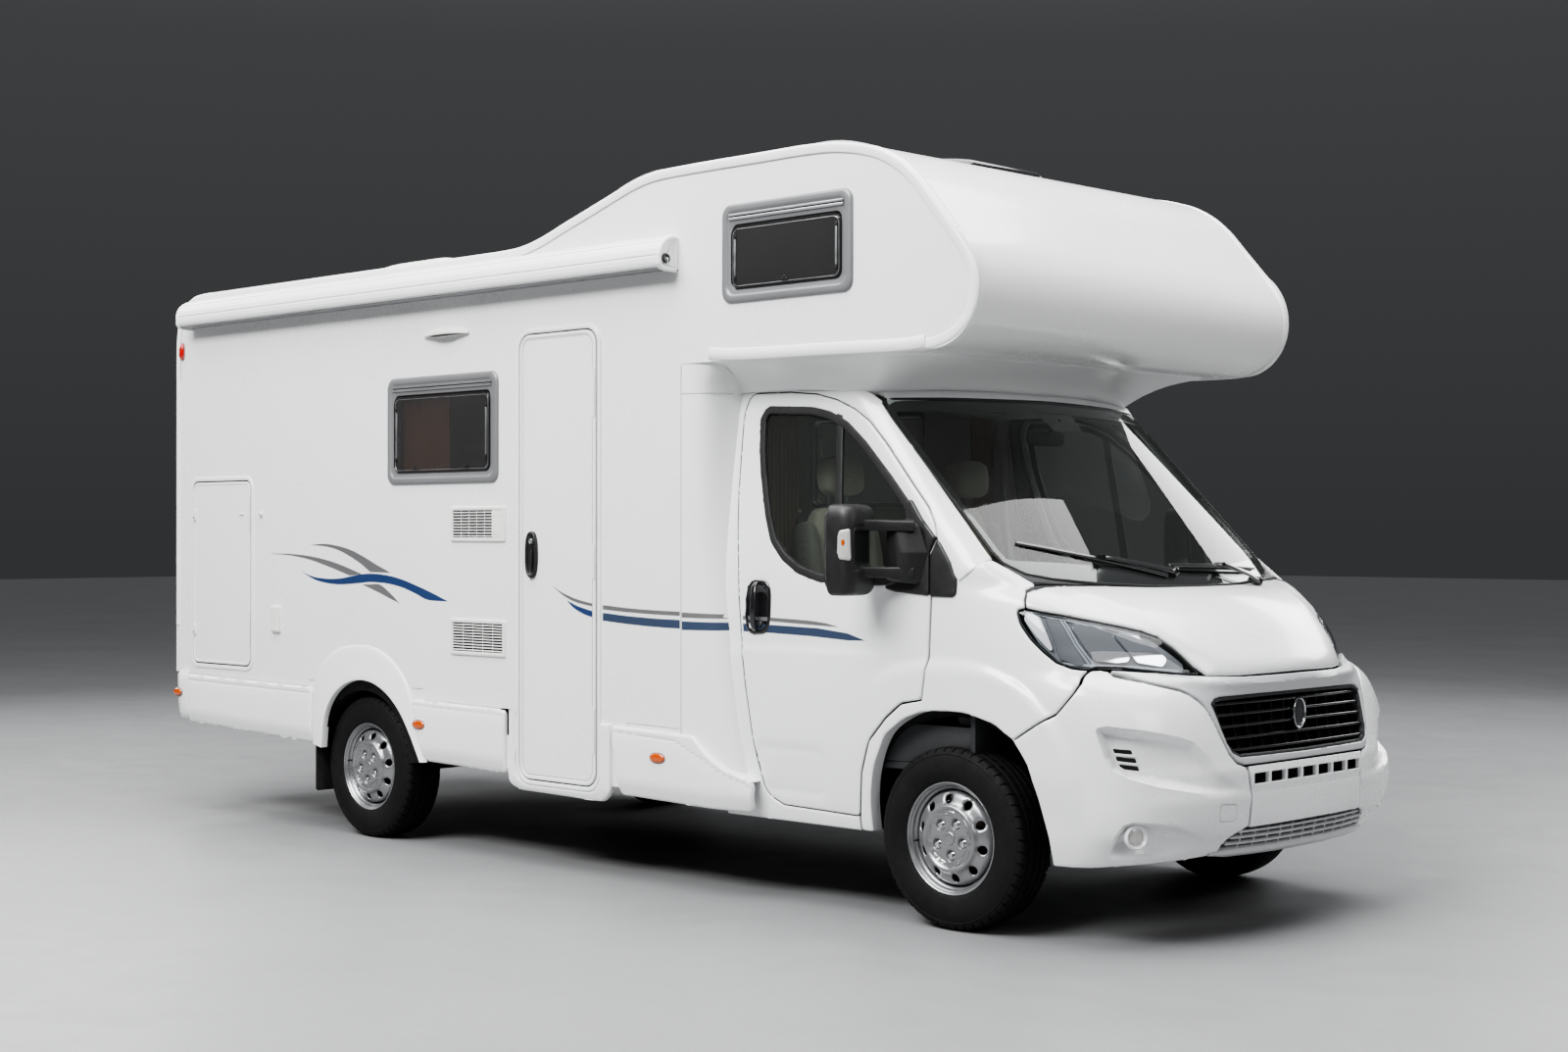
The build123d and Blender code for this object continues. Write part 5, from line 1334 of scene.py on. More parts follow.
# ------------------------------------------------------------------- awning
def awning():
    x0, x1 = -5.395, -1.430
    body_p = rounded(A((-1.105, 2.690), (-1.105, 2.822), (-1.130, 2.8275), (-1.156, 2.8215), (-1.176, 2.8095), (-1.195, 2.7925), (-1.2075, 2.7715), (-1.2125, 2.7505), (-1.2125, 2.7440), (-1.196, 2.7440), (-1.196, 2.690)),
                     [0.001, 0.006, 0.02, 0.03, 0.03, 0.02, 0.02, 0.004, 0.0015, 0.001, 0.001], 4)
    rail_p = rounded(A((-1.1965, 2.7415), (-1.2145, 2.7415), (-1.2165, 2.7310), (-1.2160, 2.7120), (-1.2110, 2.6975), (-1.2010, 2.6905), (-1.1965, 2.6905)),
                     [0.001, 0.003, 0.006, 0.01, 0.008, 0.004, 0.001], 4)
    under_p = rounded(A((-1.108, 2.6895), (-1.196, 2.6895), (-1.200, 2.6865), (-1.150, 2.6835), (-1.108, 2.6860)), [0.001, 0.001, 0.001, 0.01, 0.001], 3)
    xs = np.linspace(x0 + 0.014, x1 - 0.022, 3)
    for nm, pr, mt, sl in (("awning_housing", body_p, "abs", "body_white"), ("awning_lead_rail", rail_p, "abs", "body_white"), ("awning_underside", under_p, "alu", "dark_trim")):
        P = np.stack([np.stack([np.full(len(pr), x), pr[:, 0], pr[:, 1]], -1) for x in xs])
        make(nm, outward(grid_geo(P, closed_v=True, cap_u=True)), M[mt], slot=sl, smooth=35, replaces="awning_cassette")
    # ridges on the crown of the housing
    g = Geo()
    for yy, zz in ((-1.1335, 2.8277), (-1.1800, 2.8072)):
        g.join(tube(A((x0 + 0.02, yy, zz), (x1 - 0.03, yy, zz)), 0.0016, 8))
    make("awning_ridges", g, M["abs"], slot="body_white", smooth=80)
    # end caps: a dished plate with a bead, slightly larger than the housing
    cap_p = rounded(A((-1.103, 2.672), (-1.103, 2.826), (-1.132, 2.8325), (-1.158, 2.8265), (-1.181, 2.8135), (-1.201, 2.7945), (-1.2135, 2.7725), (-1.2195, 2.7460), (-1.2195, 2.7020), (-1.205, 2.6830), (-1.170, 2.676)),
                    [0.004, 0.008, 0.02, 0.03, 0.03, 0.02, 0.02, 0.02, 0.012, 0.012, 0.01], 5)
    cap_p = ccw(cap_p)
    for nm, xa, xb, sg in (("front", x1 - 0.0215, x1, 1), ("rear", x0, x0 + 0.0135, -1)):
        rows = []
        xin, xout = (xa, xb) if sg > 0 else (xb, xa)
        for d, f in ((0.0, 0.0), (0.0, 0.70), (0.0018, 0.90), (0.005, 1.0), (0.013, 1.0), (0.016, 0.80), (0.020, 0.72)):
            q = offset_loop(cap_p, -d)
            rows.append(np.stack([np.full(len(q), xin + (xout - xin) * f), q[:, 0], q[:, 1]], -1))
        P = np.stack(rows)
        g = grid_geo(P, closed_v=True)
        n = P.shape[1]
        g.add(P[0], [list(range(n))[::-1]])
        g.add(P[-1], [list(range(n))])
        outward(g)
        make("awning_end_cap_" + nm, g, M["abs"], slot="body_white", smooth=45)
    # crank eye on the front end cap
    cy, cz, cx = -1.176, 2.728, x1 - 0.006
    g = lathe(A((0.010, 0.0), (0.021, 0.0), (0.023, 0.004), (0.022, 0.010), (0.015, 0.013), (0.0115, 0.011), (0.010, 0.006)), (cx - 0.004, cy, cz), "x", 32)
    make("awning_gear_boss", outward(g), M["black"], slot="black_plastic", smooth=50)
    t = np.linspace(0, 2 * math.pi, 25)[:-1]
    ring = np.stack([cx + 0.010 + 0.006 * np.cos(t), cy + 0 * t, cz - 0.012 + 0.012 * np.sin(t)], -1)
    ring[:, 0] = np.minimum(ring[:, 0], x1 + 0.008)
    make("awning_crank_eye", outward(tube(ring, 0.0028, 8, closed=True)), M["alu_bright"], slot="silver_wheel", smooth=80)
    # wall gutter behind the cassette
    pr = A((0, 0), (0, 0.008), (0.004, 0.012), (0.012, 0.012), (0.016, 0.006), (0.016, 0.0))
    g = sweep(A((x0 + 0.03, -HALF_W, 2.838), (x1 - 0.03, -HALF_W, 2.838)), pr, normal=(0, -1, 0))
    make("awning_rain_strip", outward(g), M["abs"], slot="body_white", smooth=50)


awning()


# ---------------------------------------------------------- stripes and waves
def decal(name, pts, s, mat, slot, body="motorhome", y0=HALF_W, n=6, smooth_it=True):
    p = np.asarray(pts, float)
    L = ccw(p)
    g = panel([L], wall_surf(s, y0 + 0.0009), thick=0.0007, edge=0, grid=0.5)
    return make(name, g, mat, body, slot)


def blade(top, bot, n=8):
    """Closed outline from a smooth top line and a smooth bottom line, both left to right."""
    return np.vstack([spline(top, n), spline(bot, n)[::-1]])


WAVE = {
    "wave_grey_upper": (blade(A((-4.236, 1.485), (-4.116, 1.491), (-3.998, 1.482), (-3.881, 1.462), (-3.766, 1.428), (-3.653, 1.388), (-3.531, 1.349)),
                              A((-4.236, 1.484), (-4.116, 1.479), (-3.998, 1.462), (-3.898, 1.433), (-3.799, 1.396), (-3.708, 1.351))), "grey_decal"),
    "wave_grey_middle": (blade(A((-4.617, 1.438), (-4.427, 1.437), (-4.252, 1.427), (-4.115, 1.411), (-3.979, 1.387), (-3.863, 1.360), (-3.774, 1.337)),
                               A((-4.617, 1.437), (-4.427, 1.429), (-4.252, 1.409), (-4.132, 1.386), (-4.013, 1.360), (-3.889, 1.331))), "grey_decal"),
    "wave_grey_tail": (blade(A((-3.773, 1.286), (-3.700, 1.2885), (-3.627, 1.289), (-3.554, 1.257), (-3.506, 1.230), (-3.459, 1.198)),
                             A((-3.773, 1.285), (-3.682, 1.262), (-3.602, 1.240), (-3.522, 1.216), (-3.490, 1.208), (-3.459, 1.197))), "grey_decal"),
    "wave_blue": (blade(A((-4.318, 1.345), (-4.220, 1.321), (-4.084, 1.311), (-3.966, 1.315), (-3.849, 1.330), (-3.719, 1.342), (-3.590, 1.338), (-3.448, 1.319), (-3.308, 1.286), (-3.186, 1.254), (-3.066, 1.218)),
                        A((-4.318, 1.344), (-4.203, 1.306), (-4.100, 1.290), (-3.982, 1.284), (-3.849, 1.290), (-3.702, 1.300), (-3.558, 1.295), (-3.432, 1.277), (-3.323, 1.249), (-3.232, 1.222), (-3.066, 1.217))), "blue_decal"),
}
for s_ in (R_, L_):
    for k_, (L_pts, m_) in WAVE.items():
        decal(k_ + "_" + SIDE_NAME[s_], L_pts, s_, M[m_], "dark_trim")
# two stripes run forward from the entrance door
decal("door_stripe_grey", blade(A((-2.269, 1.304), (-2.203, 1.277), (-2.111, 1.251), (-1.9925, 1.231)), A((-2.269, 1.303), (-2.190, 1.262), (-2.111, 1.236), (-1.9925, 1.218))),
      R_, M["grey_decal"], "dark_trim", "living_door", HALF_W + 0.004)
decal("door_stripe_blue", blade(A((-2.168, 1.241), (-2.097, 1.218), (-1.9925, 1.197)), A((-2.168, 1.240), (-2.124, 1.210), (-2.058, 1.184), (-1.9925, 1.169))),
      R_, M["blue_decal"], "dark_trim", "living_door", HALF_W + 0.004)
STRIPE_G = (A((-1.926, 1.226), (-1.758, 1.216), (-1.586, 1.211), (-1.421, 1.209)), A((-1.926, 1.206), (-1.758, 1.198), (-1.586, 1.193), (-1.421, 1.191)))
STRIPE_B = (A((-1.926, 1.191), (-1.758, 1.181), (-1.586, 1.175), (-1.421, 1.173)), A((-1.926, 1.156), (-1.758, 1.146), (-1.586, 1.139), (-1.421, 1.136)))
for s_ in (R_, L_):
    decal("wall_stripe_grey_" + SIDE_NAME[s_], blade(*STRIPE_G), s_, M["grey_decal"], "dark_trim")
    decal("wall_stripe_blue_" + SIDE_NAME[s_], blade(*STRIPE_B), s_, M["slate_decal"], "dark_trim")
decal("wall_tip_grey_left", blade(A((-2.269, 1.304), (-2.203, 1.277), (-2.111, 1.251), (-1.926, 1.226)), A((-2.269, 1.303), (-2.190, 1.262), (-2.111, 1.236), (-1.926, 1.206))), L_, M["grey_decal"], "dark_trim")
decal("wall_tip_blue_left", blade(A((-2.168, 1.241), (-2.097, 1.218), (-1.926, 1.191)), A((-2.168, 1.240), (-2.124, 1.210), (-2.058, 1.184), (-1.926, 1.156))), L_, M["slate_decal"], "dark_trim")


# ------------------------------------------------------------ cab: surfaces
# Two maps share the sides: SIDE(x, z) is the flat of the doors and pillars,
# WRAP(a, z) runs from the wing round the corner to the middle of the nose.
def pchip(xk, yk, x):
    """Monotone cubic through (xk, yk); yk may be (n, m). Returns (len(x), m)."""
    xk = np.asarray(xk, float)
    yk = np.asarray(yk, float)
    one = yk.ndim == 1
    if one:
        yk = yk[:, None]
    h = np.diff(xk)[:, None]
    d = np.diff(yk, axis=0) / h
    m = np.zeros_like(yk)
    w1, w2 = 2 * h[1:] + h[:-1], h[1:] + 2 * h[:-1]
    same = d[:-1] * d[1:] > 0
    with np.errstate(divide="ignore", invalid="ignore"):
        mm = (w1 + w2) / (w1 / d[:-1] + w2 / d[1:])
    m[1:-1] = np.where(same, mm, 0)
    m[0], m[-1] = d[0], d[-1]
    x = np.asarray(x, float)
    i = np.clip(np.searchsorted(xk, x) - 1, 0, len(xk) - 2)
    t = ((x - xk[i]) / h[i, 0])[:, None]
    hh = h[i]
    y = ((2 * t**3 - 3 * t**2 + 1) * yk[i] + (t**3 - 2 * t**2 + t) * hh * m[i]
         + (-2 * t**3 + 3 * t**2) * yk[i + 1] + (t**3 - t**2) * hh * m[i + 1])
    # straight on past the ends
    lo, hi = x < xk[0], x > xk[-1]
    y[lo] = yk[0] + m[0] * (x[lo] - xk[0])[:, None]
    y[hi] = yk[-1] + m[-1] * (x[hi] - xk[-1])[:, None]
    return y[:, 0] if one else y


SIDE_Z = A(0.30, 0.36, 0.45, 0.55, 0.66, 0.80, 0.95, 1.10, 1.20, 1.30, 1.353, 1.449, 1.60, 1.80, 2.00, 2.10, 2.16, 2.20)
SIDE_Y = A(0.976, 0.990, 1.003, 1.012, 1.018, 1.022, 1.024, 1.023, 1.020, 1.015, 1.011, 1.002, 0.985, 0.958, 0.929, 0.912, 0.897, 0.875)
EDGE_Z = A(1.30, 1.353, 1.449, 1.60, 1.80, 2.00, 2.09, 2.20)       # outer edge of the screen
EDGE_Y = A(0.948, 0.932, 0.946, 0.934, 0.917, 0.897, 0.888, 0.86)


def screen_x(y, z):
    return 0.49 - 1.0128 * (z - 1.335) - 0.184 * (np.abs(y) / 0.872) ** 2.3


def edge_x(z):
    return screen_x(pchip(EDGE_Z, EDGE_Y, z), np.asarray(z, float))


def side_y(x, z):
    x, z = np.asarray(x, float), np.asarray(z, float)
    y = pchip(SIDE_Z, SIDE_Y, z)
    # the pillar turns in towards the screen edge
    zz = np.clip(z, 1.40, 2.2)
    xe = edge_x(zz)
    ye = pchip(EDGE_Z, EDGE_Y, zz)
    y0 = pchip(SIDE_Z, SIDE_Y, zz)
    L = 0.17
    t = np.clip((x - (xe - L)) / L, 0, 1.4)
    k = smoothstep(1.30, 1.46, z)
    return y - (y0 - ye) * t**2.4 * k


def SIDE(side):
    def f(p):
        e = 1e-4
        x, z = p[:, 0], p[:, 1]
        y = side_y(x, z)
        yx = (side_y(x + e, z) - side_y(x - e, z)) / (2 * e)
        yz = (side_y(x, z + e) - side_y(x, z - e)) / (2 * e)
        n = np.stack([-yx, np.ones_like(y), -yz], -1)
        n /= np.linalg.norm(n, axis=1, keepdims=True)
        P = np.stack([x, side * y, z], -1)
        n[:, 1] *= side
        return P, n
    return f


# Rows of the wrap: for each height the points (x, y) from the wing to the middle.
WRAP_Z = A(0.30, 0.36, 0.42, 0.52, 0.645, 0.70, 0.80, 0.93, 0.985, 1.014, 1.10, 1.20, 1.30, 1.353, 1.404, 1.449, 1.52)
_F = {  # z: ten (x, y) from the corner line to the middle
    0.30: ((.500, .974), (.605, .958), (.695, .920), (.765, .840), (.825, .720), (.868, .600), (.905, .450), (.938, .250), (.948, 0)),
    0.36: ((.520, .988), (.640, .970), (.728, .925), (.800, .840), (.864, .720), (.908, .600), (.943, .450), (.968, .250), (.976, 0)),
    0.42: ((.530, .999), (.655, .980), (.765, .930), (.842, .840), (.902, .720), (.940, .600), (.965, .450), (.983, .250), (.988, 0)),
    0.52: ((.530, 1.006), (.668, .985), (.785, .930), (.865, .840), (.928, .720), (.962, .600), (.980, .450), (.988, .250), (.990, 0)),
    0.645: ((.520, 1.012), (.662, .986), (.777, .930), (.861, .840), (.926, .720), (.962, .600), (.982, .450), (.990, .250), (.992, 0)),
    0.70: ((.515, 1.013), (.655, .986), (.768, .930), (.850, .840), (.913, .720), (.948, .600), (.968, .450), (.976, .250), (.978, 0)),
    0.80: ((.495, 1.014), (.640, .986), (.750, .930), (.832, .840), (.890, .720), (.922, .600), (.938, .450), (.946, .250), (.948, 0)),
    0.93: ((.440, 1.014), (.575, .988), (.690, .930), (.775, .840), (.835, .720), (.872, .600), (.906, .450), (.938, .250), (.950, 0)),
    0.985: ((.400, 1.012), (.530, .984), (.635, .928), (.715, .840), (.780, .720), (.828, .600), (.882, .450), (.930, .250), (.948, 0)),
    1.014: ((.372, 1.010), (.495, .978), (.585, .922), (.655, .838), (.722, .720), (.782, .600), (.862, .450), (.922, .250), (.944, 0)),
    1.10: ((.335, 1.003), (.455, .968), (.535, .912), (.605, .832), (.680, .715), (.745, .595), (.808, .445), (.857, .248), (.874, 0)),
    1.20: ((.305, .990), (.410, .955), (.485, .898), (.550, .820), (.614, .705), (.660, .585), (.707, .438), (.748, .244), (.762, 0)),
    1.30: ((.288, .966), (.352, .935), (.402, .885), (.436, .812), (.470, .698), (.500, .578), (.532, .432), (.562, .240), (.575, 0)),
    1.353: ((.262, .940), (.298, .915), (.324, .868), (.346, .795), (.368, .690), (.388, .572), (.408, .426), (.426, .236), (.434, 0)),
    1.404: ((.206, .943), (.234, .912), (.252, .868), (.272, .795), (.292, .690), (.312, .572), (.332, .426), (.350, .236), (.358, 0)),
    1.449: ((.153, .946), (.170, .918), (.184, .868), (.202, .795), (.222, .690), (.242, .572), (.262, .426), (.280, .236), (.288, 0)),
}
_SX = A(-0.62, -0.46, -0.30, -0.16, -0.04)     # side stations of the wrap


def _wrap_table():
    T = np.full((len(WRAP_Z), 14, 2), np.nan)
    for i, z in enumerate(WRAP_Z):
        T[i, :5, 0] = _SX
        T[i, :5, 1] = side_y(_SX, np.full(5, z))
        row = _F.get(round(float(z), 3))
        if row:
            T[i, 5:14] = row
        else:
            T[i, 5] = (float(edge_x(A(z))[0]), float(pchip(EDGE_Z, EDGE_Y, A(z))[0]))
            # rows above the cowl have no nose: carry the last row on, shrinking
            for k in range(6, 14):
                T[i, k] = T[i - 1, k] + (T[i, 5] - T[i - 1, 5])
    return T


_T = _wrap_table()
_mid = _T[4]
WRAP_A = np.r_[_SX, 0, np.zeros(8)]
WRAP_A[5] = _mid[5, 0]
for _k in range(6, 14):
    WRAP_A[_k] = WRAP_A[_k - 1] + np.linalg.norm(_mid[_k] - _mid[_k - 1])
A_MID = float(WRAP_A[-1])      # wrap coordinate of the middle of the nose


def _spline_op(t):
    """Matrix from values at knots t to natural-spline second derivatives."""
    n = len(t)
    h = np.diff(t)
    Q, R = np.zeros((n, n)), np.zeros((n, n))
    Q[0, 0] = Q[-1, -1] = 1
    for i in range(1, n - 1):
        Q[i, i - 1], Q[i, i], Q[i, i + 1] = h[i - 1] / 6, (h[i - 1] + h[i]) / 3, h[i] / 6
        R[i, i - 1], R[i, i], R[i, i + 1] = 1 / h[i - 1], -1 / h[i - 1] - 1 / h[i], 1 / h[i]
    return np.linalg.solve(Q, R)


# ghost stations past the middle keep the nose smooth there
_TA = np.r_[WRAP_A, 2 * A_MID - WRAP_A[-2:-6:-1]]
_OP = _spline_op(_TA)


def wrap_xy(a, z):
    a, z = np.asarray(a, float), np.asarray(z, float)
    far = a > A_MID                                   # the other half is its mirror
    a = np.where(far, 2 * A_MID - a, a)
    K = len(WRAP_A)
    V = pchip(WRAP_Z, _T.reshape(len(WRAP_Z), -1), z).reshape(-1, K, 2)
    G = V[:, -2:-6:-1].copy()
    G[:, :, 1] *= -1
    V = np.concatenate([V, G], 1)
    S = np.einsum("ij,njk->nik", _OP, V)
    i = np.clip(np.searchsorted(_TA, a) - 1, 0, len(_TA) - 2)
    h = (_TA[i + 1] - _TA[i])[:, None]
    u = ((a - _TA[i]) / h[:, 0])[:, None]
    r = np.arange(len(a))
    y0, y1, s0, s1 = V[r, i], V[r, i + 1], S[r, i], S[r, i + 1]
    r = (1 - u) * y0 + u * y1 + ((1 - u) ** 3 - (1 - u)) * h**2 / 6 * s0 + (u**3 - u) * h**2 / 6 * s1
    r[far, 1] *= -1
    return r


def wrap_pos(a, z):
    xy = wrap_xy(a, z)
    return np.stack([xy[:, 0], xy[:, 1], z], -1)


def WRAP(side):
    """a past A_MID runs on to the other side."""
    def f(p):
        e = 5e-4
        a, z = p[:, 0], p[:, 1]
        P = wrap_pos(a, z)
        da = wrap_pos(a + e, z) - wrap_pos(a - e, z)
        dz = wrap_pos(a, z + e) - wrap_pos(a, z - e)
        n = np.cross(dz, da)
        n /= np.maximum(np.linalg.norm(n, axis=1, keepdims=True), 1e-12)
        # outward: away from the middle of the cab
        c = P - np.array([0.0, 0.0, 0.7])
        n[(n * c).sum(1) < 0] *= -1
        P = P * (1, side, 1)
        n = n * (1, side, 1)
        return P, n
    return f


def SCREEN():
    def f(p):
        y, z = p[:, 0], p[:, 1]
        e = 1e-4
        P = np.stack([screen_x(y, z), y, z], -1)
        xy = (screen_x(y + e, z) - screen_x(y - e, z)) / (2 * e)
        n = np.stack([np.ones(len(y)), -xy, np.full(len(y), 1.0128)], -1)
        return P, n / np.linalg.norm(n, axis=1, keepdims=True)
    return f


# ------------------------------------------------------------- cab: outside
WR, SR, SC = WRAP(-1), SIDE(-1), SCREEN()


def both(pts):
    """Right half of a loop (wing to middle) closed with its mirror image."""
    p = np.asarray(pts, float)
    q = p[::-1].copy()
    q[:, 0] = 2 * A_MID - q[:, 0]
    if abs(p[-1, 0] - A_MID) < 1e-6:
        q = q[1:]
    if abs(p[0, 0] - A_MID) < 1e-6:
        q = q[:-1]
    return np.vstack([p, q])


def inset(loop, d):
    return offset_loop(ccw(resample(loop, 0.012, True)), -d)


def hlines(a0, a1, step, zs):
    a = np.arange(a0, a1, step)
    return np.vstack([np.stack([a, np.full(len(a), z)], -1) for z in zs])


def pair(name, geo, mats, bodies=("motorhome", "motorhome"), replaces=(), **kw):
    """Right piece and its mirror image."""
    r = [replaces] if isinstance(replaces, str) else list(replaces)
    rr = [n.replace("#", "right") for n in r]
    rl = [n.replace("#", "left") for n in r]
    make("right_" + name, geo, mats, bodies[0], replaces=rr, **kw)
    make("left_" + name, geo.mirrored(), mats, bodies[1], replaces=rl, **kw)


DOORS = ("right_door", "left_door")

CREASE = A((-0.434, 0.931), (-0.360, 0.985), (-0.291, 1.025), (-0.190, 1.050), (-0.087, 1.062), (0.141, 1.066),
           (0.300, 1.050), (0.392, 1.030), (0.466, 0.998), (0.506, 0.959), (0.541, 0.900), (0.562, 0.859),
           (0.588, 0.786), (0.617, 0.703), (0.640, 0.611), (0.652, 0.50), (0.660, 0.40))
CREASE = spline(CREASE, 5)
_FL = np.vstack([CREASE, A((0.66, 0.2), (-0.60, 0.2), (-0.60, 0.80))])
REC = A((0.706, 0.829), (0.759, 0.838), (0.889, 0.824), (1.032, 0.796), (1.097, 0.774), (1.150, 0.715),
        (1.200, 0.650), (1.290, 0.612), (1.350, 0.590), (1.338, 0.568), (1.203, 0.572), (1.064, 0.590), (0.916, 0.616),
        (0.804, 0.648), (0.751, 0.676), (0.728, 0.718), (0.712, 0.782))
REC = rounded(REC, 0.02, 3)
FOG = A((0.775, 0.352), (0.758, 0.427), (0.782, 0.478), (0.818, 0.490), (0.918, 0.482), (1.006, 0.468), (1.078, 0.452),
        (1.135, 0.429), (1.160, 0.385), (1.097, 0.345), (0.966, 0.340), (0.853, 0.345))
FOG = rounded(FOG, 0.02, 3)


def depth_in(p, loop, w):
    """0 outside a loop, rising to 1 over w inside it."""
    k = inside(p, [loop])
    out = np.zeros(len(p))
    if k.any():
        out[k] = smoothstep(0, w, seg_dist(p[k], [loop]))
    return out


def body_h(p):
    """Relief of the pressed cab sides: arch flare and waist crease."""
    a, z = p[:, 0], p[:, 1]
    h = np.zeros(len(p))
    k = (a > -0.62) & (a < 0.80) & (z < 1.12)
    if k.any():
        q = p[k]
        f = np.zeros(len(q))
        ins = inside(q, [_FL])
        d = seg_dist(q, [CREASE], closed=False)
        f[ins] = smoothstep(-0.006, 0.055, d[ins])
        f *= smoothstep(-0.47, -0.24, q[:, 0])
        f *= np.where(q[:, 0] > 0.4, smoothstep(0.42, 0.66, q[:, 1]), 1.0)
        h[k] += 0.017 * f
    w = smoothstep(1.086, 1.052, z) * smoothstep(-0.26, -0.46, a) * smoothstep(0.42, 0.75, z)
    return h + 0.006 * w


def bumper_h(p):
    a, z = p[:, 0], p[:, 1]
    h = body_h(p)
    h -= 0.062 * depth_in(p, REC, 0.026) * (1 - smoothstep(0.80, 1.34, a)) ** 0.8
    h -= 0.042 * depth_in(p, FOG, 0.032) * (1 - smoothstep(0.86, 1.17, a)) ** 0.8
    # shoulder line below the pocket
    h += 0.006 * np.exp(-((z - 0.552) / 0.028) ** 2) * smoothstep(0.78, 1.0, a)
    # chin tucks in below a soft edge
    h -= 0.016 * smoothstep(0.448, 0.372, z) * smoothstep(0.60, 0.85, a)
    return h


# ---- outlines (a or x, z)
DOOR = A((-1.213, 2.060), (-1.213, 1.999), (-1.200, 1.715), (-1.184, 1.550), (-1.168, 1.434), (-1.148, 1.249),
         (-1.126, 1.082), (-1.099, 0.898), (-1.055, 0.655), (-0.997, 0.452), (-0.902, 0.412), (-0.474, 0.402),
         (-0.449, 0.584), (-0.400, 0.718), (-0.302, 0.816), (-0.215, 0.879), (-0.113, 0.894),
         (-0.088, 1.068), (-0.083, 1.307), (-0.092, 1.455), (-0.070, 1.530), (-0.088, 1.585), (-0.130, 1.651),
         (-0.233, 1.756), (-0.379, 1.909), (-0.485, 2.006), (-0.573, 2.059), (-0.678, 2.101), (-0.797, 2.130),
         (-0.954, 2.146), (-1.19, 2.150))
DOOR_L = rounded(DOOR, [0.0, 0.1, 0.3, 0.3, 0.3, 0.3, 0.3, 0.3, 0.2, 0.09, 0.05, 0.02, 0.10, 0.12, 0.08, 0.05, 0.03,
                        0.08, 0.08, 0.03, 0.02, 0.03, 0.08, 0.2, 0.2, 0.15, 0.15, 0.15, 0.15, 0.15, 0.05], 4)
WIN = A((-1.093, 1.901), (-1.107, 2.040), (-1.075, 2.086), (-0.810, 2.072), (-0.707, 2.050), (-0.602, 2.003),
        (-0.493, 1.921), (-0.333, 1.775), (-0.212, 1.655), (-0.200, 1.500), (-0.200, 1.350), (-0.380, 1.343),
        (-0.684, 1.350), (-0.811, 1.384), (-0.905, 1.438), (-0.977, 1.511), (-1.022, 1.622), (-1.074, 1.807))
WIN_L = rounded(WIN, [0.15, 0.05, 0.05, 0.2, 0.15, 0.15, 0.15, 0.2, 0.03, 0.05, 0.02, 0.1, 0.15, 0.12, 0.12, 0.12, 0.15, 0.2], 4)
SCREEN_L = A((0.0, 1.332), (-0.300, 1.337), (-0.583, 1.352), (-0.760, 1.370), (-0.853, 1.390), (-0.905, 1.432),
             (-0.912, 1.480), (-0.908, 1.560), (-0.906, 1.633), (-0.903, 1.773), (-0.897, 1.907), (-0.890, 2.017),
             (-0.882, 2.075), (-0.855, 2.095), (-0.598, 2.104), (0.0, 2.112))
SCREEN_L = np.vstack([SCREEN_L, (SCREEN_L[1:-1] * (-1, 1))[::-1]])
LAMP = A((0.549, 1.248), (0.562, 1.206), (0.599, 1.150), (0.644, 1.103), (0.692, 1.066), (0.756, 1.046),
         (0.833, 1.038), (0.878, 1.046), (0.977, 1.042), (1.093, 1.028), (1.187, 1.017), (1.268, 1.012),
         (1.255, 1.036), (1.228, 1.075), (1.205, 1.108), (1.167, 1.147), (1.118, 1.170), (1.044, 1.189),
         (0.941, 1.211), (0.811, 1.233), (0.663, 1.251), (0.600, 1.258))
LAMP_L = rounded(LAMP, [0.012, 0.03, 0.05, 0.05, 0.04, 0.04, 0.02, 0.02, 0.05, 0.05, 0.05, 0.006,
                        0.02, 0.03, 0.03, 0.04, 0.04, 0.06, 0.08, 0.08, 0.08, 0.02], 4)
BONNET = A((0.606, 1.264), (0.663, 1.257), (0.811, 1.241), (0.941, 1.219), (1.044, 1.197), (1.118, 1.178),
           (1.167, 1.156), (1.205, 1.116), (1.228, 1.080), (1.255, 1.041), (1.290, 1.010), (1.441, 1.006),
           (1.600, 1.0075), (A_MID, 1.009))
BONNET_REAR = A((A_MID, 1.3475), (1.50, 1.3485), (1.20, 1.3495), (1.00, 1.3500), (0.850, 1.3480), (0.770, 1.3400),
                (0.652, 1.327), (0.612, 1.290))
BONNET_L = both(np.vstack([BONNET_REAR[::-1][:0], BONNET]))
_half = np.vstack([BONNET_REAR, BONNET])           # rear middle, round the side, front middle
_mirb = _half[::-1].copy()
_mirb[:, 0] = 2 * A_MID - _mirb[:, 0]
BONNET_L = np.vstack([_half, _mirb[1:-1]])
SILVER_LOW = A((0.839, 1.034), (0.921, 1.020), (1.000, 0.997), (1.066, 0.978), (1.119, 0.964), (1.151, 0.947),
               (1.179, 0.923), (1.199, 0.901), (1.220, 0.855), (1.248, 0.778), (1.271, 0.721), (1.300, 0.688),
               (1.345, 0.674))
GRILLE_L = both(A((1.231, 0.905), (1.262, 0.760), (1.285, 0.722), (1.325, 0.704), (A_MID, 0.700)))
_g = A((1.233, 0.908), (1.258, 0.924), (1.293, 0.931), (1.500, 0.936), (A_MID, 0.938))
GRILLE_L = np.vstack([GRILLE_L, both(_g)[::-1]])
GRILLE_L = rounded(resample(GRILLE_L, 0.02, True), 0.008, 2)


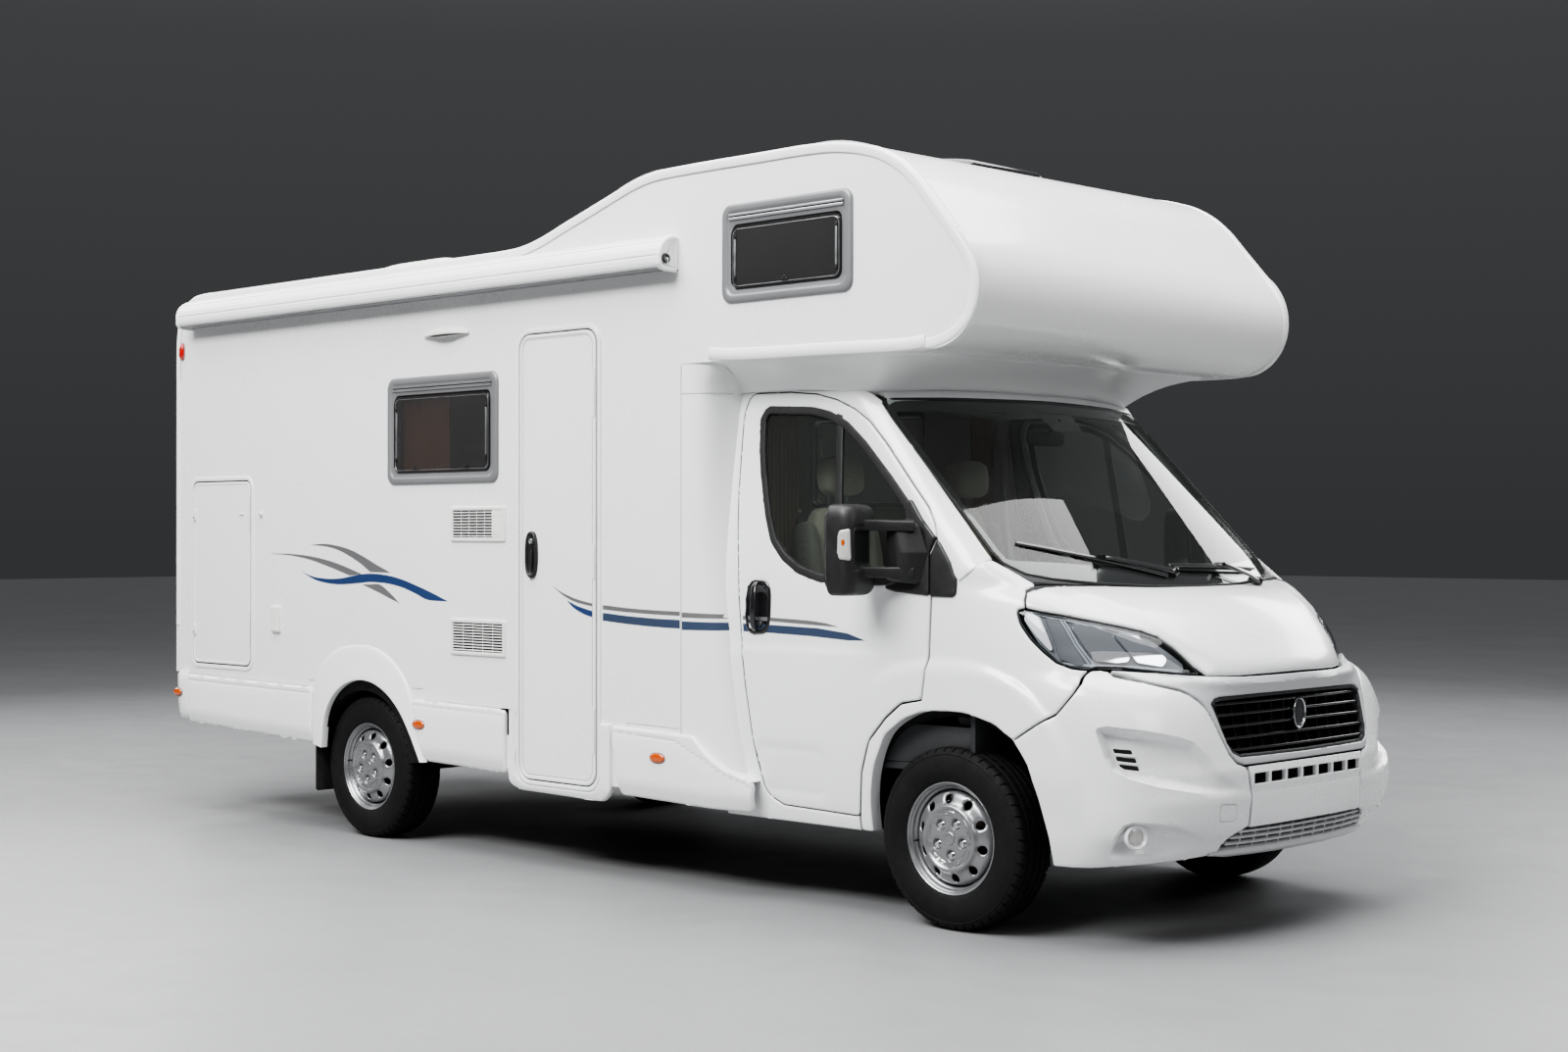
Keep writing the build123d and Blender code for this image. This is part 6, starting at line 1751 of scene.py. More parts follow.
# ---- doors
def door():
    loop = inset(DOOR_L, 0.0025)
    low = rrect(-1.050, -0.655, 0.470, 0.655, 0.03, 5)
    low = rounded(A((-1.052, 0.652), (-0.985, 0.475), (-0.660, 0.470), (-0.645, 0.652)), 0.035, 5)

    def h(p):
        d = seg_dist(p, [low])
        g = np.exp(-((d / 0.007) ** 2)) * 0.0035
        return body_h(p) - g - 0.002 * depth_in(p, low, 0.01)

    ring = [offset_loop(ccw(resample(low, 0.012, True)), s) for s in (-0.012, 0, 0.012)]
    keep = np.vstack(ring + [np.stack([CREASE[:, 0], CREASE[:, 1] - s], -1) for s in (0, 0.012, 0.028, 0.045)]
                     + [hlines(-1.15, -0.10, 0.02, (1.046, 1.058, 1.070, 1.084, 1.10))])
    cup = ellipse(-1.031, 1.236, 0.070, 0.110, 48, 0.0, 3.4)
    g = panel([loop, WIN_L, cup], SR, thick=0.032, edge=0.005, grid=0.040, height=h, step=0.018, keep_pts=keep)
    pair("door_skin", g, M["cab"], DOORS, "#_cab_door", slot="cab_white", smooth=32)
    # inner card with arm rest and pocket
    card = inset(DOOR_L, 0.030)
    hole = offset_loop(ccw(resample(WIN_L, 0.02, True)), 0.018)

    def ch(p):
        x, z = p[:, 0], p[:, 1]
        arm = np.exp(-(((z - 1.06) / 0.045) ** 4)) * smoothstep(-1.05, -0.98, x) * smoothstep(-0.30, -0.38, x)
        pocket = np.exp(-(((z - 0.66) / 0.09) ** 4)) * smoothstep(-0.95, -0.90, x) * smoothstep(-0.46, -0.5, x)
        return -0.036 + 0 * x, 0.018 + 0.030 * arm + 0.022 * pocket
    g = panel([card, hole], SR, thick=lambda p: -ch(p)[0] + ch(p)[1], edge=0.004, grid=0.052,
              height=lambda p: ch(p)[0], step=0.03)
    pair("door_card", g, M["dark"], DOORS, "#_cab_door", slot="dark_trim")
    # glass channel rubber
    inner = inset(WIN_L, 0.030)
    g = panel([offset_loop(ccw(resample(WIN_L, 0.022, True)), 0.004), inner], SR, thick=0.014, edge=0.004, grid=0.03,
              height=lambda p: np.full(len(p), 0.004), step=0.014)
    pair("door_glass_rubber", g, M["seal"], DOORS, "#_cab_door", slot="black_plastic")
    g = panel([inset(WIN_L, 0.022)], SR, thick=0.004, edge=0.001, grid=0.05, height=lambda p: np.full(len(p), -0.009), step=0.02)
    pair("door_pane", g, M["glass"], DOORS, "#_door_glass", slot="cab_glass")
    bar = A((-0.668, 2.045), (-0.630, 2.034), (-0.560, 1.360), (-0.600, 1.360))
    g = panel([bar], SR, thick=0.010, edge=0.003, grid=0.05, height=lambda p: np.full(len(p), 0.0015), step=0.02)
    pair("quarterlight_bar", g, M["black"], DOORS, "#_door_glass", slot="black_plastic")
    # sail plate under the mirror
    sail = rounded(A((-0.226, 1.700), (-0.146, 1.604), (-0.0712, 1.532), (-0.0972, 1.470), (-0.0852, 1.303), (-0.264, 1.315),
                     (-0.352, 1.334), (-0.235, 1.362), (-0.215, 1.480)), [0.01, 0.05, 0.006, 0.02, 0.012, 0.03, 0.02, 0.03, 0.1], 4)
    g = panel([sail], SR, thick=0.012, edge=0.005, grid=0.03, height=lambda p: np.full(len(p), 0.011), step=0.014)
    pair("mirror_sail", g, M["black"], DOORS, "#_mirror", slot="black_plastic")
    # stripes
    grey = np.vstack([A((-1.1215, 1.198), (-0.940, 1.194), (-0.737, 1.188), (-0.638, 1.180), (-0.565, 1.166)),
                      A((-0.640, 1.168), (-0.737, 1.171), (-0.939, 1.178), (-1.120, 1.181))])
    blue = np.vstack([A((-1.119, 1.164), (-0.939, 1.163), (-0.687, 1.158), (-0.516, 1.142), (-0.420, 1.116)),
                      A((-0.515, 1.114), (-0.711, 1.124), (-0.938, 1.130), (-1.115, 1.132))])
    for n, L, m in (("door_stripe_grey", grey, "grey_decal"), ("door_stripe_blue", blue, "slate_decal")):
        g = panel([L], SR, thick=0.0006, edge=0, grid=0.035, height=lambda p: body_h(p) + 0.0007, step=0.014)
        pair(n, g, M[m], DOORS, slot="cab_white")
    # handle: dished plate and upright grip
    hl = ellipse(-1.031, 1.236, 0.074, 0.114, 48, 0.0, 3.4)

    def hh(p):
        e = (np.abs((p[:, 0] + 1.031) / 0.074) ** 3.4 + np.abs((p[:, 1] - 1.236) / 0.114) ** 3.4)
        return 0.006 - 0.020 * smoothstep(0.62, 0.12, e)
    g = panel([hl], SR, thick=0.030, edge=0.005, grid=0.008, height=hh)
    zz = np.linspace(1.338, 1.140, 19)
    t = (zz - 1.140) / 0.198
    ps, ns = SR(np.stack([-1.043 + 0.012 * np.sin(t * np.pi), zz], -1))
    path = ps + ns * (0.004 + 0.028 * np.maximum(np.sin(np.pi * t), 0)[:, None] ** 0.55)
    grip = sweep(path, rounded(A((-0.0145, -0.006), (0.0145, -0.006), (0.0125, 0.007), (-0.0125, 0.007)), 0.005, 4),
                 normal=(0, -1, 0))
    g.join(outward(grip))
    c, n = SR(A((-1.012, 1.166)))
    g.join(lathe([(0, 0.0), (0.0105, 0.0), (0.0105, 0.010), (0.008, 0.012), (0, 0.012)], c[0] + n[0] * 0.0, "y", 24, side=-1))
    pair("door_handle", g, M["black_gloss"], DOORS, "#_cab_door", slot="black_plastic", smooth=45)


door()
g = panel([offset_loop(ccw(resample(DOOR_L, 0.030, True)), 0.0065), offset_loop(ccw(resample(DOOR_L, 0.030, True)), 0.0002)],
          SR, thick=0.014, edge=0.001, grid=0.2, step=0.03, height=lambda p: body_h(p) - 0.005 - 0.026 * smoothstep(-0.24, -0.15, p[:, 0]))
pair("door_opening_seal", g, M["seal"], replaces="cab_shell", slot="black_plastic")

# ---- sides behind and over the doors, A-pillars
_e = A(2.09, 2.0, 1.9, 1.8, 1.7, 1.6, 1.5, 1.449)
_edge = np.stack([edge_x(_e) + 0.010, _e], -1)
_open = offset_loop(ccw(resample(DOOR_L, 0.012, True)), 0.0025)
_k0 = int(np.argmin(np.linalg.norm(_open - (-0.474, 0.402), axis=1)))
_k1 = int(np.argmin(np.linalg.norm(_open - (-0.070, 1.530), axis=1)))
_open = np.roll(_open, -_k1, 0)
_k0 = int(np.argmin(np.linalg.norm(_open - (-0.474, 0.400), axis=1)))
_line = _open[: _k0 + 1]                       # over the top, down the back, to the arch
_side = np.vstack([_line, A((-0.478, 0.345), (-1.246, 0.345), (-1.246, 2.185), (-0.75, 2.185), (-0.60, 2.160), (-0.50, 2.118)),
                   _edge, A((0.121, 1.412), (0.054, 1.360), (-0.020, 1.440))])
_side = resample(_side, 0.018, True)
g = panel([_side], SR, thick=0.045, edge=0.004, grid=0.03, height=body_h)
pair("cab_side_frame", g, M["cab"], replaces="cab_shell", slot="cab_white", smooth=32)

# ---- wings
WING = np.vstack([
    A((-0.1085, 0.893), (-0.0835, 1.068), (-0.0785, 1.307), (-0.087, 1.452), (-0.064, 1.520), (-0.015, 1.444), (0.065, 1.366),
      (0.140, 1.392), (0.211, 1.418), (0.350, 1.440), (0.560, 1.447), (0.600, 1.438), (0.660, 1.412), (0.720, 1.386), (0.772, 1.360),
      (0.766, 1.346), (0.650, 1.332), (0.607, 1.296), (0.598, 1.264), (0.560, 1.260), (0.543, 1.250)),
    LAMP[1:7] + (-0.003, -0.004),
    A((0.813, 1.027), (0.725, 0.981), (0.630, 0.915), (0.572, 0.875), (0.483, 0.834), (0.357, 0.768)),
    A((0.274, 0.822), (0.125, 0.856), (-0.010, 0.858), (-0.109, 0.849), (-0.206, 0.815), (-0.307, 0.745), (-0.378, 0.608),
      (-0.405, 0.480), (-0.411, 0.345), (-0.469, 0.345), (-0.470, 0.400), (-0.4445, 0.584), (-0.3965, 0.715), (-0.300, 0.811),
      (-0.214, 0.873))])
WING_L = rounded(WING, 0.012, 3)
_kc = np.vstack([np.stack([CREASE[:, 0], CREASE[:, 1] - s], -1) for s in (0, 0.012, 0.028, 0.045)])
g = panel([inset(WING_L, 0.002)], WR, thick=lambda p: 0.016 - body_h(p) * 0, edge=0.004, grid=0.022, height=body_h, keep_pts=_kc)
pair("front_wing", g, M["cab"], replaces="front_wings", slot="cab_white", smooth=32)
# black corner of the mirror sail on the wing
_ws = rounded(A((-0.0685, 1.512), (-0.055, 1.516), (0.021, 1.438), (0.060, 1.369), (0.062, 1.310), (0.041, 1.299), (-0.0822, 1.300),
                (-0.0945, 1.462)), [0.004, 0.008, 0.04, 0.03, 0.015, 0.015, 0.008, 0.01], 4)
g = panel([_ws], WR, thick=0.010, edge=0.005, grid=0.02, height=lambda p: np.full(len(p), 0.010), step=0.012)
pair("wing_sail", g, M["black"], replaces="front_wings", slot="black_plastic")
# arch lip turned in, and liner
_lip = spline(A((-0.409, 0.350), (-0.405, 0.480), (-0.378, 0.608), (-0.307, 0.745), (-0.206, 0.815), (-0.109, 0.849), (-0.010, 0.858),
                (0.125, 0.856), (0.274, 0.822), (0.357, 0.770), (0.414, 0.668), (0.449, 0.500), (0.470, 0.400), (0.500, 0.305)), 6)
_P, _N = WR(_lip)
_P = _P + _N * (body_h(_lip)[:, None] - 0.004)
_in = _P + (0, 0.055, 0)
_dir = A((0.03, 0.359)) - _in[:, [0, 2]]
_dir /= np.linalg.norm(_dir, axis=1, keepdims=True)
_rows = [_P, _P + (0, 0.020, 0), _in]
_lin = []
for _y in (0.94, 0.80, 0.62, 0.56):
    _c = A((0.0, 0.359))
    _d = _in[:, [0, 2]] - _c
    _d /= np.linalg.norm(_d, axis=1, keepdims=True)
    _q = _c + _d * np.minimum(0.470, np.maximum(0.43, np.linalg.norm(_in[:, [0, 2]] - _c, axis=1)))[:, None]
    _lin.append(np.stack([_q[:, 0], np.full(len(_q), -_y), _q[:, 1]], -1))
_out = np.stack(_rows)
_back = _out[::-1].copy()
_bd = A((0.0, 0.359)) - _back[:, :, [0, 2]]
_bd /= np.linalg.norm(_bd, axis=2, keepdims=True)
_back[:, :, [0, 2]] -= _bd * 0.003
_ring = np.concatenate([_out, _back])
g = grid_geo(np.transpose(_ring, (1, 0, 2)), closed_v=True, cap_u=True)
pair("arch_lip", outward(g), M["cab"], replaces="front_wings", slot="cab_white")
_l0 = np.stack([_in + (0, 0.004, 0)] + _lin)
_l1 = _l0[::-1].copy()
_bd = A((0.0, 0.359)) - _l1[:, :, [0, 2]]
_bd /= np.linalg.norm(_bd, axis=2, keepdims=True)
_l1[:, :, [0, 2]] -= _bd * 0.004
g = grid_geo(np.transpose(np.concatenate([_l0, _l1]), (1, 0, 2)), closed_v=True, cap_u=True)
pair("arch_liner", outward(g), M["black_matt"], replaces="cab_shell", slot="black_plastic")

# ---- bonnet
def bonnet_h(p):
    a = np.minimum(p[:, 0], 2 * A_MID - p[:, 0])
    z = p[:, 1]
    # raised middle with a soft crease running forward from the cowl corners
    line = pchip(A(1.005, 1.05, 1.12, 1.20, 1.28, 1.34), A(1.315, 1.290, 1.235, 1.150, 1.040, 0.960), z)
    return 0.010 * smoothstep(-0.035, 0.045, a - line) * smoothstep(1.345, 1.30, z) * smoothstep(1.006, 1.05, z)


_kb = []
for _z in np.arange(1.02, 1.345, 0.012):
    _a0 = float(pchip(A(1.005, 1.05, 1.12, 1.20, 1.28, 1.34), A(1.315, 1.290, 1.235, 1.150, 1.040, 0.960), A(_z))[0])
    for _s in (-0.04, -0.02, 0.0, 0.02, 0.045):
        _kb += [(_a0 + _s, _z), (2 * A_MID - _a0 - _s, _z)]
g = panel([inset(rounded(BONNET_L, 0.008, 3), 0.003)], WR, thick=0.014, edge=0.006, grid=0.024, height=bonnet_h, keep_pts=_kb)
make("bonnet_skin", g, M["cab"], "bonnet_lid", slot="cab_white", replaces="bonnet", smooth=32)
# inner frame of the bonnet
_bi = inset(BONNET_L, 0.05)
g = panel([_bi], WR, thick=0.010, edge=0.003, grid=0.05, height=lambda p: np.full(len(p), -0.020), step=0.03)
make("bonnet_inner", g, M["cab"], "bonnet_lid", slot="cab_white", replaces="bonnet")

# ---- bumper corners
BUMP = np.vstack([
    A((0.357, 0.764), (0.483, 0.830), (0.572, 0.871), (0.630, 0.911), (0.725, 0.977), (0.813, 1.023), (0.839, 1.034), (0.880, 1.037),
      (0.915, 1.031)),
    SILVER_LOW[1:] + (-0.001, -0.004),
    A((1.358, 0.650), (1.373, 0.560), (1.373, 0.440), (1.320, 0.422), (1.290, 0.400), (1.266, 0.366), (1.262, 0.340), (1.258, 0.326),
      (1.088, 0.314), (0.918, 0.308), (0.700, 0.302), (0.500, 0.300), (0.470, 0.400), (0.449, 0.500), (0.414, 0.668))])
BUMP_L = rounded(BUMP, 0.010, 3)
TOW = rounded(A((1.192, 0.537), (1.284, 0.530), (1.290, 0.468), (1.198, 0.474)), 0.014, 4)
_kp = [np.stack([CREASE[:, 0], CREASE[:, 1] - s], -1) for s in (0, 0.012, 0.028, 0.045)]
for _L in (REC, FOG):
    for _s in (0.0, 0.010, 0.020, 0.030):
        _kp.append(offset_loop(ccw(resample(_L, 0.010, True)), -_s))
for _n, _ls in (("right_bumper_corner", [inset(BUMP_L, 0.002), inset(TOW, -0.0016)]), ("left_bumper_corner", [inset(BUMP_L, 0.002)])):
    g = panel(_ls, WR, thick=lambda p: 0.012 - bumper_h(p), edge=0.004, grid=0.019, height=bumper_h, keep_pts=np.vstack(_kp))
    make(_n, g if _n[0] == "r" else g.mirrored(), M["bumper"], replaces="front_bumper", slot="bumper_white", smooth=40)
g = panel([TOW], WR, thick=0.010, edge=0.002, grid=0.02, height=lambda p: bumper_h(p) - 0.0006, step=0.006)
make("tow_cover", g, M["bumper"], replaces="front_bumper", slot="bumper_white")
# dark slots in the pocket
g = Geo()
for _a0, _z0, _a1, _z1 in ((0.762, 0.748, 0.848, 0.745), (0.770, 0.719, 0.862, 0.714), (0.782, 0.691, 0.868, 0.687)):
    _L = rounded(A((_a0, _z0 - 0.008), (_a1, _z1 - 0.008), (_a1 - 0.006, _z1 + 0.008), (_a0 - 0.004, _z0 + 0.008)), 0.004, 3)
    g.join(panel([_L], WR, thick=lambda p: 0.004 - bumper_h(p), edge=0.0012, grid=0.012, height=lambda p: bumper_h(p) + 0.0016, step=0.006))
pair("bumper_vent_slots", g, M["black_matt"], replaces="front_bumper", slot="black_plastic")
g = Geo()
for _a0, _z0, _a1, _z1 in ((0.766, 0.7335, 0.855, 0.7295), (0.776, 0.705, 0.865, 0.7005)):
    _s = np.linspace(0, 1, 8)
    _q = np.stack([_a0 + (_a1 - _a0) * _s, _z0 + (_z1 - _z0) * _s], -1)
    _p, _n = WR(_q)
    _p = _p + _n * (bumper_h(_q)[:, None] + 0.002)
    g.join(outward(sweep(_p, ellipse(0, 0, 0.0045, 0.006, 10), normal=_n)))
pair("bumper_vent_fins", g, M["bumper"], replaces="front_bumper", slot="bumper_white")
# fog lamps: bezel, lens, ribs
_q = A((0.846, 0.422))
_p, _n = WR(_q)
_fx = _p[0] + _n[0] * -0.030
g = lathe([(0.030, 0.004), (0.044, 0.004), (0.047, 0.012), (0.046, 0.020), (0.041, 0.024), (0.036, 0.018), (0.030, 0.012)], (0, 0, 0), "x", 40)
_t = math.radians(-26)
_R = np.array([[math.cos(_t), -math.sin(_t), 0], [math.sin(_t), math.cos(_t), 0], [0, 0, 1]])
pair("fog_bezel", g.moved(_fx, _R), M["bumper"], replaces="front_bumper", slot="bumper_white")
g = lathe([(0, 0.0), (0.036, 0.0), (0.036, 0.010), (0.030, 0.015), (0.018, 0.018), (0, 0.019)], (0, 0, 0), "x", 40)
for _k in (-0.018, -0.006, 0.006, 0.018):
    g.join(box(0.012, 0.0195 - abs(_k) * 0.1, _k - 0.0012, _k + 0.0012, -0.026, 0.026))
pair("fog_lens", g.moved(_fx, _R), M["lens_white"], replaces="front_bumper", slot="lamp_clear")

# ---- centre of the bumper with its row of openings
def mid_h(p):
    z = p[:, 1]
    return 0.004 * smoothstep(0.566, 0.560, z) - 0.016 * smoothstep(0.448, 0.372, z) + 0.004 * smoothstep(0.585, 0.60, z) * smoothstep(0.652, 0.640, z)



MIDP = np.vstack([both(A((1.3615, 0.6715), (1.3655, 0.650), (1.3785, 0.560), (1.3785, 0.436)))])
_holes = []
_w = (2.176 - 1.384) / 7
for _k in range(7):
    _a = 1.384 + _k * _w
    _holes.append(rrect(_a + 0.008, _a + _w - 0.008, 0.600, 0.641, 0.004, 2))
_kz = hlines(1.39, 2.17, 0.03, (0.556, 0.560, 0.566, 0.570))
g = panel([inset(MIDP, 0.002)] + _holes, WR, thick=lambda p: 0.018 - mid_h(p), edge=0.003, grid=0.03, height=mid_h, keep_pts=_kz)
make("bumper_centre", g, M["bumper"], replaces="front_bumper", slot="bumper_white", smooth=35)
g = panel([rrect(1.37, 2.187, 0.590, 0.652, 0.004, 2)], WR, thick=0.01, edge=0.001, grid=0.06, height=lambda p: np.full(len(p), -0.042), step=0.03)
make("bumper_slot_back", g, M["black_matt"], replaces="front_bumper", slot="black_plastic")
# lower grille and silver lip
LOWG = both(A((1.272, 0.344), (1.272, 0.366), (1.296, 0.400), (1.324, 0.418), (1.376, 0.432)))
g = panel([LOWG], WR, thick=0.010, edge=0.001, grid=0.05, height=lambda p: np.full(len(p), -0.050), step=0.03)
make("lower_grille_back", g, M["black_matt"], replaces="front_bumper", slot="black_plastic")
g = Geo()
for _z, _a in ((0.418, 1.335), (0.395, 1.298), (0.371, 1.280)):
    _s = np.linspace(_a, 2 * A_MID - _a, 60)
    _q = np.stack([_s, np.full(60, _z)], -1)
    _p, _n = WR(_q)
    g.join(outward(sweep(_p - _n * 0.022, rounded(A((-0.006, -0.016), (0.006, -0.016), (0.0045, 0.010), (-0.0045, 0.010)), 0.003, 3), normal=_n)))
for _a in np.linspace(1.36, 2 * A_MID - 1.36, 11):
    _q = A((_a, 0.35), (_a, 0.385), (_a, 0.428))
    _p, _n = WR(_q)
    g.join(outward(sweep(_p - _n * 0.028, A((-0.004, -0.014), (0.004, -0.014), (0.003, 0.010), (-0.003, 0.010)), normal=_n)))
make("lower_grille_bars", g, M["silver_trim"], replaces="front_bumper", slot="bumper_white")
_s = np.linspace(1.215, 2 * A_MID - 1.215, 90)
_q = np.stack([_s, 0.334 + 0 * _s], -1)
_p, _n = WR(_q)
_taper = 0.35 + 0.65 * smoothstep(0, 0.10, np.minimum(_s - 1.215, 2 * A_MID - 1.215 - _s))
g = sweep(_p - _n * 0.012, rounded(A((-0.020, -0.03), (0.014, -0.03), (0.014, 0.006), (-0.004, 0.012), (-0.020, 0.004)), 0.004, 3), normal=_n, scale=_taper)
make("bumper_lip", outward(g), M["silver_trim"], replaces="front_bumper", slot="bumper_white")

# ---- silver grille surround, mesh and bare oval boss
def silver_h(p):
    a = np.minimum(p[:, 0], 2 * A_MID - p[:, 0])
    z = p[:, 1]
    ridge = pchip(A(0.80, 1.00, 1.15, 1.25, 1.45, A_MID), A(1.036, 1.014, 0.992, 0.978, 0.974, 0.975), a)
    return 0.010 * np.exp(-((z - ridge) / 0.016) ** 2) + 0.004 * smoothstep(1.02, 1.2, a)


SILV = both(np.vstack([A((1.345, 0.677), ), SILVER_LOW[::-1][1:-1] + (0.0015, 0.0025),
                       A((0.925, 1.0300), (0.977, 1.0290), (1.093, 1.0215), (1.187, 1.0110), (1.268, 1.0055), (1.290, 1.0035), (1.441, 1.000),
                         (1.600, 1.0015), (A_MID, 1.003))]))
SILV = resample(SILV, 0.012, True)
_kr = []
for _a in np.arange(0.90, A_MID, 0.018):
    _r = float(pchip(A(0.80, 1.00, 1.15, 1.25, 1.45, A_MID), A(1.036, 1.014, 0.992, 0.978, 0.974, 0.975), A(_a))[0])
    for _s in (-0.024, -0.012, 0, 0.010):
        _kr += [(_a, _r + _s), (2 * A_MID - _a, _r + _s)]
g = panel([SILV, GRILLE_L], WR, thick=0.020, edge=0.003, grid=0.016, height=silver_h, keep_pts=_kr, hole_edge=0.004)
make("grille_surround", g, M["silver_trim"], replaces="front_grille", slot="bumper_white", smooth=38)
g = panel([offset_loop(ccw(GRILLE_L), 0.012)], WR, thick=0.008, edge=0.001, grid=0.05, height=lambda p: np.full(len(p), -0.050), step=0.03)
make("grille_back", g, M["black_matt"], replaces="front_grille", slot="black_plastic")
_gi = inset(GRILLE_L, 0.014)
g = panel([offset_loop(ccw(resample(GRILLE_L, 0.012, True)), 0.002), _gi], WR, thick=0.022, edge=0.004, grid=0.02, height=lambda p: np.full(len(p), -0.002))
make("grille_rim", g, M["dark"], replaces="front_grille", slot="dark_trim")


def g_half(z):
    return A_MID - float(pchip(A(0.700, 0.722, 0.760, 0.905, 0.94), A(1.325, 1.285, 1.262, 1.231, 1.233), A(z))[0]) - 0.006


g = Geo()
for _k, _z in enumerate((0.735, 0.778, 0.821, 0.864, 0.905)):
    _s = np.linspace(A_MID - g_half(_z), A_MID + g_half(_z), 70)
    _q = np.stack([_s, np.full(70, _z)], -1)
    _p, _n = WR(_q)
    g.join(outward(sweep(_p - _n * 0.022, rounded(A((-0.0075, -0.020), (0.0075, -0.020), (0.0050, 0.012), (-0.0050, 0.012)), 0.0035, 3), normal=_n)))
make("grille_bars", g, M["black_gloss"], replaces="front_grille", slot="black_plastic")
g = Geo()
for _a in np.linspace(A_MID - 0.50, A_MID + 0.50, 13):
    _q = np.stack([np.full(9, _a), np.linspace(0.703, 0.935, 9)], -1)
    _q = _q[inside(_q, [GRILLE_L])]
    if len(_q) < 3:
        continue
    _p, _n = WR(_q)
    g.join(outward(sweep(_p - _n * 0.036, A((-0.0030, -0.014), (0.0030, -0.014), (0.0022, 0.014), (-0.0022, 0.014)), normal=_n)))
for _z in (0.7565, 0.7995, 0.8425, 0.8845, 0.922):
    _s = np.linspace(A_MID - g_half(_z), A_MID + g_half(_z), 50)
    _p, _n = WR(np.stack([_s, np.full(50, _z)], -1))
    g.join(outward(sweep(_p - _n * 0.044, ellipse(0, 0, 0.002, 0.006, 8), normal=_n)))
make("grille_mesh", g, M["black"], replaces="front_grille", slot="black_plastic")
_p, _n = WR(A((A_MID, 0.846)))
_ez = np.array([_n[0][0], 0, _n[0][2]])
_up = np.array([-_ez[2], 0, _ez[0]])
_Rm = np.stack([_ez, (0, 1, 0), _up], 1)
g = lathe([(0.86, 0.0), (0.98, 0.002), (1.0, 0.008), (0.97, 0.0125), (0.90, 0.0135), (0.84, 0.0105), (0.82, 0.004)], (0, 0, 0), "x", 56)
_v = g.verts() * (1, 0.046, 0.063)
g.v = [_v]
make("grille_boss_ring", g.moved(_p[0] - _ez * 0.010, _Rm), M["chrome_dull"], replaces="front_grille", slot="black_plastic")
g = lathe([(0, -0.004), (0.84, -0.004), (0.85, 0.004), (0.60, 0.0085), (0.30, 0.0105), (0, 0.011)], (0, 0, 0), "x", 48)
g.v = [g.verts() * (1, 0.046, 0.063)]
make("grille_boss", g.moved(_p[0] - _ez * 0.010, _Rm), M["dark"], replaces="front_grille", slot="black_plastic")

# inner trim of the A-pillars
_zt = A(1.47, 1.55, 1.65, 1.75, 1.85, 1.95, 2.03, 2.072)
_pt = np.vstack([np.stack([edge_x(_zt) + 0.003, _zt], -1),
                 A((-0.569, 2.063), (-0.481, 2.010), (-0.375, 1.913), (-0.229, 1.760), (-0.126, 1.655), (-0.084, 1.589), (-0.064, 1.532))])
g = panel([resample(_pt, 0.02, True)], SR, thick=0.004, edge=0.001, grid=0.04, height=lambda p: np.full(len(p), -0.0465))
pair("pillar_trim", g, M["dash"], slot="dark_trim")


# ---- windscreen: dark printed border, pane
_sl = ccw(resample(SCREEN_L, 0.032, True))
g = panel([_sl], SC, thick=0.005, edge=0.0015, grid=0.06, height=lambda p: np.full(len(p), 0.004))
make("windscreen_pane", g, M["screen"], replaces="windscreen", slot="cab_glass", smooth=60)


def frit_inner():
    p = _sl.copy()
    y, z = p[:, 0], p[:, 1]
    q = offset_loop(p, -0.030)
    # wider along the top and bottom
    q[:, 1] = np.where(q[:, 1] > 2.03, q[:, 1] - 0.020, q[:, 1])
    q[:, 1] = np.where(q[:, 1] < 1.46, q[:, 1] + 0.045 * smoothstep(1.46, 1.38, q[:, 1]), q[:, 1])
    return q


g = panel([offset_loop(_sl, -0.002), frit_inner()], SC, thick=0.003, edge=0.0005, grid=0.05, height=lambda p: np.full(len(p), -0.0022))
make("windscreen_border", g, M["frit"], replaces="windscreen", slot="black_plastic", smooth=60)
_p, _n = SC(_sl)
g = sweep(_p + _n * 0.0005, rounded(A((-0.006, -0.008), (0.006, -0.008), (0.006, 0.002), (0, 0.0045), (-0.006, 0.002)), 0.001, 2), normal=_n, closed=True)
make("windscreen_rubber", outward(g), M["seal"], replaces="windscreen", slot="black_plastic")
# dot band behind the mirror foot
g = panel([rounded(A((-0.13, 2.085), (0.13, 2.085), (0.10, 1.985), (-0.10, 1.985)), 0.02, 4)], SC, thick=0.001, edge=0, grid=0.06, height=lambda p: np.full(len(p), -0.004))
make("windscreen_patch", g, M["frit"], replaces="windscreen", slot="black_plastic")

# ---- cowl: dark plastic between glass and bonnet
_y = np.linspace(-1, 1, 61)


def cowl_rows():
    # front edge just behind the bonnet
    ra = np.vstack([BONNET_REAR[::-1][1:], BONNET_REAR[1:-0 or None] * (-1, 1) + (2 * A_MID, 0)])
    f = resample(np.vstack([BONNET_REAR[::-1], (BONNET_REAR[1:] * (-1, 1) + (2 * A_MID, 0))]), 0.03)
    pf, nf = WR(f)
    pf = pf + nf * 0.0
    # rear edge on the glass, same left-right share
    lower = SCREEN_L[(SCREEN_L[:, 1] < 1.45)]
    order = np.argsort(lower[:, 0])
    lower = lower[order]
    yb = pf[:, 1] * (0.905 / max(abs(pf[0, 1]), 0.001))
    zb = np.interp(yb, lower[:, 0], lower[:, 1])
    pb, nb = SC(np.stack([yb, zb], -1))
    pb = pb + nb * 0.001
    return pf, pb


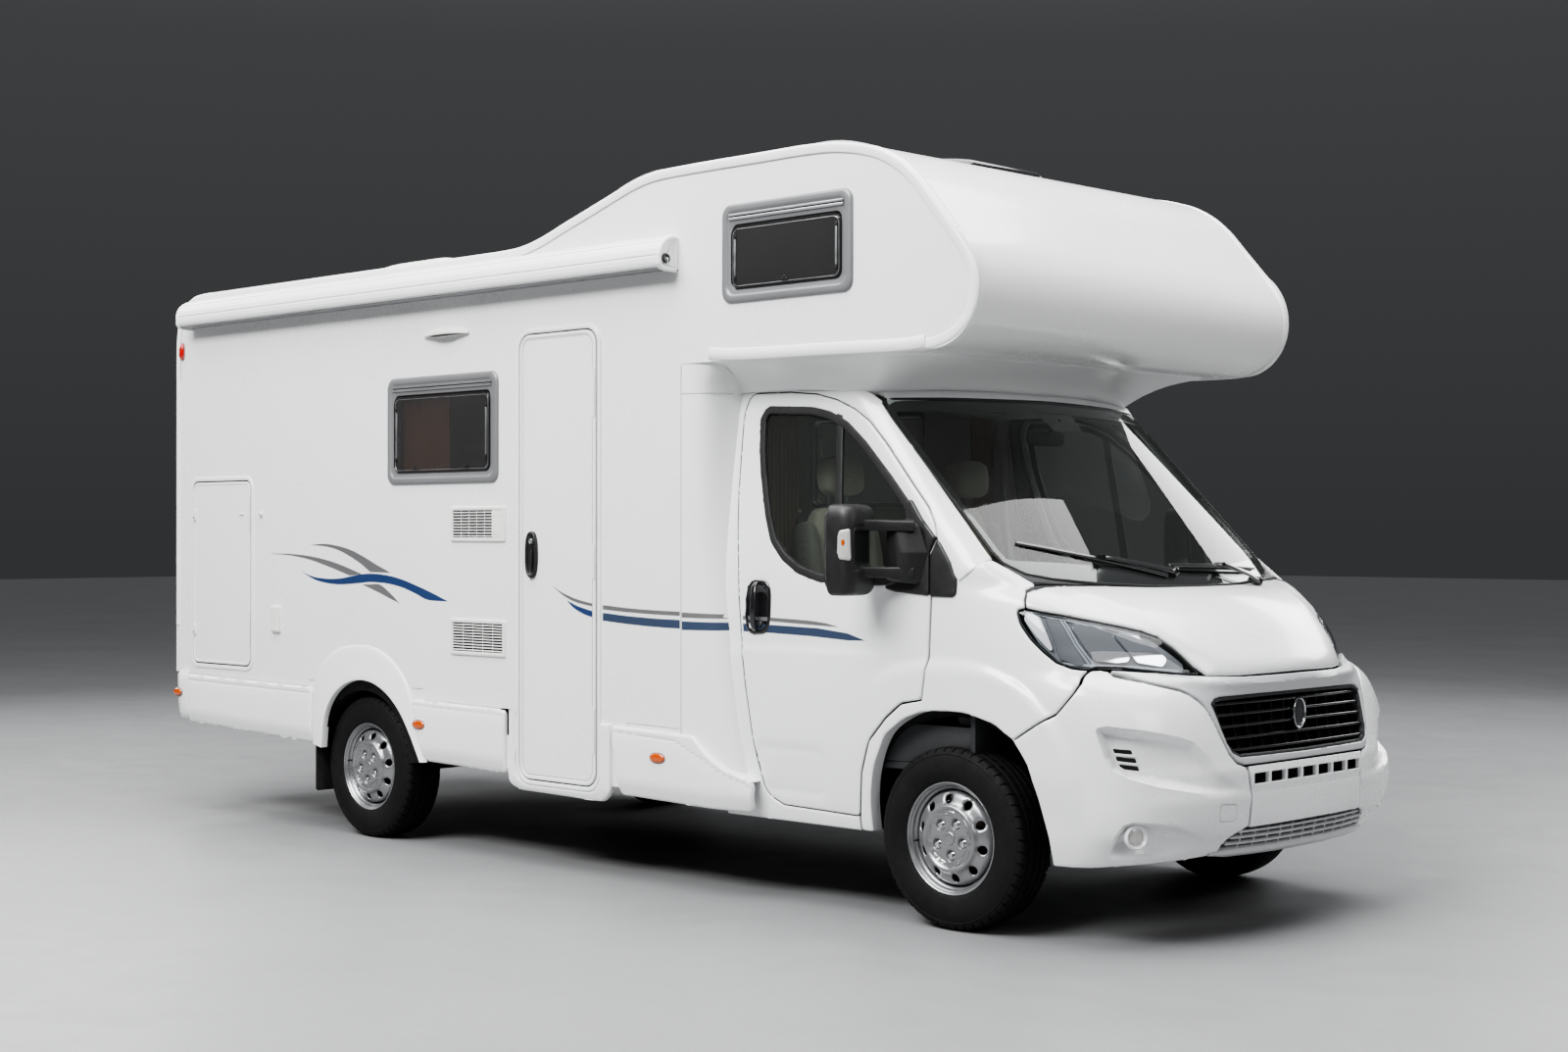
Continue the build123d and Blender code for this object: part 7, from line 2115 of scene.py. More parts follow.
_pf, _pb = cowl_rows()
_rows = []
for _t in (0.0, 0.06, 0.14, 0.30, 0.34, 0.46, 0.50, 0.62, 0.66, 0.80, 0.93, 1.0):
    _m = _pf * (1 - _t) + _pb * _t
    _dz = -0.014 * math.sin(math.pi * min(1, max(0, _t))) + (0.004 if _t in (0.34, 0.46, 0.66, 0.80) else 0.0)
    if _t < 0.05:
        _dz = -0.016
    _m = _m + (0, 0, _dz)
    _rows.append(_m)
_rows = np.array(_rows)
_rows[0, :, 0] += 0.006
_low = _rows[::-1] - (0, 0, 0.012)
g = grid_geo(np.transpose(np.concatenate([_rows, _low]), (1, 0, 2)), closed_v=True, cap_u=True)
make("cowl_panel", outward(g), M["dark"], replaces="cab_shell", slot="black_plastic", smooth=30)
# rain grid slats
g = Geo()
for _t in (0.34, 0.46):
    _m = _pf * (1 - _t) + _pb * _t + (0, 0, -0.006)
    g.join(outward(sweep(_m[6:-6], ellipse(0, 0, 0.0022, 0.0045, 8), normal=(0, 0, 1))))
make("cowl_slats", g, M["black"], replaces="cab_shell", slot="black_plastic")
# washer jets
g = Geo()
for _yy in (-0.36, 0.36):
    _k = int(np.argmin(np.abs(_pf[:, 1] - _yy)))
    _c = _pf[_k] * 0.72 + _pb[_k] * 0.28
    _L = rounded(A((-0.016, 0.0), (0.014, 0.0), (0.010, 0.018), (-0.002, 0.022), (-0.012, 0.012)), 0.004, 3)
    g.join(xz_prism(_L + _c[[0, 2]] + (0, -0.012), _c[1] - 0.011, _c[1] + 0.011))
make("washer_jets", g, M["black"], replaces="cab_shell", slot="black_plastic", bevel=0.002)


# ---- wipers: pivots at the cowl, arms and blades laid on the glass
def wiper(name, y0, z0, y1, z1, blade, pivot, foot=(0.015, 0, -0.012), low=0.0):
    """Arm from pivot (y, z) to the blade middle; blade is ((y, z), (y, z)) on the glass."""
    g, r = Geo(), Geo()
    s = np.linspace(0, 1, 22)
    b0, b1 = A(*blade)
    q = b0 + (b1 - b0) * s[:, None]
    p, n = SC(q)
    bow = np.sin(np.pi * s)[:, None]
    g.join(outward(sweep(p + n * (0.020 - low + 0.006 * bow * (1 - 60 * low)), rounded(A((-0.011, -0.003), (0.011, -0.003), (0.006, 0.005), (-0.006, 0.005)), 0.002, 3), normal=n)))
    r.join(outward(sweep(p + n * (0.011 - 0.45 * low), A((-0.003, -0.0055), (0.003, -0.0055), (0.004, 0.006), (-0.004, 0.006)), normal=n)))
    mid = (b0 + b1) / 2
    pm, nm = SC(mid[None])
    pp, np_ = SC(A(pivot))
    base = pp[0] + np_[0] * (0.026 - low * 0.5) + foot
    top = pm[0] + nm[0] * (0.031 - low)
    knee = base * 0.68 + top * 0.32 + nm[0] * (0.012 - low)
    path = resample(spline(np.array([base, knee, top * 0.75 + knee * 0.25 + nm[0] * 0.004, top]), 8), 0.02)
    sc = 1.25 - 0.45 * np.linspace(0, 1, len(path))
    g.join(outward(sweep(path, rounded(A((-0.012, -0.005), (0.012, -0.005), (0.010, 0.006), (-0.010, 0.006)), 0.003, 3), normal=nm[0], scale=sc)))
    g.join(lathe([(0, -0.045), (0.020, -0.045), (0.021, -0.004), (0.017, 0.008), (0.008, 0.013), (0, 0.014)], base, "x", 24, side=1).moved((0, 0, 0)))
    c = box(-0.02, 0.02, -0.012, 0.012, -0.006, 0.010)
    g.join(c.moved(top))
    make(name, g, M["black_gloss"], replaces="windscreen", slot="black_plastic", smooth=40, bevel=0.0)
    make(name + "_rubber", r, M["seal"], replaces="windscreen", slot="black_plastic")


wiper("passenger_wiper", 0, 0, 0, 0, ((-0.800, 1.504), (-0.180, 1.372)), (-0.12, 1.374), (-0.010, 0, 0.004), 0.010)
wiper("driver_wiper", 0, 0, 0, 0, ((-0.130, 1.405), (0.560, 1.385)), (0.46, 1.338))

# ---- headlamps
g = panel([inset(LAMP_L, 0.003)], WR, thick=0.0035, edge=0.0012, grid=0.022, height=lambda p: 0.001 + 0.006 * depth_in(p, LAMP_L, 0.09))
pair("headlamp_lens", g, M["lens_clear"], replaces="headlamps", slot="lamp_clear", smooth=60)
g = panel([offset_loop(ccw(resample(LAMP_L, 0.012, True)), 0.003)], WR, thick=0.006, edge=0.001, grid=0.04, height=lambda p: np.full(len(p), -0.085))
pair("headlamp_back", g, M["black_matt"], replaces="headlamps", slot="black_plastic")
# dark rim round the lens and walls into the housing
_li = inset(LAMP_L, 0.0075)
g = panel([inset(LAMP_L, 0.001), _li], WR, thick=0.086, edge=0.0015, grid=0.05, height=lambda p: np.full(len(p), -0.004))
pair("headlamp_rim", g, M["black"], replaces="headlamps", slot="black_plastic")


def lamp_cell(loop, depth, bowl, mat, name, ribs=0, slot="lamp_clear"):
    """Dished reflector: rim just under the lens, bottom at depth."""
    def h(p):
        t = depth_in(p, loop, bowl)
        v = -0.014 - depth * (1 - (1 - t) ** 2)
        if ribs:
            v = v + 0.0030 * np.sin(p[:, 0] * ribs) * t + 0.0030 * np.sin(p[:, 1] * ribs) * t
        return v
    gg = panel([loop], WR, thick=lambda p: 0.003 - (h(p) - h(p)), edge=0.001, grid=0.0075, height=h, step=0.008)
    pair(name, gg, mat, replaces="headlamps", slot=slot, smooth=60)


def lamp_pt(u, v):
    """u along the lamp 0..1 from the rear tip, v 0..1 from its lower to its upper edge."""
    a = 0.565 + u * 0.665
    lo = float(pchip(A(0.549, 0.562, 0.599, 0.644, 0.692, 0.756, 0.833, 0.878, 0.977, 1.093, 1.187, 1.268),
                     A(1.248, 1.206, 1.150, 1.103, 1.066, 1.046, 1.038, 1.046, 1.042, 1.028, 1.017, 1.012), A(a))[0])
    hi = float(pchip(A(0.549, 0.600, 0.663, 0.811, 0.941, 1.044, 1.118, 1.167, 1.205, 1.228, 1.255, 1.268),
                     A(1.248, 1.258, 1.251, 1.233, 1.211, 1.189, 1.170, 1.147, 1.108, 1.075, 1.036, 1.012), A(a))[0])
    return a, lo + (hi - lo) * v


def lp(*uv):
    return A(*[lamp_pt(u, v) for u, v in uv])


lamp_cell(rounded(lp((0.03, 0.62), (0.10, 0.30), (0.20, 0.10), (0.165, 0.90), (0.06, 0.92)), 0.012, 4), 0.020, 0.03, M["silver_trim"], "lamp_side_cell")
lamp_cell(rounded(lp((0.205, 0.92), (0.225, 0.10), (0.36, 0.07), (0.395, 0.12), (0.30, 0.92)), 0.012, 4), 0.028, 0.035, M["chrome"], "lamp_turn_cell", 420)
lamp_cell(rounded(lp((0.365, 0.90), (0.47, 0.14), (0.60, 0.12), (0.70, 0.20), (0.60, 0.90)), 0.02, 5), 0.055, 0.06, M["chrome"], "lamp_main_cell")
lamp_cell(rounded(lp((0.63, 0.86), (0.72, 0.18), (0.86, 0.16), (0.90, 0.40), (0.78, 0.86)), 0.016, 5), 0.045, 0.05, M["chrome"], "lamp_beam_cell")
# fins between the cells and the light bar along the foot
g = Geo()
for _u0, _u1 in ((0.325, 0.430), (0.350, 0.455)):
    _q = resample(lp((_u0, 0.93), ((_u0 + _u1) / 2 - 0.01, 0.5), (_u1, 0.07)), 0.008)
    _p, _n = WR(_q)
    g.join(outward(sweep(_p - _n * 0.012, rounded(A((-0.0045, -0.030), (0.0045, -0.030), (0.003, 0.004), (-0.003, 0.004)), 0.0015, 2), normal=_n)))
_q = resample(lp((0.24, 0.045), (0.45, 0.05), (0.70, 0.06), (0.95, 0.12)), 0.01)
_p, _n = WR(_q)
g.join(outward(sweep(_p - _n * 0.010, rounded(A((-0.007, -0.010), (0.007, -0.010), (0.006, 0.003), (-0.006, 0.003)), 0.002, 2), normal=_n)))
_q = resample(lp((0.05, 0.95), (0.3, 0.955), (0.60, 0.95), (0.80, 0.92)), 0.01)
_p, _n = WR(_q)
g.join(outward(sweep(_p - _n * 0.010, rounded(A((-0.004, -0.010), (0.004, -0.010), (0.004, 0.003), (-0.004, 0.003)), 0.0015, 2), normal=_n)))
pair("lamp_fins", g, M["silver_trim"], replaces="headlamps", slot="lamp_clear")
# bulbs in the two reflectors, dark bezel between them
g = Geo()
for _u, _v, _r in ((0.53, 0.5, 0.016), (0.80, 0.48, 0.013)):
    _p, _n = WR(A(lamp_pt(_u, _v)))
    g.join(lathe([(0, -0.062), (_r * 1.3, -0.062), (_r * 1.3, -0.050), (_r, -0.044), (_r, -0.024), (_r * 0.7, -0.018), (0, -0.016)], (0, 0, 0), "x", 24)
           .moved(_p[0], np.stack([_n[0], np.cross((0, 0, 1.0), _n[0]), (0, 0, 1.0)], 1)))
pair("lamp_bulbs", g, M["lens_white"], replaces="headlamps", slot="lamp_clear")
_bz = rounded(lp((0.03, 0.95), (0.02, 0.60), (0.10, 0.12), (0.22, 0.03), (0.60, 0.03), (0.97, 0.05), (0.99, 0.60), (0.85, 0.95), (0.5, 0.97)), 0.01, 4)
_cells = [rounded(lp((0.03, 0.62), (0.10, 0.30), (0.20, 0.10), (0.165, 0.90), (0.06, 0.92)), 0.012, 4),
          rounded(lp((0.205, 0.92), (0.225, 0.10), (0.36, 0.07), (0.395, 0.12), (0.30, 0.92)), 0.012, 4),
          rounded(lp((0.365, 0.90), (0.47, 0.14), (0.60, 0.12), (0.70, 0.20), (0.60, 0.90)), 0.02, 5),
          rounded(lp((0.63, 0.86), (0.72, 0.18), (0.86, 0.16), (0.90, 0.40), (0.78, 0.86)), 0.016, 5)]
g = panel([_bz] + [inset(c, -0.0005) for c in _cells], WR, thick=0.008, edge=0.0012, grid=0.02, height=lambda p: np.full(len(p), -0.016), step=0.008)
pair("lamp_bezel", g, M["grey_trim"], replaces="headlamps", slot="dark_trim")

# ---- cab roof and header over the glass
_yy = np.linspace(-0.90, 0.90, 49)
_zt = np.interp(np.abs(_yy), (0, 0.598, 0.855, 0.90), (2.112, 2.104, 2.093, 2.075))
_p0, _n0 = SC(np.stack([_yy * 0.955, _zt], -1))
_rows = [_p0 + _n0 * 0.001]
for _k, (_dx, _z, _w) in enumerate(((-0.030, 2.135, 0.99), (-0.075, 2.155, 0.985), (-0.18, 2.172, 0.97), (-0.45, 2.182, 0.95), (-0.82, 2.184, 0.95))):
    _r = _p0.copy()
    _r[:, 0] = _p0[:, 0] + _dx if _k < 4 else -1.246
    _r[:, 1] = _p0[:, 1] * _w * (1.0 + 0.03 * min(1, _k / 3))
    _r[:, 2] = _z - 0.020 * (np.abs(_yy) / 0.9) ** 4 * (1 + 0.4 * _k) * 0.5
    _rows.append(_r)
_rows = np.array(_rows)
g = grid_geo(np.transpose(np.concatenate([_rows, _rows[::-1] - (0, 0, 0.020)]), (1, 0, 2)), closed_v=True, cap_u=True)
make("cab_roof_skin", outward(g), M["cab"], replaces="cab_shell", slot="cab_white", smooth=45)
_hl = _rows[1:].copy() - (0.02, 0, 0.055)
_hl[:, :, 1] *= 0.93
g = grid_geo(np.transpose(np.concatenate([_hl, _hl[::-1] - (0, 0, 0.010)]), (1, 0, 2)), closed_v=True, cap_u=True)
make("cab_headliner", outward(g), M["headliner"], replaces="cab_shell", slot="seat_cloth", smooth=45)

# ---- hidden structure: floor, bulkhead, two raised boxes at the sides, sills, steps
g = Geo()
g.join(box(-1.225, 0.10, -0.955, 0.955, 0.604, 0.634))
g.join(box(0.084, 0.110, -0.975, 0.975, 0.604, 1.300))
g.join(box(-0.46, 0.10, -0.955, -0.560, 0.634, 0.792))
g.join(box(-0.46, 0.10, 0.560, 0.955, 0.634, 0.792))
make("cab_floor", g, M["dark"], replaces="cab_shell", slot="dark_trim", bevel=0.006)
g = xz_prism(rounded(A((-1.00, 0.345), (-0.475, 0.345), (-0.475, 0.604), (-1.225, 0.604), (-1.225, 0.42), (-1.08, 0.38)), 0.01, 3), -0.955, -0.870)
pair("cab_sill", g, M["cab"], replaces="cab_shell", slot="cab_white", bevel=0.004)
g = xz_prism(rounded(A((-0.96, 0.600), (-0.50, 0.600), (-0.50, 0.500), (-0.56, 0.480), (-0.90, 0.480)), 0.01, 3), -0.980, -0.870)
pair("cab_step", g, M["black"], replaces="cab_shell", slot="black_plastic", bevel=0.003)
# black skin behind the nose panels: painted shade, so the joints look dark and no daylight shows through them
_bk = both(A((0.53, 1.20), (0.62, 1.00), (0.60, 0.86), (0.56, 0.62), (0.58, 0.34), (0.92, 0.335), (1.26, 0.345), (A_MID, 0.350)))
_bk = np.vstack([_bk, A((2 * A_MID - 0.60, 1.262), (A_MID, 1.262), (0.60, 1.262))])
g = panel([_bk], WR, thick=0.006, edge=0.001, grid=0.06, height=lambda p: np.full(len(p), -0.115), step=0.04)
make("nose_inner_skin", g, M["black_matt"], replaces="cab_shell", slot="black_plastic")


# ---------------------------------------------------------------- mirrors
def mirror_head():
    x0, x1, y0, y1, z0, z1 = -0.424, -0.288, 1.066, 1.268, 1.300, 1.664
    zc, hz, cx, cy = (z0 + z1) / 2, (z1 - z0) / 2, (x0 + x1) / 2, (y0 + y1) / 2
    base = rounded(A((x0, y0), (x1, y0 + 0.012), (x1, y1 - 0.010), (x0, y1)), [0.018, 0.050, 0.060, 0.022], 9)
    base = resample(base, 0.006, True)
    ph = np.linspace(-1, 1, 45)
    rows = []
    for u in np.sin(ph * math.pi / 2) * 0.9995:
        s = (1 - abs(u) ** 5.2) ** (1 / 4.2)
        q = base.copy()
        q[:, 0] = x0 + 0.010 * (1 - s) + (q[:, 0] - x0) * (0.22 + 0.78 * s)
        q[:, 1] = cy + (q[:, 1] - cy) * (0.30 + 0.70 * s)
        z = zc + hz * u
        band = smoothstep(1.402, 1.424, z) * smoothstep(1.578, 1.556, z)
        inn = smoothstep(1.232, 1.214, q[:, 1]) * smoothstep(x0 + 0.055, x1 - 0.02, q[:, 0])
        q[:, 0] -= 0.034 * band * inn
        q[:, 0] += 0.004 * smoothstep(0.2, 1, abs(u)) * 0
        rows.append(np.stack([q[:, 0], -q[:, 1], np.full(len(q), z)], -1))
    return outward(grid_geo(np.array(rows), closed_v=True, cap_u=True))


pair("mirror_head", mirror_head(), M["black"], DOORS, "#_mirror", slot="black_plastic", smooth=60)
# C-shaped bracket: down the outer front of the head and back along two arms
_br = spline(A((-0.150, -1.036, 1.575), (-0.205, -1.072, 1.577), (-0.262, -1.112, 1.579), (-0.296, -1.150, 1.580), (-0.311, -1.195, 1.579), (-0.315, -1.222, 1.566),
               (-0.316, -1.230, 1.535), (-0.316, -1.231, 1.485), (-0.316, -1.230, 1.440), (-0.315, -1.222, 1.411), (-0.311, -1.195, 1.398), (-0.296, -1.150, 1.395),
               (-0.262, -1.112, 1.394), (-0.205, -1.072, 1.394), (-0.150, -1.036, 1.394)), 7)
_sec = rounded(A((-0.022, -0.015), (0.022, -0.015), (0.022, 0.015), (-0.022, 0.015)), 0.009, 4)
g = sweep(_br, _sec, normal=(0.62, -0.78, 0))
pair("mirror_bracket", outward(g), M["black"], DOORS, "#_mirror", slot="black_plastic", smooth=50)


def mirror_foot():
    a = resample(rounded(A((-0.238, 1.352), (-0.120, 1.346), (-0.100, 1.470), (-0.142, 1.575), (-0.176, 1.604), (-0.222, 1.600)), 0.02, 4), 0.008, True)
    c = A((-0.190, 1.484))
    rows = []
    for t in np.r_[0, 0.3, 0.55, 0.75, 0.9, 0.97, 1.0]:
        k = 1 - 0.30 * t**1.6 - 0.10 * smoothstep(0.85, 1.0, t)
        q = c + (a - c) * (k, 1 - 0.10 * t**2 - 0.05 * smoothstep(0.85, 1, t))
        q[:, 0] -= 0.045 * t
        y = 1.012 + 0.066 * t
        rows.append(np.stack([q[:, 0], np.full(len(q), -y), q[:, 1]], -1))
    return outward(grid_geo(np.array(rows), closed_v=True, cap_u=True))


pair("mirror_foot", mirror_foot(), M["black"], DOORS, "#_mirror", slot="black_plastic", smooth=50)
# upper and lower mirror glass with their frame, facing back
_bk = flat((-0.4245, 0, 0), (0, 1, 0), (0, 0, 1))
if True:
    _t = panel([rrect(-1.255, -1.092, 1.352, 1.645, 0.03, 5)], _bk, thick=0.003, edge=0.001, grid=0.05)
    _nx = _t.verts()[:, 0]
    if _nx.max() > -0.4235:                      # turned the wrong way round: lay it out from the other hand
        _bk = flat((-0.4245, 0, 0), (0, 0, 1), (0, 1, 0))
        SW = lambda L: np.asarray(L)[:, ::-1]
    else:
        SW = lambda L: np.asarray(L)
for _n, _L in (("mirror_glass_main", rrect(-1.248, -1.090, 1.448, 1.640, 0.032, 6)), ("mirror_glass_wide", rrect(-1.248, -1.090, 1.330, 1.434, 0.028, 6))):
    g = panel([SW(_L)], _bk, thick=0.002, edge=0.0008, grid=0.03, height=lambda p: np.full(len(p), 0.0012))
    pair(_n, g, M["mirror"] if "mirror" in M else M["chrome"], DOORS, "#_mirror", slot="silver_wheel")
    g = panel([SW(offset_loop(ccw(_L), 0.006)), SW(inset(ccw(_L), 0.001))], _bk, thick=0.002, edge=0.0012, grid=0.03, height=lambda p: np.full(len(p), 0.0022))
    pair(_n + "_frame", g, M["black"], DOORS, "#_mirror", slot="black_plastic")


# indicator on the outer front corner
def ind_surf(p):
    """(t, z): t runs round the outer front corner of the head, 0 at its middle."""
    x0, x1, y1 = -0.424, -0.302, 1.268
    ang = np.clip(p[:, 0] / 0.050, -1.3, 1.3)
    cxx, cyy = -0.3475, 1.2085
    nx, ny = np.cos(math.pi / 4 + ang * 0.62 + 0.10), np.sin(math.pi / 4 + ang * 0.62 + 0.10)
    return np.stack([cxx + 0.0605 * nx, -(cyy + 0.0585 * ny), p[:, 1]], -1), np.stack([nx, -ny, 0 * nx], -1)


_il = rounded(A((-0.036, 1.440), (0.036, 1.446), (0.044, 1.468), (0.044, 1.538), (0.034, 1.558), (-0.030, 1.566)), [0.012, 0.018, 0.02, 0.02, 0.018, 0.012], 5)
_il = _il + (0.010, 0)
g = panel([_il], ind_surf, thick=0.010, edge=0.004, grid=0.008, height=lambda p: 0.0015 + 0.0006 * np.cos(p[:, 0] * 2 * math.pi / 0.006) * (np.abs(p[:, 1] - 1.50) < 0.045))
pair("mirror_indicator_lens", g, M["lens_white"], DOORS, "#_mirror", slot="lamp_clear", smooth=25)
g = panel([ellipse(0.020, 1.512, 0.010, 0.014, 20)], ind_surf, thick=0.004, edge=0.002, grid=0.01, height=lambda p: np.full(len(p), 0.0032))
pair("mirror_indicator_bulb", g, M["amber"], DOORS, "#_mirror", slot="lamp_clear")


# ---------------------------------------------------------- skirts, flares
SKIRT_Y = 1.121
FLARE_IN = spline(A((-4.108, 0.440), (-4.103, 0.480), (-4.086, 0.583), (-4.046, 0.665), (-3.979, 0.733), (-3.890, 0.780),
                    (-3.796, 0.801), (-3.700, 0.800), (-3.618, 0.780), (-3.523, 0.735), (-3.435, 0.665), (-3.366, 0.583),
                    (-3.298, 0.483), (-3.262, 0.425)), 6)
FLARE_OUT = spline(A((-4.208, 0.452), (-4.210, 0.540), (-4.212, 0.672), (-4.200, 0.760), (-4.154, 0.840), (-4.069, 0.912),
                     (-3.951, 0.961), (-3.819, 0.979), (-3.688, 0.974), (-3.560, 0.935), (-3.450, 0.862), (-3.378, 0.773),
                     (-3.328, 0.640), (-3.240, 0.425)), 6)


def even(pts, n):
    p = np.asarray(pts, float)
    d = np.r_[0, np.cumsum(np.linalg.norm(np.diff(p, axis=0), axis=1))]
    t = np.linspace(0, d[-1], n)
    return np.stack([np.interp(t, d, p[:, k]) for k in range(p.shape[1])], -1)


def skirt(name, loop, zg, node, slot="body_white"):
    L = ccw(loop)

    def h(p):
        zt = np.interp(p[:, 0], zg[:, 0], zg[:, 1])
        lo = np.interp(p[:, 0], zg[:, 0], zg[:, 2])
        v = -0.0032 * np.exp(-(((p[:, 1] - zt) / 0.0045) ** 2))
        v -= 0.022 * smoothstep(lo + 0.085, lo - 0.01, p[:, 1]) ** 1.4
        v -= 0.060 * smoothstep(-1.27, -0.95, p[:, 0])
        return v + 0.003 * smoothstep(zt - 0.012, zt - 0.05, p[:, 1])
    xs = np.arange(L[:, 0].min() + 0.02, L[:, 0].max() - 0.02, 0.03)
    keep = []
    for dz in (-0.012, -0.005, 0.0, 0.005, 0.012, -0.05):
        keep.append(np.stack([xs, np.interp(xs, zg[:, 0], zg[:, 1]) + dz], -1))
    for dz in (0.02, 0.045, 0.07, 0.09):
        keep.append(np.stack([xs, np.interp(xs, zg[:, 0], zg[:, 2]) + dz], -1))
    g = panel([L], wall_surf(-1, SKIRT_Y), thick=0.020, edge=0.007, grid=0.06, height=h, step=0.02, keep_pts=np.vstack(keep))
    return g


_RS = [("skirt_rear", rounded(A((-5.438, 0.494), (-4.2135, 0.457), (-4.2135, 0.744), (-5.438, 0.755)), [0.006, 0.02, 0.02, 0.006], 4),
        A((-5.44, 0.725, 0.494), (-4.20, 0.712, 0.457))),
       ("skirt_middle", rounded(A((-3.232, 0.430), (-2.612, 0.420), (-2.616, 0.715), (-3.352, 0.728), (-3.318, 0.628), (-3.292, 0.538)), [0.01, 0.02, 0.02, 0.02, 0.06, 0.06], 4),
        A((-3.36, 0.700, 0.430), (-2.64, 0.688, 0.420))),
       ("skirt_front", rounded(A((-1.806, 0.388), (-1.026, 0.371), (-1.020, 0.503), (-1.147, 0.546), (-1.250, 0.612), (-1.331, 0.679), (-1.862, 0.692)),
                               [0.02, 0.03, 0.04, 0.2, 0.2, 0.05, 0.02], 5),
        A((-1.86, 0.664, 0.389), (-1.45, 0.650, 0.382), (-1.26, 0.578, 0.377), (-1.15, 0.520, 0.374), (-1.0, 0.470, 0.371)))]
_LS = [_RS[0], ("skirt_front", rounded(A((-3.232, 0.430), (-1.026, 0.371), (-1.020, 0.503), (-1.147, 0.546), (-1.250, 0.612), (-1.331, 0.679),
                                         (-3.352, 0.728), (-3.318, 0.628), (-3.292, 0.538)), [0.01, 0.03, 0.04, 0.2, 0.2, 0.05, 0.02, 0.06, 0.06], 5),
                A((-3.36, 0.700, 0.430), (-1.45, 0.650, 0.382), (-1.26, 0.578, 0.377), (-1.15, 0.520, 0.374), (-1.0, 0.470, 0.371)))]
for _n, _l, _zg in _RS:
    make("right_" + _n, skirt(_n, _l, _zg, None), M["abs"], replaces="right_skirts", slot="body_white", smooth=40)
for _n, _l, _zg in _LS:
    make("left_" + _n, skirt(_n, _l, _zg, None).mirrored(), M["abs"], replaces="left_skirts", slot="body_white", smooth=40)


# closing strips behind the tops and ends of the skirts
for _sd, _runs in (("right", ((-5.44, -4.14, 0.62, 0.80), (-3.42, -2.60, 0.60, 0.80), (-1.93, -1.43, 0.60, 0.78), (-2.66, -2.536, 0.44, 0.74), (-1.93, -1.79, 0.42, 0.74))),
                   ("left", ((-5.44, -4.14, 0.62, 0.80), (-3.42, -1.43, 0.60, 0.80)))):
    g = Geo()
    for _x0, _x1, _z0, _z1 in _runs:
        g.join(xz_prism(rrect(_x0, _x1, _z0, _z1, 0.004, 2), -1.1005, -1.0950))
    if _sd == "right":
        g.join(xz_prism(rrect(-1.885, -1.765, 0.684, 0.730, 0.004, 2), -1.1046, -1.1000))
        g.join(box(-2.6175, -2.6125, -1.1185, -1.0950, 0.430, 0.702))
    if _sd == "left":
        g = g.mirrored()
    make(_sd + "_skirt_rail", g, M["abs"], replaces=_sd + "_skirts", slot="body_white")


def flare():
    n = 90
    o, i = even(FLARE_OUT, n), even(FLARE_IN, n)
    rows = []
    for t, y in ((-0.12, 1.0985), (-0.12, 1.1035), (0.0, 1.1040), (0.0, 1.1085), (0.035, 1.1125), (0.10, 1.1150), (0.35, 1.1185), (0.62, 1.1225), (0.84, 1.1275), (0.94, 1.1290),
                 (0.985, 1.1280), (1.0, 1.1240), (1.0, 1.1000), (0.985, 1.0900), (0.94, 1.1000), (0.5, 1.1010)):
        q = o * (1 - t) + i * t
        rows.append(np.stack([q[:, 0], np.full(n, -y), q[:, 1]], -1))
    return outward(grid_geo(np.transpose(np.array(rows), (1, 0, 2)), closed_v=True, cap_u=True))


_f = flare()
make("right_wheel_flare", _f, M["abs"], replaces="right_skirts", slot="body_white", smooth=45)
make("left_wheel_flare", _f.mirrored(), M["abs"], replaces="left_skirts", slot="body_white", smooth=45)
# wheel house: black liner from the lip inward
_i = even(FLARE_IN, 60)
_c = A((-3.80, 0.40))
_d = (_i - _c) / np.linalg.norm(_i - _c, axis=1, keepdims=True)
_rows = []
_wc = A((-3.80, 0.359))
_arc = _wc + (_i - _wc) / np.linalg.norm(_i - _wc, axis=1, keepdims=True) * 0.388
for _r, _y in ((0.0, 1.1005), (0.05, 1.090), (1.0, 1.074), (1.0, 1.06), (1.0, 0.95), (1.0, 0.80), (1.0, 0.70)):
    _q = _i + (_arc - _i) * _r
    _rows.append(np.stack([_q[:, 0], np.full(60, -_y), _q[:, 1]], -1))
_rows = np.array(_rows)
_b = _rows[::-1].copy()
_b[:, :, 0] += (_d[:, 0] * 0.006)
_b[:, :, 2] += (_d[:, 1] * 0.006)
_g = outward(grid_geo(np.transpose(np.concatenate([_rows, _b]), (1, 0, 2)), closed_v=True, cap_u=True))
make("right_rear_wheel_house", _g, M["black_matt"], replaces="right_skirts", slot="black_plastic")
make("left_rear_wheel_house", _g.mirrored(), M["black_matt"], replaces="left_skirts", slot="black_plastic")
# mud flap behind each rear wheel
_mf = yz_prism(rounded(A((-1.085, 0.205), (-0.830, 0.205), (-0.830, 0.520), (-1.085, 0.520)), 0.015, 4), -4.222, -4.214)
_mf.join(yz_prism(rounded(A((-1.080, 0.495), (-0.835, 0.495), (-0.835, 0.535), (-1.080, 0.535)), 0.006, 3), -4.213, -4.205))
for _yy in (-1.05, -0.96, -0.87):
    _mf.join(lathe([(0, 0), (0.009, 0), (0.008, 0.005), (0, 0.006)], (-4.2045, _yy, 0.515), "x", 12))
make("right_mud_flap", _mf, M["flap"], slot="black_plastic", bevel=0.0015)
make("left_mud_flap", _mf.mirrored(), M["flap"], slot="black_plastic", bevel=0.0015)


# ---- fairing between living body and cab, and the panel under the pod
_fp = spline(A((-1.430, 1.1052), (-1.412, 1.1052), (-1.365, 1.099), (-1.318, 1.078), (-1.282, 1.040), (-1.262, 0.995), (-1.252, 0.950)), 6)


_fw = smoothstep(-1.43, -1.275, _fp[:, 0])
_fk = smoothstep(1.070, 0.955, _fp[:, 1])


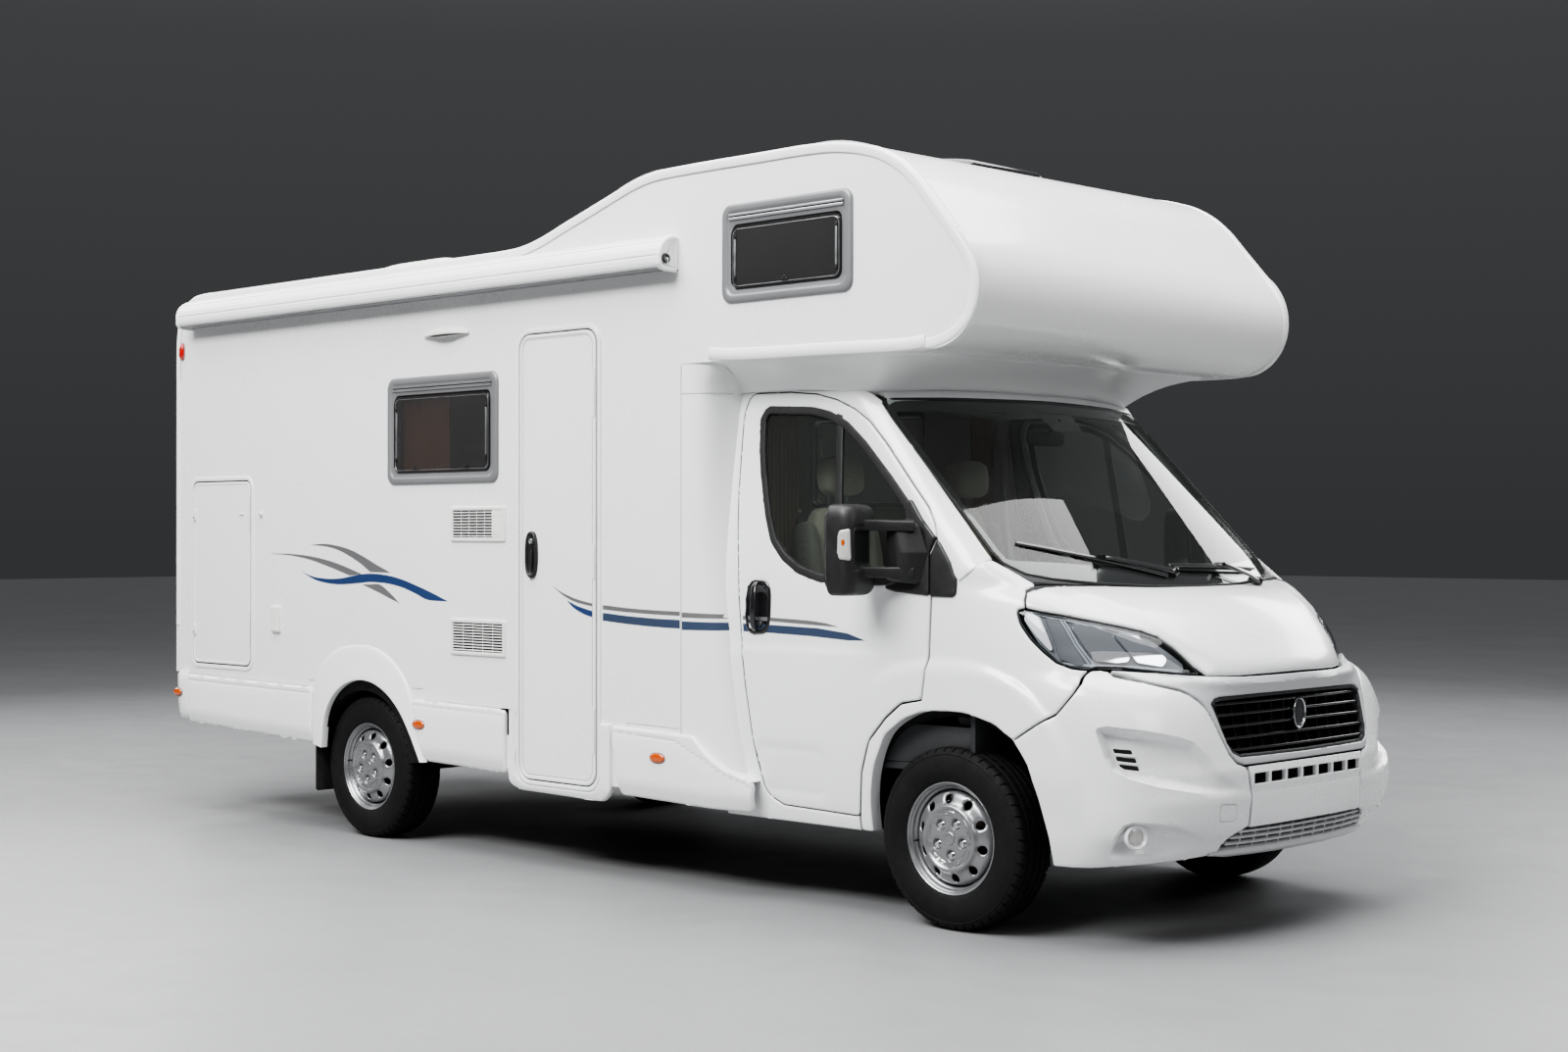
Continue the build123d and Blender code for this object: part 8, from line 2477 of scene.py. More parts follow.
def fair_shift(z):
    """How far the fairing reaches forward at height z: it follows the rear edge of the cab door."""
    return pchip(A(0.30, 0.48, 0.66, 0.86, 1.07, 1.31, 1.55, 1.90, 2.40), A(0.190, 0.175, 0.140, 0.112, 0.080, 0.034, 0.010, 0.0, 0.0),
                 np.atleast_1d(np.asarray(z, float)))


def fair_curve(z):
    sh = float(fair_shift(z)[0])
    ye = min(0.950, float(np.ravel(side_y(A(-1.24 + sh), A(min(z, 2.10))))[0]) - 0.030)
    return _fp[:, 0] + 0.012 * _fk + sh * _fw, _fp[:, 1] + (ye - 0.950) * _fk


def fairing():
    zs = np.r_[0.392, 0.40, 0.48, 0.57, 0.66, 0.76, 0.86, 0.96, 1.07, 1.19, 1.31, 1.43, 1.55, 1.8, 2.05, 2.148, 2.152, 2.20, 2.25, 2.285]
    rows = []
    for z in zs:
        q = _fp.copy()
        grow = smoothstep(2.13, 2.285, z) ** 1.5          # leans out to meet the pod
        w = smoothstep(-1.40, -1.25, q[:, 0])
        cx, cy = fair_curve(z)
        q[:, 1] += (1.103 - q[:, 1]) * grow * 0.75 + (cy - _fp[:, 1]) * (1 - grow)
        q[:, 0] += 0.05 * grow * w + (cx - _fp[:, 0]) * (1 - grow)
        rows.append(np.stack([q[:, 0], -q[:, 1], np.full(len(q), z)], -1))
    R = np.array(rows)
    n = np.array([0.25, -0.97, 0])
    inner = R[:, ::-1] + (-0.010, 0.022, 0)
    return outward(grid_geo(np.concatenate([R, inner], 1), closed_v=True, cap_u=True))


pair("cab_fairing", fairing(), M["abs"], replaces="cab_fairings", slot="body_white", smooth=50)
# seam lines on the fairing
g = sweep(A((-1.4135, -1.1056, 0.42), (-1.4135, -1.1056, 2.27)), A((-0.0012, -0.0005), (-0.0012, 0.0009), (0.0012, 0.0009), (0.0012, -0.0005)), normal=(0, -1, 0))
pair("fairing_joint", outward(g), M["grey_trim"], replaces="cab_fairings", slot="dark_trim")
_s3 = np.stack([_fp[:, 0] + 0.0004, -_fp[:, 1] - 0.0006, np.full(len(_fp), 2.148)], -1)[6:]
pair("fairing_seam", outward(sweep(_s3, ellipse(0, 0, 0.0011, 0.0011, 8), normal=(0, 0, 1))), M["grey_trim"], replaces="cab_fairings", slot="dark_trim")


def fair_surf(p):
    """(s, z): s is x from the front axle along the fairing plan curve before its reach is added."""
    def at(s):
        w = smoothstep(-1.43, -1.275, s)
        return s + 0.012 * np.interp(s, _fp[:, 0], _fk) + fair_shift(p[:, 1]) * w, np.interp(s, _fp[:, 0], _fp[:, 1])
    s = np.clip(p[:, 0], -1.43, -1.2538)
    x, y = at(s)
    x2, y2 = at(s + 0.0015)
    n = np.stack([-(y2 - y), -(x2 - x), 0 * y], -1)
    n /= np.linalg.norm(n, axis=1, keepdims=True)
    return np.stack([x, -y, p[:, 1]], -1), n


for _n, _zz, _m in (("fairing_stripe_grey", ((1.2065, 1.2005), (1.1840, 1.1825)), "grey_decal"), ("fairing_stripe_blue", ((1.1680, 1.1655), (1.1310, 1.1330)), "slate_decal")):
    _L = A((-1.4115, _zz[0][0]), (-1.2560, _zz[0][1]), (-1.2560, _zz[1][1]), (-1.4115, _zz[1][0]))
    g = panel([_L], fair_surf, thick=0.0004, edge=0, grid=0.02, height=lambda p: np.full(len(p), 0.0009), step=0.012)
    pair(_n, g, M[_m], replaces="cab_fairings", slot="body_white", smooth=60)

# ledge that closes the skirt top onto the fairing and the cab side
_lx = np.linspace(-1.47, -1.028, 30)
_lz = np.interp(_lx, A(-1.862, -1.331, -1.250, -1.147, -1.006), A(0.692, 0.679, 0.612, 0.546, 0.500)) - 0.006
_ly = []
for _x, _z in zip(_lx, _lz):
    _cx, _cy = fair_curve(_z)
    _ly.append(float(np.interp(_x, _cx, _cy)) if _x < _cx[-1] - 0.008 else float(np.ravel(side_y(A(_x), A(_z)))[0]))
_lq = 1.1130 - 0.060 * smoothstep(-1.27, -0.95, _lx)
_ly = np.minimum(np.array(_ly) - 0.014, _lq - 0.006)
_lo = np.stack([_lx, -_lq, _lz], -1)
_li2 = np.stack([_lx, -_ly, _lz + 0.004], -1)
g = grid_geo(np.transpose(np.array([_lo, _li2, _li2 - (0, 0, 0.003), _lo - (0, 0, 0.003)]), (1, 0, 2)), closed_v=True, cap_u=True)
pair("skirt_ledge", outward(g), M["abs"], replaces="cab_fairings", slot="body_white", smooth=50)


def pod_under():
    o = A((-1.250, -1.078, 2.279), (-1.10, -1.078, 2.275), (-0.90, -1.078, 2.271), (-0.65, -1.078, 2.268), (-0.40, -1.074, 2.266), (-0.22, -1.055, 2.263),
          (-0.135, -0.96, 2.260), (-0.112, -0.75, 2.2595), (-0.105, -0.40, 2.259), (-0.100, 0.0, 2.259))
    i = A((-1.250, -0.905, 2.158), (-1.05, -0.910, 2.160), (-0.86, -0.912, 2.156), (-0.70, -0.905, 2.145), (-0.58, -0.890, 2.132), (-0.520, -0.860, 2.122),
          (-0.478, -0.78, 2.128), (-0.432, -0.62, 2.138), (-0.370, -0.33, 2.148), (-0.348, 0.0, 2.150))
    o = np.vstack([o, (o[:-1] * (1, -1, 1))[::-1]])
    i = np.vstack([i, (i[:-1] * (1, -1, 1))[::-1]])
    o, i = spline(o, 6), spline(i, 6)
    rows = []
    for t in (0.0, 0.04, 0.12, 0.25, 0.4, 0.55, 0.7, 0.82, 0.92, 1.0):
        q = o * (1 - t) + i * t
        q[:, 2] = o[:, 2] + (i[:, 2] - o[:, 2]) * (0.30 * t + 0.70 * t**2.4) - 0.006 * smoothstep(0, 0.06, t)
        rows.append(q)
    R = np.array(rows)
    return outward(grid_geo(np.transpose(np.concatenate([R, R[::-1] + (0, 0, 0.010)]), (1, 0, 2)), closed_v=True, cap_u=True))


make("pod_under_panel", pod_under(), M["abs"], replaces="cab_fairings", slot="body_white", smooth=50)


# ---- rear bumper, lamps and plate recess
_bp = rounded(A((-5.441, 1.121), (-5.585, 1.121), (-5.606, 0.90), (-5.609, 0.0), (-5.606, -0.90), (-5.585, -1.121), (-5.441, -1.121)),
              [0, 0.085, 0.4, 0.5, 0.4, 0.085, 0], 10)
_bp = resample(_bp, 0.012)
_bs = np.r_[0, np.cumsum(np.linalg.norm(np.diff(_bp, axis=0), axis=1))]
_bs -= _bs[-1] / 2
_bn = np.gradient(_bp, axis=0)
_bn = np.stack([_bn[:, 1], -_bn[:, 0]], -1)
_bn /= np.linalg.norm(_bn, axis=1, keepdims=True)
if _bn[len(_bn) // 2, 0] > 0:
    _bn = -_bn
_prof = A((0.497, -0.050), (0.515, -0.022), (0.55, -0.008), (0.62, -0.002), (0.70, 0.0), (0.755, 0.0), (0.775, -0.012), (0.80, -0.016), (0.96, -0.026),
          (1.00, -0.036), (1.024, -0.052))


def rear_surf(p):
    """(s, z): s from the middle line, positive to the right-hand side (y negative)."""
    s, z = p[:, 0], p[:, 1]
    x, y = np.interp(s, _bs, _bp[:, 0]), np.interp(s, _bs, _bp[:, 1])
    n = np.stack([np.interp(s, _bs, _bn[:, 0]), np.interp(s, _bs, _bn[:, 1])], -1)
    n /= np.linalg.norm(n, axis=1, keepdims=True)
    o = pchip2(_prof, z)
    dz = (pchip2(_prof, z + 0.001) - pchip2(_prof, z - 0.001)) / 0.002
    P = np.stack([x + n[:, 0] * o, y + n[:, 1] * o, z], -1)
    N = np.stack([n[:, 0], n[:, 1], -dz], -1)
    return P, N / np.linalg.norm(N, axis=1, keepdims=True)


def pchip2(tab, x):
    return np.interp(np.clip(x, tab[0, 0], tab[-1, 0]), tab[:, 0], tab[:, 1])


_half_s = float(_bs[-1])
_lampL = [rrect(s0, s1, 0.802, 0.958, 0.03, 5) for s0, s1 in ((0.800, 1.040), (-1.040, -0.800))]
_plate = rrect(-0.285, 0.285, 0.805, 0.945, 0.02, 5)
_fogs = [rrect(s0, s1, 0.585, 0.645, 0.02, 4) for s0, s1 in ((0.62, 0.82), (-0.82, -0.62))]
_kz = []
for _z in (0.515, 0.55, 0.62, 0.70, 0.755, 0.765, 0.775, 0.79, 0.975, 1.0):
    _kz.append(np.stack([np.arange(-_half_s + 0.03, _half_s - 0.02, 0.035), np.full(len(np.arange(-_half_s + 0.03, _half_s - 0.02, 0.035)), _z)], -1))
g = panel([rrect(-_half_s, _half_s, 0.497, 1.024, 0.006, 3)] + _lampL + [_plate] + _fogs, rear_surf, thick=0.016, edge=0.006, grid=0.06,
          keep_pts=np.vstack(_kz), step=0.02)
make("rear_bumper_shell", g, M["abs"], replaces="rear_bumper", slot="body_white", smooth=35)
# top cover back to the wall
_t = []
for _s in np.linspace(-_half_s, _half_s, 90):
    _t.append(_s)
_P, _N = rear_surf(np.stack([np.array(_t), np.full(90, 1.020)], -1))
_Q = _P.copy()
_Q[:, 0] = np.maximum(_P[:, 0], -5.575)
_Q[:, 2] = 1.030
_Q[:, 1] *= 1.0
_rows = np.array([_P, _P * 0.5 + _Q * 0.5 + (0, 0, 0.003), _Q, _Q - (0, 0, 0.012), _P - (0, 0, 0.012)])
g = outward(grid_geo(np.transpose(_rows, (1, 0, 2)), closed_v=True, cap_u=True))
make("rear_bumper_top", g, M["abs"], replaces="rear_bumper", slot="body_white", smooth=50)
g = panel([inset(rrect(-0.285, 0.285, 0.805, 0.945, 0.02, 5), -0.004)] if False else [offset_loop(ccw(_plate), 0.004)], rear_surf, thick=0.004, edge=0.001, grid=0.05,
          height=lambda p: np.full(len(p), -0.020))
make("plate_recess", g, M["abs"], replaces="rear_bumper", slot="body_white")
g = panel([rrect(-0.26, 0.26, 0.822, 0.932, 0.008, 3)], rear_surf, thick=0.003, edge=0.0008, grid=0.06, height=lambda p: np.full(len(p), -0.012))
make("blank_plate", g, M["white_plastic"], replaces="rear_bumper", slot="body_white")
for _k, (_s0, _s1) in enumerate(((0.800, 1.040), (-1.040, -0.800))):
    _sd = "right" if _k == 0 else "left"
    g = panel([offset_loop(ccw(_lampL[_k]), 0.003)], rear_surf, thick=0.004, edge=0.001, grid=0.05, height=lambda p: np.full(len(p), -0.030))
    make(_sd + "_lamp_base", g, M["chrome_dull"], replaces="rear_lights", slot="lamp_clear")
    _w = (_s1 - _s0)
    _cells = (("brake", 0.00, 0.42, "red"), ("turn", 0.42, 0.72, "amber"), ("reverse", 0.72, 1.0, "lens_white"))
    for _cn, _u0, _u1, _mt in _cells:
        _a, _b2 = (_s0 + _u0 * _w, _s0 + _u1 * _w) if _k == 1 else (_s1 - _u1 * _w, _s1 - _u0 * _w)
        _L = rrect(_a + 0.003, _b2 - 0.003, 0.805, 0.955, 0.010 if _cn == "turn" else 0.02, 4)
        g = panel([_L], rear_surf, thick=0.006, edge=0.003, grid=0.02, height=lambda p: 0.004 + 0.006 * smoothstep(0, 0.04, 0.075 - np.abs(p[:, 1] - 0.880)))
        make(_sd + "_lamp_" + _cn, g, M[_mt], replaces="rear_lights", slot="lamp_red" if _cn != "reverse" else "lamp_clear")
    g = panel([inset(_fogs[_k], 0.001)], rear_surf, thick=0.010, edge=0.003, grid=0.03, height=lambda p: np.full(len(p), 0.0))
    make(_sd + "_rear_fog", g, M["red"], replaces="rear_lights", slot="lamp_red")
# third brake lamp over the rear window
g = panel([rrect(-0.16, 0.16, 2.500, 2.535, 0.015, 5)], flat((-5.5775, 0, 0), (0, -1, 0), (0, 0, 1)), thick=0.004, edge=0.004, grid=0.03,
          height=lambda p: 0.008 + 0 * p[:, 0])
if g.verts()[:, 0].min() > -5.578:
    g = panel([rrect(-0.16, 0.16, 2.500, 2.535, 0.015, 5)], flat((-5.5775, 0, 0), (0, 0, 1), (0, -1, 0)), thick=0.004, edge=0.004, grid=0.03)
make("third_brake_lamp", g, M["red"], replaces="rear_lights", slot="lamp_red")


# ---- lids of the two roof lights
def dome(x0, x1, y0, y1, z0, h, rim, power=4.0, n=40, nr=14):
    """Closed lid: skirted rim and a flat-topped dome."""
    cx, cy, rx, ry = (x0 + x1) / 2, (y0 + y1) / 2, (x1 - x0) / 2, (y1 - y0) / 2
    t = np.arange(n * 2) * math.pi / n
    c, s = np.cos(t), np.sin(t)
    k = (np.abs(c) ** 9 + np.abs(s) ** 9) ** (-1 / 9)
    rows = [np.stack([cx + rx * c * k * 0.93, cy + ry * s * k * 0.93, np.full(len(t), z0 + 0.006)], -1),
            np.stack([cx + rx * c * k * 0.985, cy + ry * s * k * 0.985, np.full(len(t), z0)], -1),
            np.stack([cx + rx * c * k, cy + ry * s * k, np.full(len(t), z0 + 0.003)], -1),
            np.stack([cx + rx * c * k, cy + ry * s * k, np.full(len(t), z0 + rim)], -1)]
    for j in range(1, nr + 1):
        f = 1 - (j / nr) ** 1.3
        q = max(f, 0.0)
        z = z0 + rim + h * (1 - q ** power)
        rows.append(np.stack([cx + rx * c * (k * q + (1 - k) * 0) * 1.0, cy + ry * s * k * q, np.full(len(t), z)], -1))
    R = np.array(rows)
    g = grid_geo(R, closed_v=True)
    # inner face
    I = R[3:].copy()
    I[:, :, 2] -= 0.006
    I[0, :, 0] = cx + (I[0, :, 0] - cx) * 0.985
    I[0, :, 1] = cy + (I[0, :, 1] - cy) * 0.985
    g.f = []
    g.m = []
    return g, R, cx, cy


def lid(name, body, node, x0, x1, y0, y1, z0, h, rim, mat, slot):
    _, R, cx, cy = dome(x0, x1, y0, y1, z0, h, rim)
    inner = R[3:].copy()
    inner[:, :, 2] -= 0.007
    inner[:, :, 0] = cx + (inner[:, :, 0] - cx) * 0.985
    inner[:, :, 1] = cy + (inner[:, :, 1] - cy) * 0.985
    allr = np.concatenate([inner[::-1], R], 0)
    g = outward(grid_geo(allr, closed_v=True))
    # close the middle of both skins
    make(name, g, mat, body, slot, replaces=node, smooth=60, weld=1e-5)


lid("rear_rooflight_dome", "rear_roof_lid", "rear_rooflight_lid", -4.020, -3.420, -0.860, -0.360, 2.8995, 0.040, 0.020, M["white_plastic"], "body_white")
lid("overcab_rooflight_dome", "overcab_roof_lid", "overcab_rooflight_lid", -1.180, -0.700, -0.420, 0.060, 3.1455, 0.030, 0.010, M["acrylic"], "tinted_acrylic")


# low dark deflector on the roof's front slope, ahead of the overcab roof light
_pi = np.where((PROFILE[:, 1] > 2.9) & (PROFILE[:, 0] > -0.69) & (PROFILE[:, 0] < -0.36))[0]
_pp = resample(PROFILE[_pi], 0.03)
_pn = np.gradient(_pp, axis=0)
_pn = np.stack([_pn[:, 1], -_pn[:, 0]], -1)
_pn /= np.linalg.norm(_pn, axis=1, keepdims=True)
if _pn[:, 1].mean() < 0:
    _pn = -_pn
_n = len(_pp)
_t = np.linspace(0, 1, _n)
_hh = 0.020 * np.minimum(1, np.minimum(_t, 1 - _t) * 9) ** 0.5 + 0.001
_rows = []
for _yy, _k in ((-0.425, 0.0), (-0.420, 0.6), (-0.405, 1.0), (-0.10, 1.0), (0.045, 1.0), (0.060, 0.6), (0.065, 0.0)):
    _q = _pp + _pn * (_hh * _k + 0.001)[:, None]
    _rows.append(np.concatenate([np.stack([_q[:, 0], np.full(_n, _yy), _q[:, 1]], -1), np.stack([_pp[::-1, 0] - _pn[::-1, 0] * 0.004, np.full(_n, _yy), _pp[::-1, 1] - _pn[::-1, 1] * 0.004], -1)]))
make("overcab_roof_deflector", outward(grid_geo(np.array(_rows), closed_v=True, cap_u=True)), M["black_gloss"], slot="tinted_acrylic", smooth=40)


# ------------------------------------------------------------------ wheels
RIM_ROWS = A((0.2040, -0.0885), (0.2195, -0.0905), (0.2205, -0.0845), (0.2070, -0.0790), (0.2060, -0.0400), (0.1860, -0.0280), (0.1860, 0.0180),
             (0.2060, 0.0400), (0.2060, 0.0780), (0.2150, 0.0820), (0.2188, 0.0850), (0.2205, 0.0885), (0.2212, 0.0925), (0.2200, 0.0962),
             (0.2170, 0.0972), (0.2135, 0.0950), (0.2115, 0.0905), (0.2098, 0.0868), (0.2062, 0.0845), (0.2040, 0.0810), (0.2020, 0.0740), (0.1995, 0.0700),
             (0.1965, 0.0685), (0.1938, 0.0660), (0.1915, 0.0590), (0.1880, 0.0480), (0.1845, 0.0300), (0.1800, 0.0150), (0.1800, -0.0300), (0.2000, -0.0430),
             (0.2005, -0.0860))
DISC = A((0.0, 0.1015), (0.024, 0.1015), (0.030, 0.1000), (0.050, 0.0992), (0.086, 0.0992), (0.096, 0.0995), (0.108, 0.1005), (0.1135, 0.1030),
         (0.1185, 0.1078), (0.1235, 0.1092), (0.1280, 0.1075), (0.1315, 0.1030), (0.1350, 0.0975), (0.1400, 0.0930), (0.1500, 0.0885), (0.1620, 0.0835),
         (0.1720, 0.0785), (0.1790, 0.0725), (0.1835, 0.0640), (0.1860, 0.0520))


def disc_off(r):
    return pchip(DISC[:, 0], DISC[:, 1], r)


def wheel_disc():
    def surf(p):
        r = np.hypot(p[:, 0], p[:, 1])
        e = 0.0006
        k = (disc_off(r + e) - disc_off(np.maximum(r - e, 0))) / (2 * e)
        rr = np.maximum(r, 1e-6)
        n = np.stack([-k * p[:, 0] / rr, -np.ones(len(p)), -k * p[:, 1] / rr], -1)
        return np.stack([p[:, 0], -disc_off(r), p[:, 1]], -1), n / np.linalg.norm(n, axis=1, keepdims=True)

    def h(p):
        r, t = np.hypot(p[:, 0], p[:, 1]), np.arctan2(p[:, 1], p[:, 0])
        v = np.zeros(len(p))
        for k in range(5):
            a = math.radians(72 * k + 36)
            d = np.abs((t - a + math.pi) % (2 * math.pi) - math.pi) * 0.100
            w = smoothstep(0.040, 0.035, d) * smoothstep(0.090, 0.0935, r) * smoothstep(0.1095, 0.106, r)
            w -= 0.8 * smoothstep(0.031, 0.027, d) * smoothstep(0.0955, 0.0985, r) * smoothstep(0.1055, 0.102, r)
            v += 0.0042 * w
            b = math.radians(72 * k)
            d = np.abs((t - b + math.pi) % (2 * math.pi) - math.pi) * 0.100
            v += 0.0030 * smoothstep(0.010, 0.007, d) * smoothstep(0.092, 0.096, r) * smoothstep(0.113, 0.108, r)
            c = np.hypot(p[:, 0] - 0.0665 * math.cos(b), p[:, 1] - 0.0665 * math.sin(b))
            v += 0.0016 * np.exp(-((c - 0.0235) / 0.003) ** 2)
            v -= 0.016 * smoothstep(0.0215, 0.0165, c)
        v -= 0.003 * smoothstep(0.0275, 0.0295, r) * smoothstep(0.0335, 0.0315, r)
        for k in range(10):
            b = math.radians(36 * k)
            c = np.hypot(p[:, 0] - 0.1570 * math.cos(b), p[:, 1] - 0.1570 * math.sin(b))
            v -= 0.0035 * smoothstep(0.0245, 0.0185, c)
        return v
    loops = [ellipse(0, 0, 0.1858, 0.1858, 120)] + [ellipse(0.157 * math.cos(math.radians(36 * k)), 0.157 * math.sin(math.radians(36 * k)), 0.0182, 0.0182, 28) for k in range(10)]
    keep = []
    for r, n in ((0.110, 110), (0.1135, 110), (0.1185, 110), (0.1235, 110), (0.128, 110), (0.1315, 110), (0.1350, 110), (0.1835, 120), (0.180, 120),
                 (0.0275, 36), (0.0335, 40), (0.1055, 110), (0.0955, 100), (0.091, 90)):
        t = np.arange(n) * 2 * math.pi / n
        keep.append(np.stack([r * np.cos(t), r * np.sin(t)], -1))
    for k in range(5):
        b = math.radians(72 * k)
        for r, n in ((0.0235, 26), (0.0200, 24), (0.0165, 20), (0.0265, 26)):
            t = np.arange(n) * 2 * math.pi / n
            keep.append(np.stack([0.0665 * math.cos(b) + r * np.cos(t), 0.0665 * math.sin(b) + r * np.sin(t)], -1))
    return panel(loops, surf, thick=0.006, edge=0.0015, grid=0.0075, height=h, step=0.01, keep_pts=np.vstack(keep), hole_edge=0.002)


def wheel_parts():
    rim = outward(lathe(RIM_ROWS, (0, 0, 0), "y", 112, side=-1))
    disc = wheel_disc()
    bolts = Geo()
    for k in range(5):
        b = math.radians(72 * k)
        c = (0.0665 * math.cos(b), 0, 0.0665 * math.sin(b))
        bolts.join(outward(lathe([(0, 0.088), (0.0135, 0.088), (0.0145, 0.091), (0.0120, 0.093), (0.0105, 0.0935), (0.0105, 0.1005), (0.0095, 0.1018), (0.0060, 0.1018),
                                  (0.0052, 0.0985), (0, 0.0985)], c, "y", 18, side=-1, closed=False)))
    cap = outward(lathe([(0, 0.0985), (0.027, 0.0985), (0.027, 0.1020), (0.0245, 0.1040), (0.0225, 0.1032), (0.0205, 0.1040), (0.010, 0.1047), (0, 0.1048)],
                        (0, 0, 0), "y", 40, side=-1, closed=False))
    _v = math.radians(200)
    _r = 0.190
    val = tube(A((_r * math.cos(_v), -0.060, _r * math.sin(_v)), ((_r - 0.006) * math.cos(_v), -0.086, (_r - 0.006) * math.sin(_v)),
                 ((_r - 0.011) * math.cos(_v), -0.100, (_r - 0.011) * math.sin(_v))), 0.0042, 10)
    return rim, disc, bolts, cap, outward(val)


def tyre_geo():
    # (radius, offset, what) what: 0 plain, 1 shoulder, 2 centre rib
    base = A((0.2060, -0.0780), (0.2200, -0.0815), (0.2210, -0.0930), (0.2260, -0.0975), (0.2360, -0.1010), (0.2520, -0.1052), (0.2700, -0.1076), (0.2890, -0.1080),
             (0.3050, -0.1066), (0.3185, -0.1035), (0.3255, -0.1010), (0.3275, -0.1020), (0.3300, -0.1018), (0.3320, -0.0998), (0.3380, -0.0975), (0.3430, -0.0955),
             (0.3490, -0.0915), (0.3525, -0.0860), (0.3545, -0.0800), (0.3557, -0.0700), (0.3560, -0.0610), (0.3490, -0.0590), (0.3490, -0.0530), (0.3568, -0.0510),
             (0.3585, -0.0380), (0.3590, -0.0230), (0.3510, -0.0215), (0.3510, -0.0150), (0.3590, -0.0135))
    mir = base[::-1].copy()
    mir[:, 1] *= -1
    prof = np.vstack([base, mir])
    nb, pitch = 48, 2 * math.pi / 48
    frac = (0.0, 0.013, 0.135, 0.148, 0.57)
    rows = []
    ph0 = 0.0
    for k in range(nb):
        for j, f in enumerate(frac):
            cut = j in (1, 2)
            r = prof[:, 0].copy()
            o = prof[:, 1].copy()
            a = (k + f) * pitch
            sh = (np.abs(o) > 0.066) & (np.abs(o) < 0.0965) & (r > 0.335)
            ang = a + np.abs(o) * 0 + np.where(r > 0.335, (np.abs(o) - 0.08) * 1.1 * np.sign(o), 0)
            ctr = (np.abs(o) < 0.0505) & (np.abs(o) > 0.0225) & (r > 0.352)
            mid = (np.abs(o) < 0.0140) & (r > 0.352)
            if cut:
                r = np.where(sh, r - 0.0065, r)
                r = np.where((np.abs(o) >= 0.0900) & (r > 0.335) & sh, r - 0.001, r)
                r = np.where(ctr, r - 0.0035, r)
                r = np.where(mid & (k % 2 == 0), r - 0.0035, r)
            rows.append(np.stack([r * np.cos(ang), -o, r * np.sin(ang)], -1))
    inner = A((0.2000, 0.070), (0.30, 0.085), (0.335, 0.07), (0.335, -0.07), (0.30, -0.085), (0.2000, -0.070))
    n = len(rows)
    R = np.array(rows)
    angs = np.concatenate([[(k + f) * pitch for f in frac] for k in range(nb)])
    I = np.stack([inner[None, :, 0] * np.cos(angs)[:, None], np.broadcast_to(-inner[None, :, 1], (n, len(inner))), inner[None, :, 0] * np.sin(angs)[:, None]], -1)
    return outward(grid_geo(np.concatenate([R, I], 1), closed_u=True, closed_v=True))


_WP = wheel_parts()
_TY = tyre_geo()
_ROT = {"front_right": (0.0, -0.900, 12.0), "front_left": (0.0, 0.900, 40.0), "rear_right": (-3.800, -0.952, 25.0), "rear_left": (-3.800, 0.952, 5.0)}


for _w, (_x, _y, _d) in _ROT.items():
    _bd = _w + "_road_wheel"
    _side = 1 if _y < 0 else -1

    def place(g):
        h = g if _side > 0 else g.mirrored()
        a = math.radians(_d)
        return h.moved((_x, _y, 0.359), [[math.cos(a), 0, math.sin(a)], [0, 1, 0], [-math.sin(a), 0, math.cos(a)]])
    make(_w + "_rim", place(_WP[0]), M["silver"], _bd, replaces=_w + "_wheel", slot="silver_wheel", smooth=40)
    make(_w + "_disc", place(_WP[1]), M["silver"], _bd, replaces=_w + "_wheel", slot="silver_wheel", smooth=40)
    make(_w + "_bolts", place(_WP[2]), M["chrome_dull"], _bd, replaces=_w + "_wheel", slot="silver_wheel", smooth=35)
    make(_w + "_cap", place(_WP[3]), M["silver"], _bd, replaces=_w + "_wheel", slot="silver_wheel", smooth=40)
    make(_w + "_valve", place(_WP[4]), M["black"], _bd, replaces=_w + "_wheel", slot="black_plastic")
    make(_w + "_tyre_rubber", place(_TY), M["tyre"], _bd, replaces=_w + "_tyre", slot="tyre", smooth=28)
    # brake behind the holes
    _pr = [(0.030, 0.052), (0.060, 0.052), (0.062, 0.030), (0.068, 0.028), (0.150, 0.028), (0.150, 0.018), (0.148, 0.018), (0.148, 0.012), (0.150, 0.012), (0.150, 0.002),
           (0.060, 0.002), (0.030, 0.006)] if _w.startswith("front") else [(0.030, 0.050), (0.130, 0.050), (0.140, 0.042), (0.142, 0.000), (0.146, -0.002), (0.146, -0.012),
                                                                       (0.030, -0.012)]
    make(_w + "_brake", outward(lathe(_pr, (_x, _y, 0.359), "y", 72, side=-_side)), M["iron"], _bd, slot="engine_iron", smooth=35)


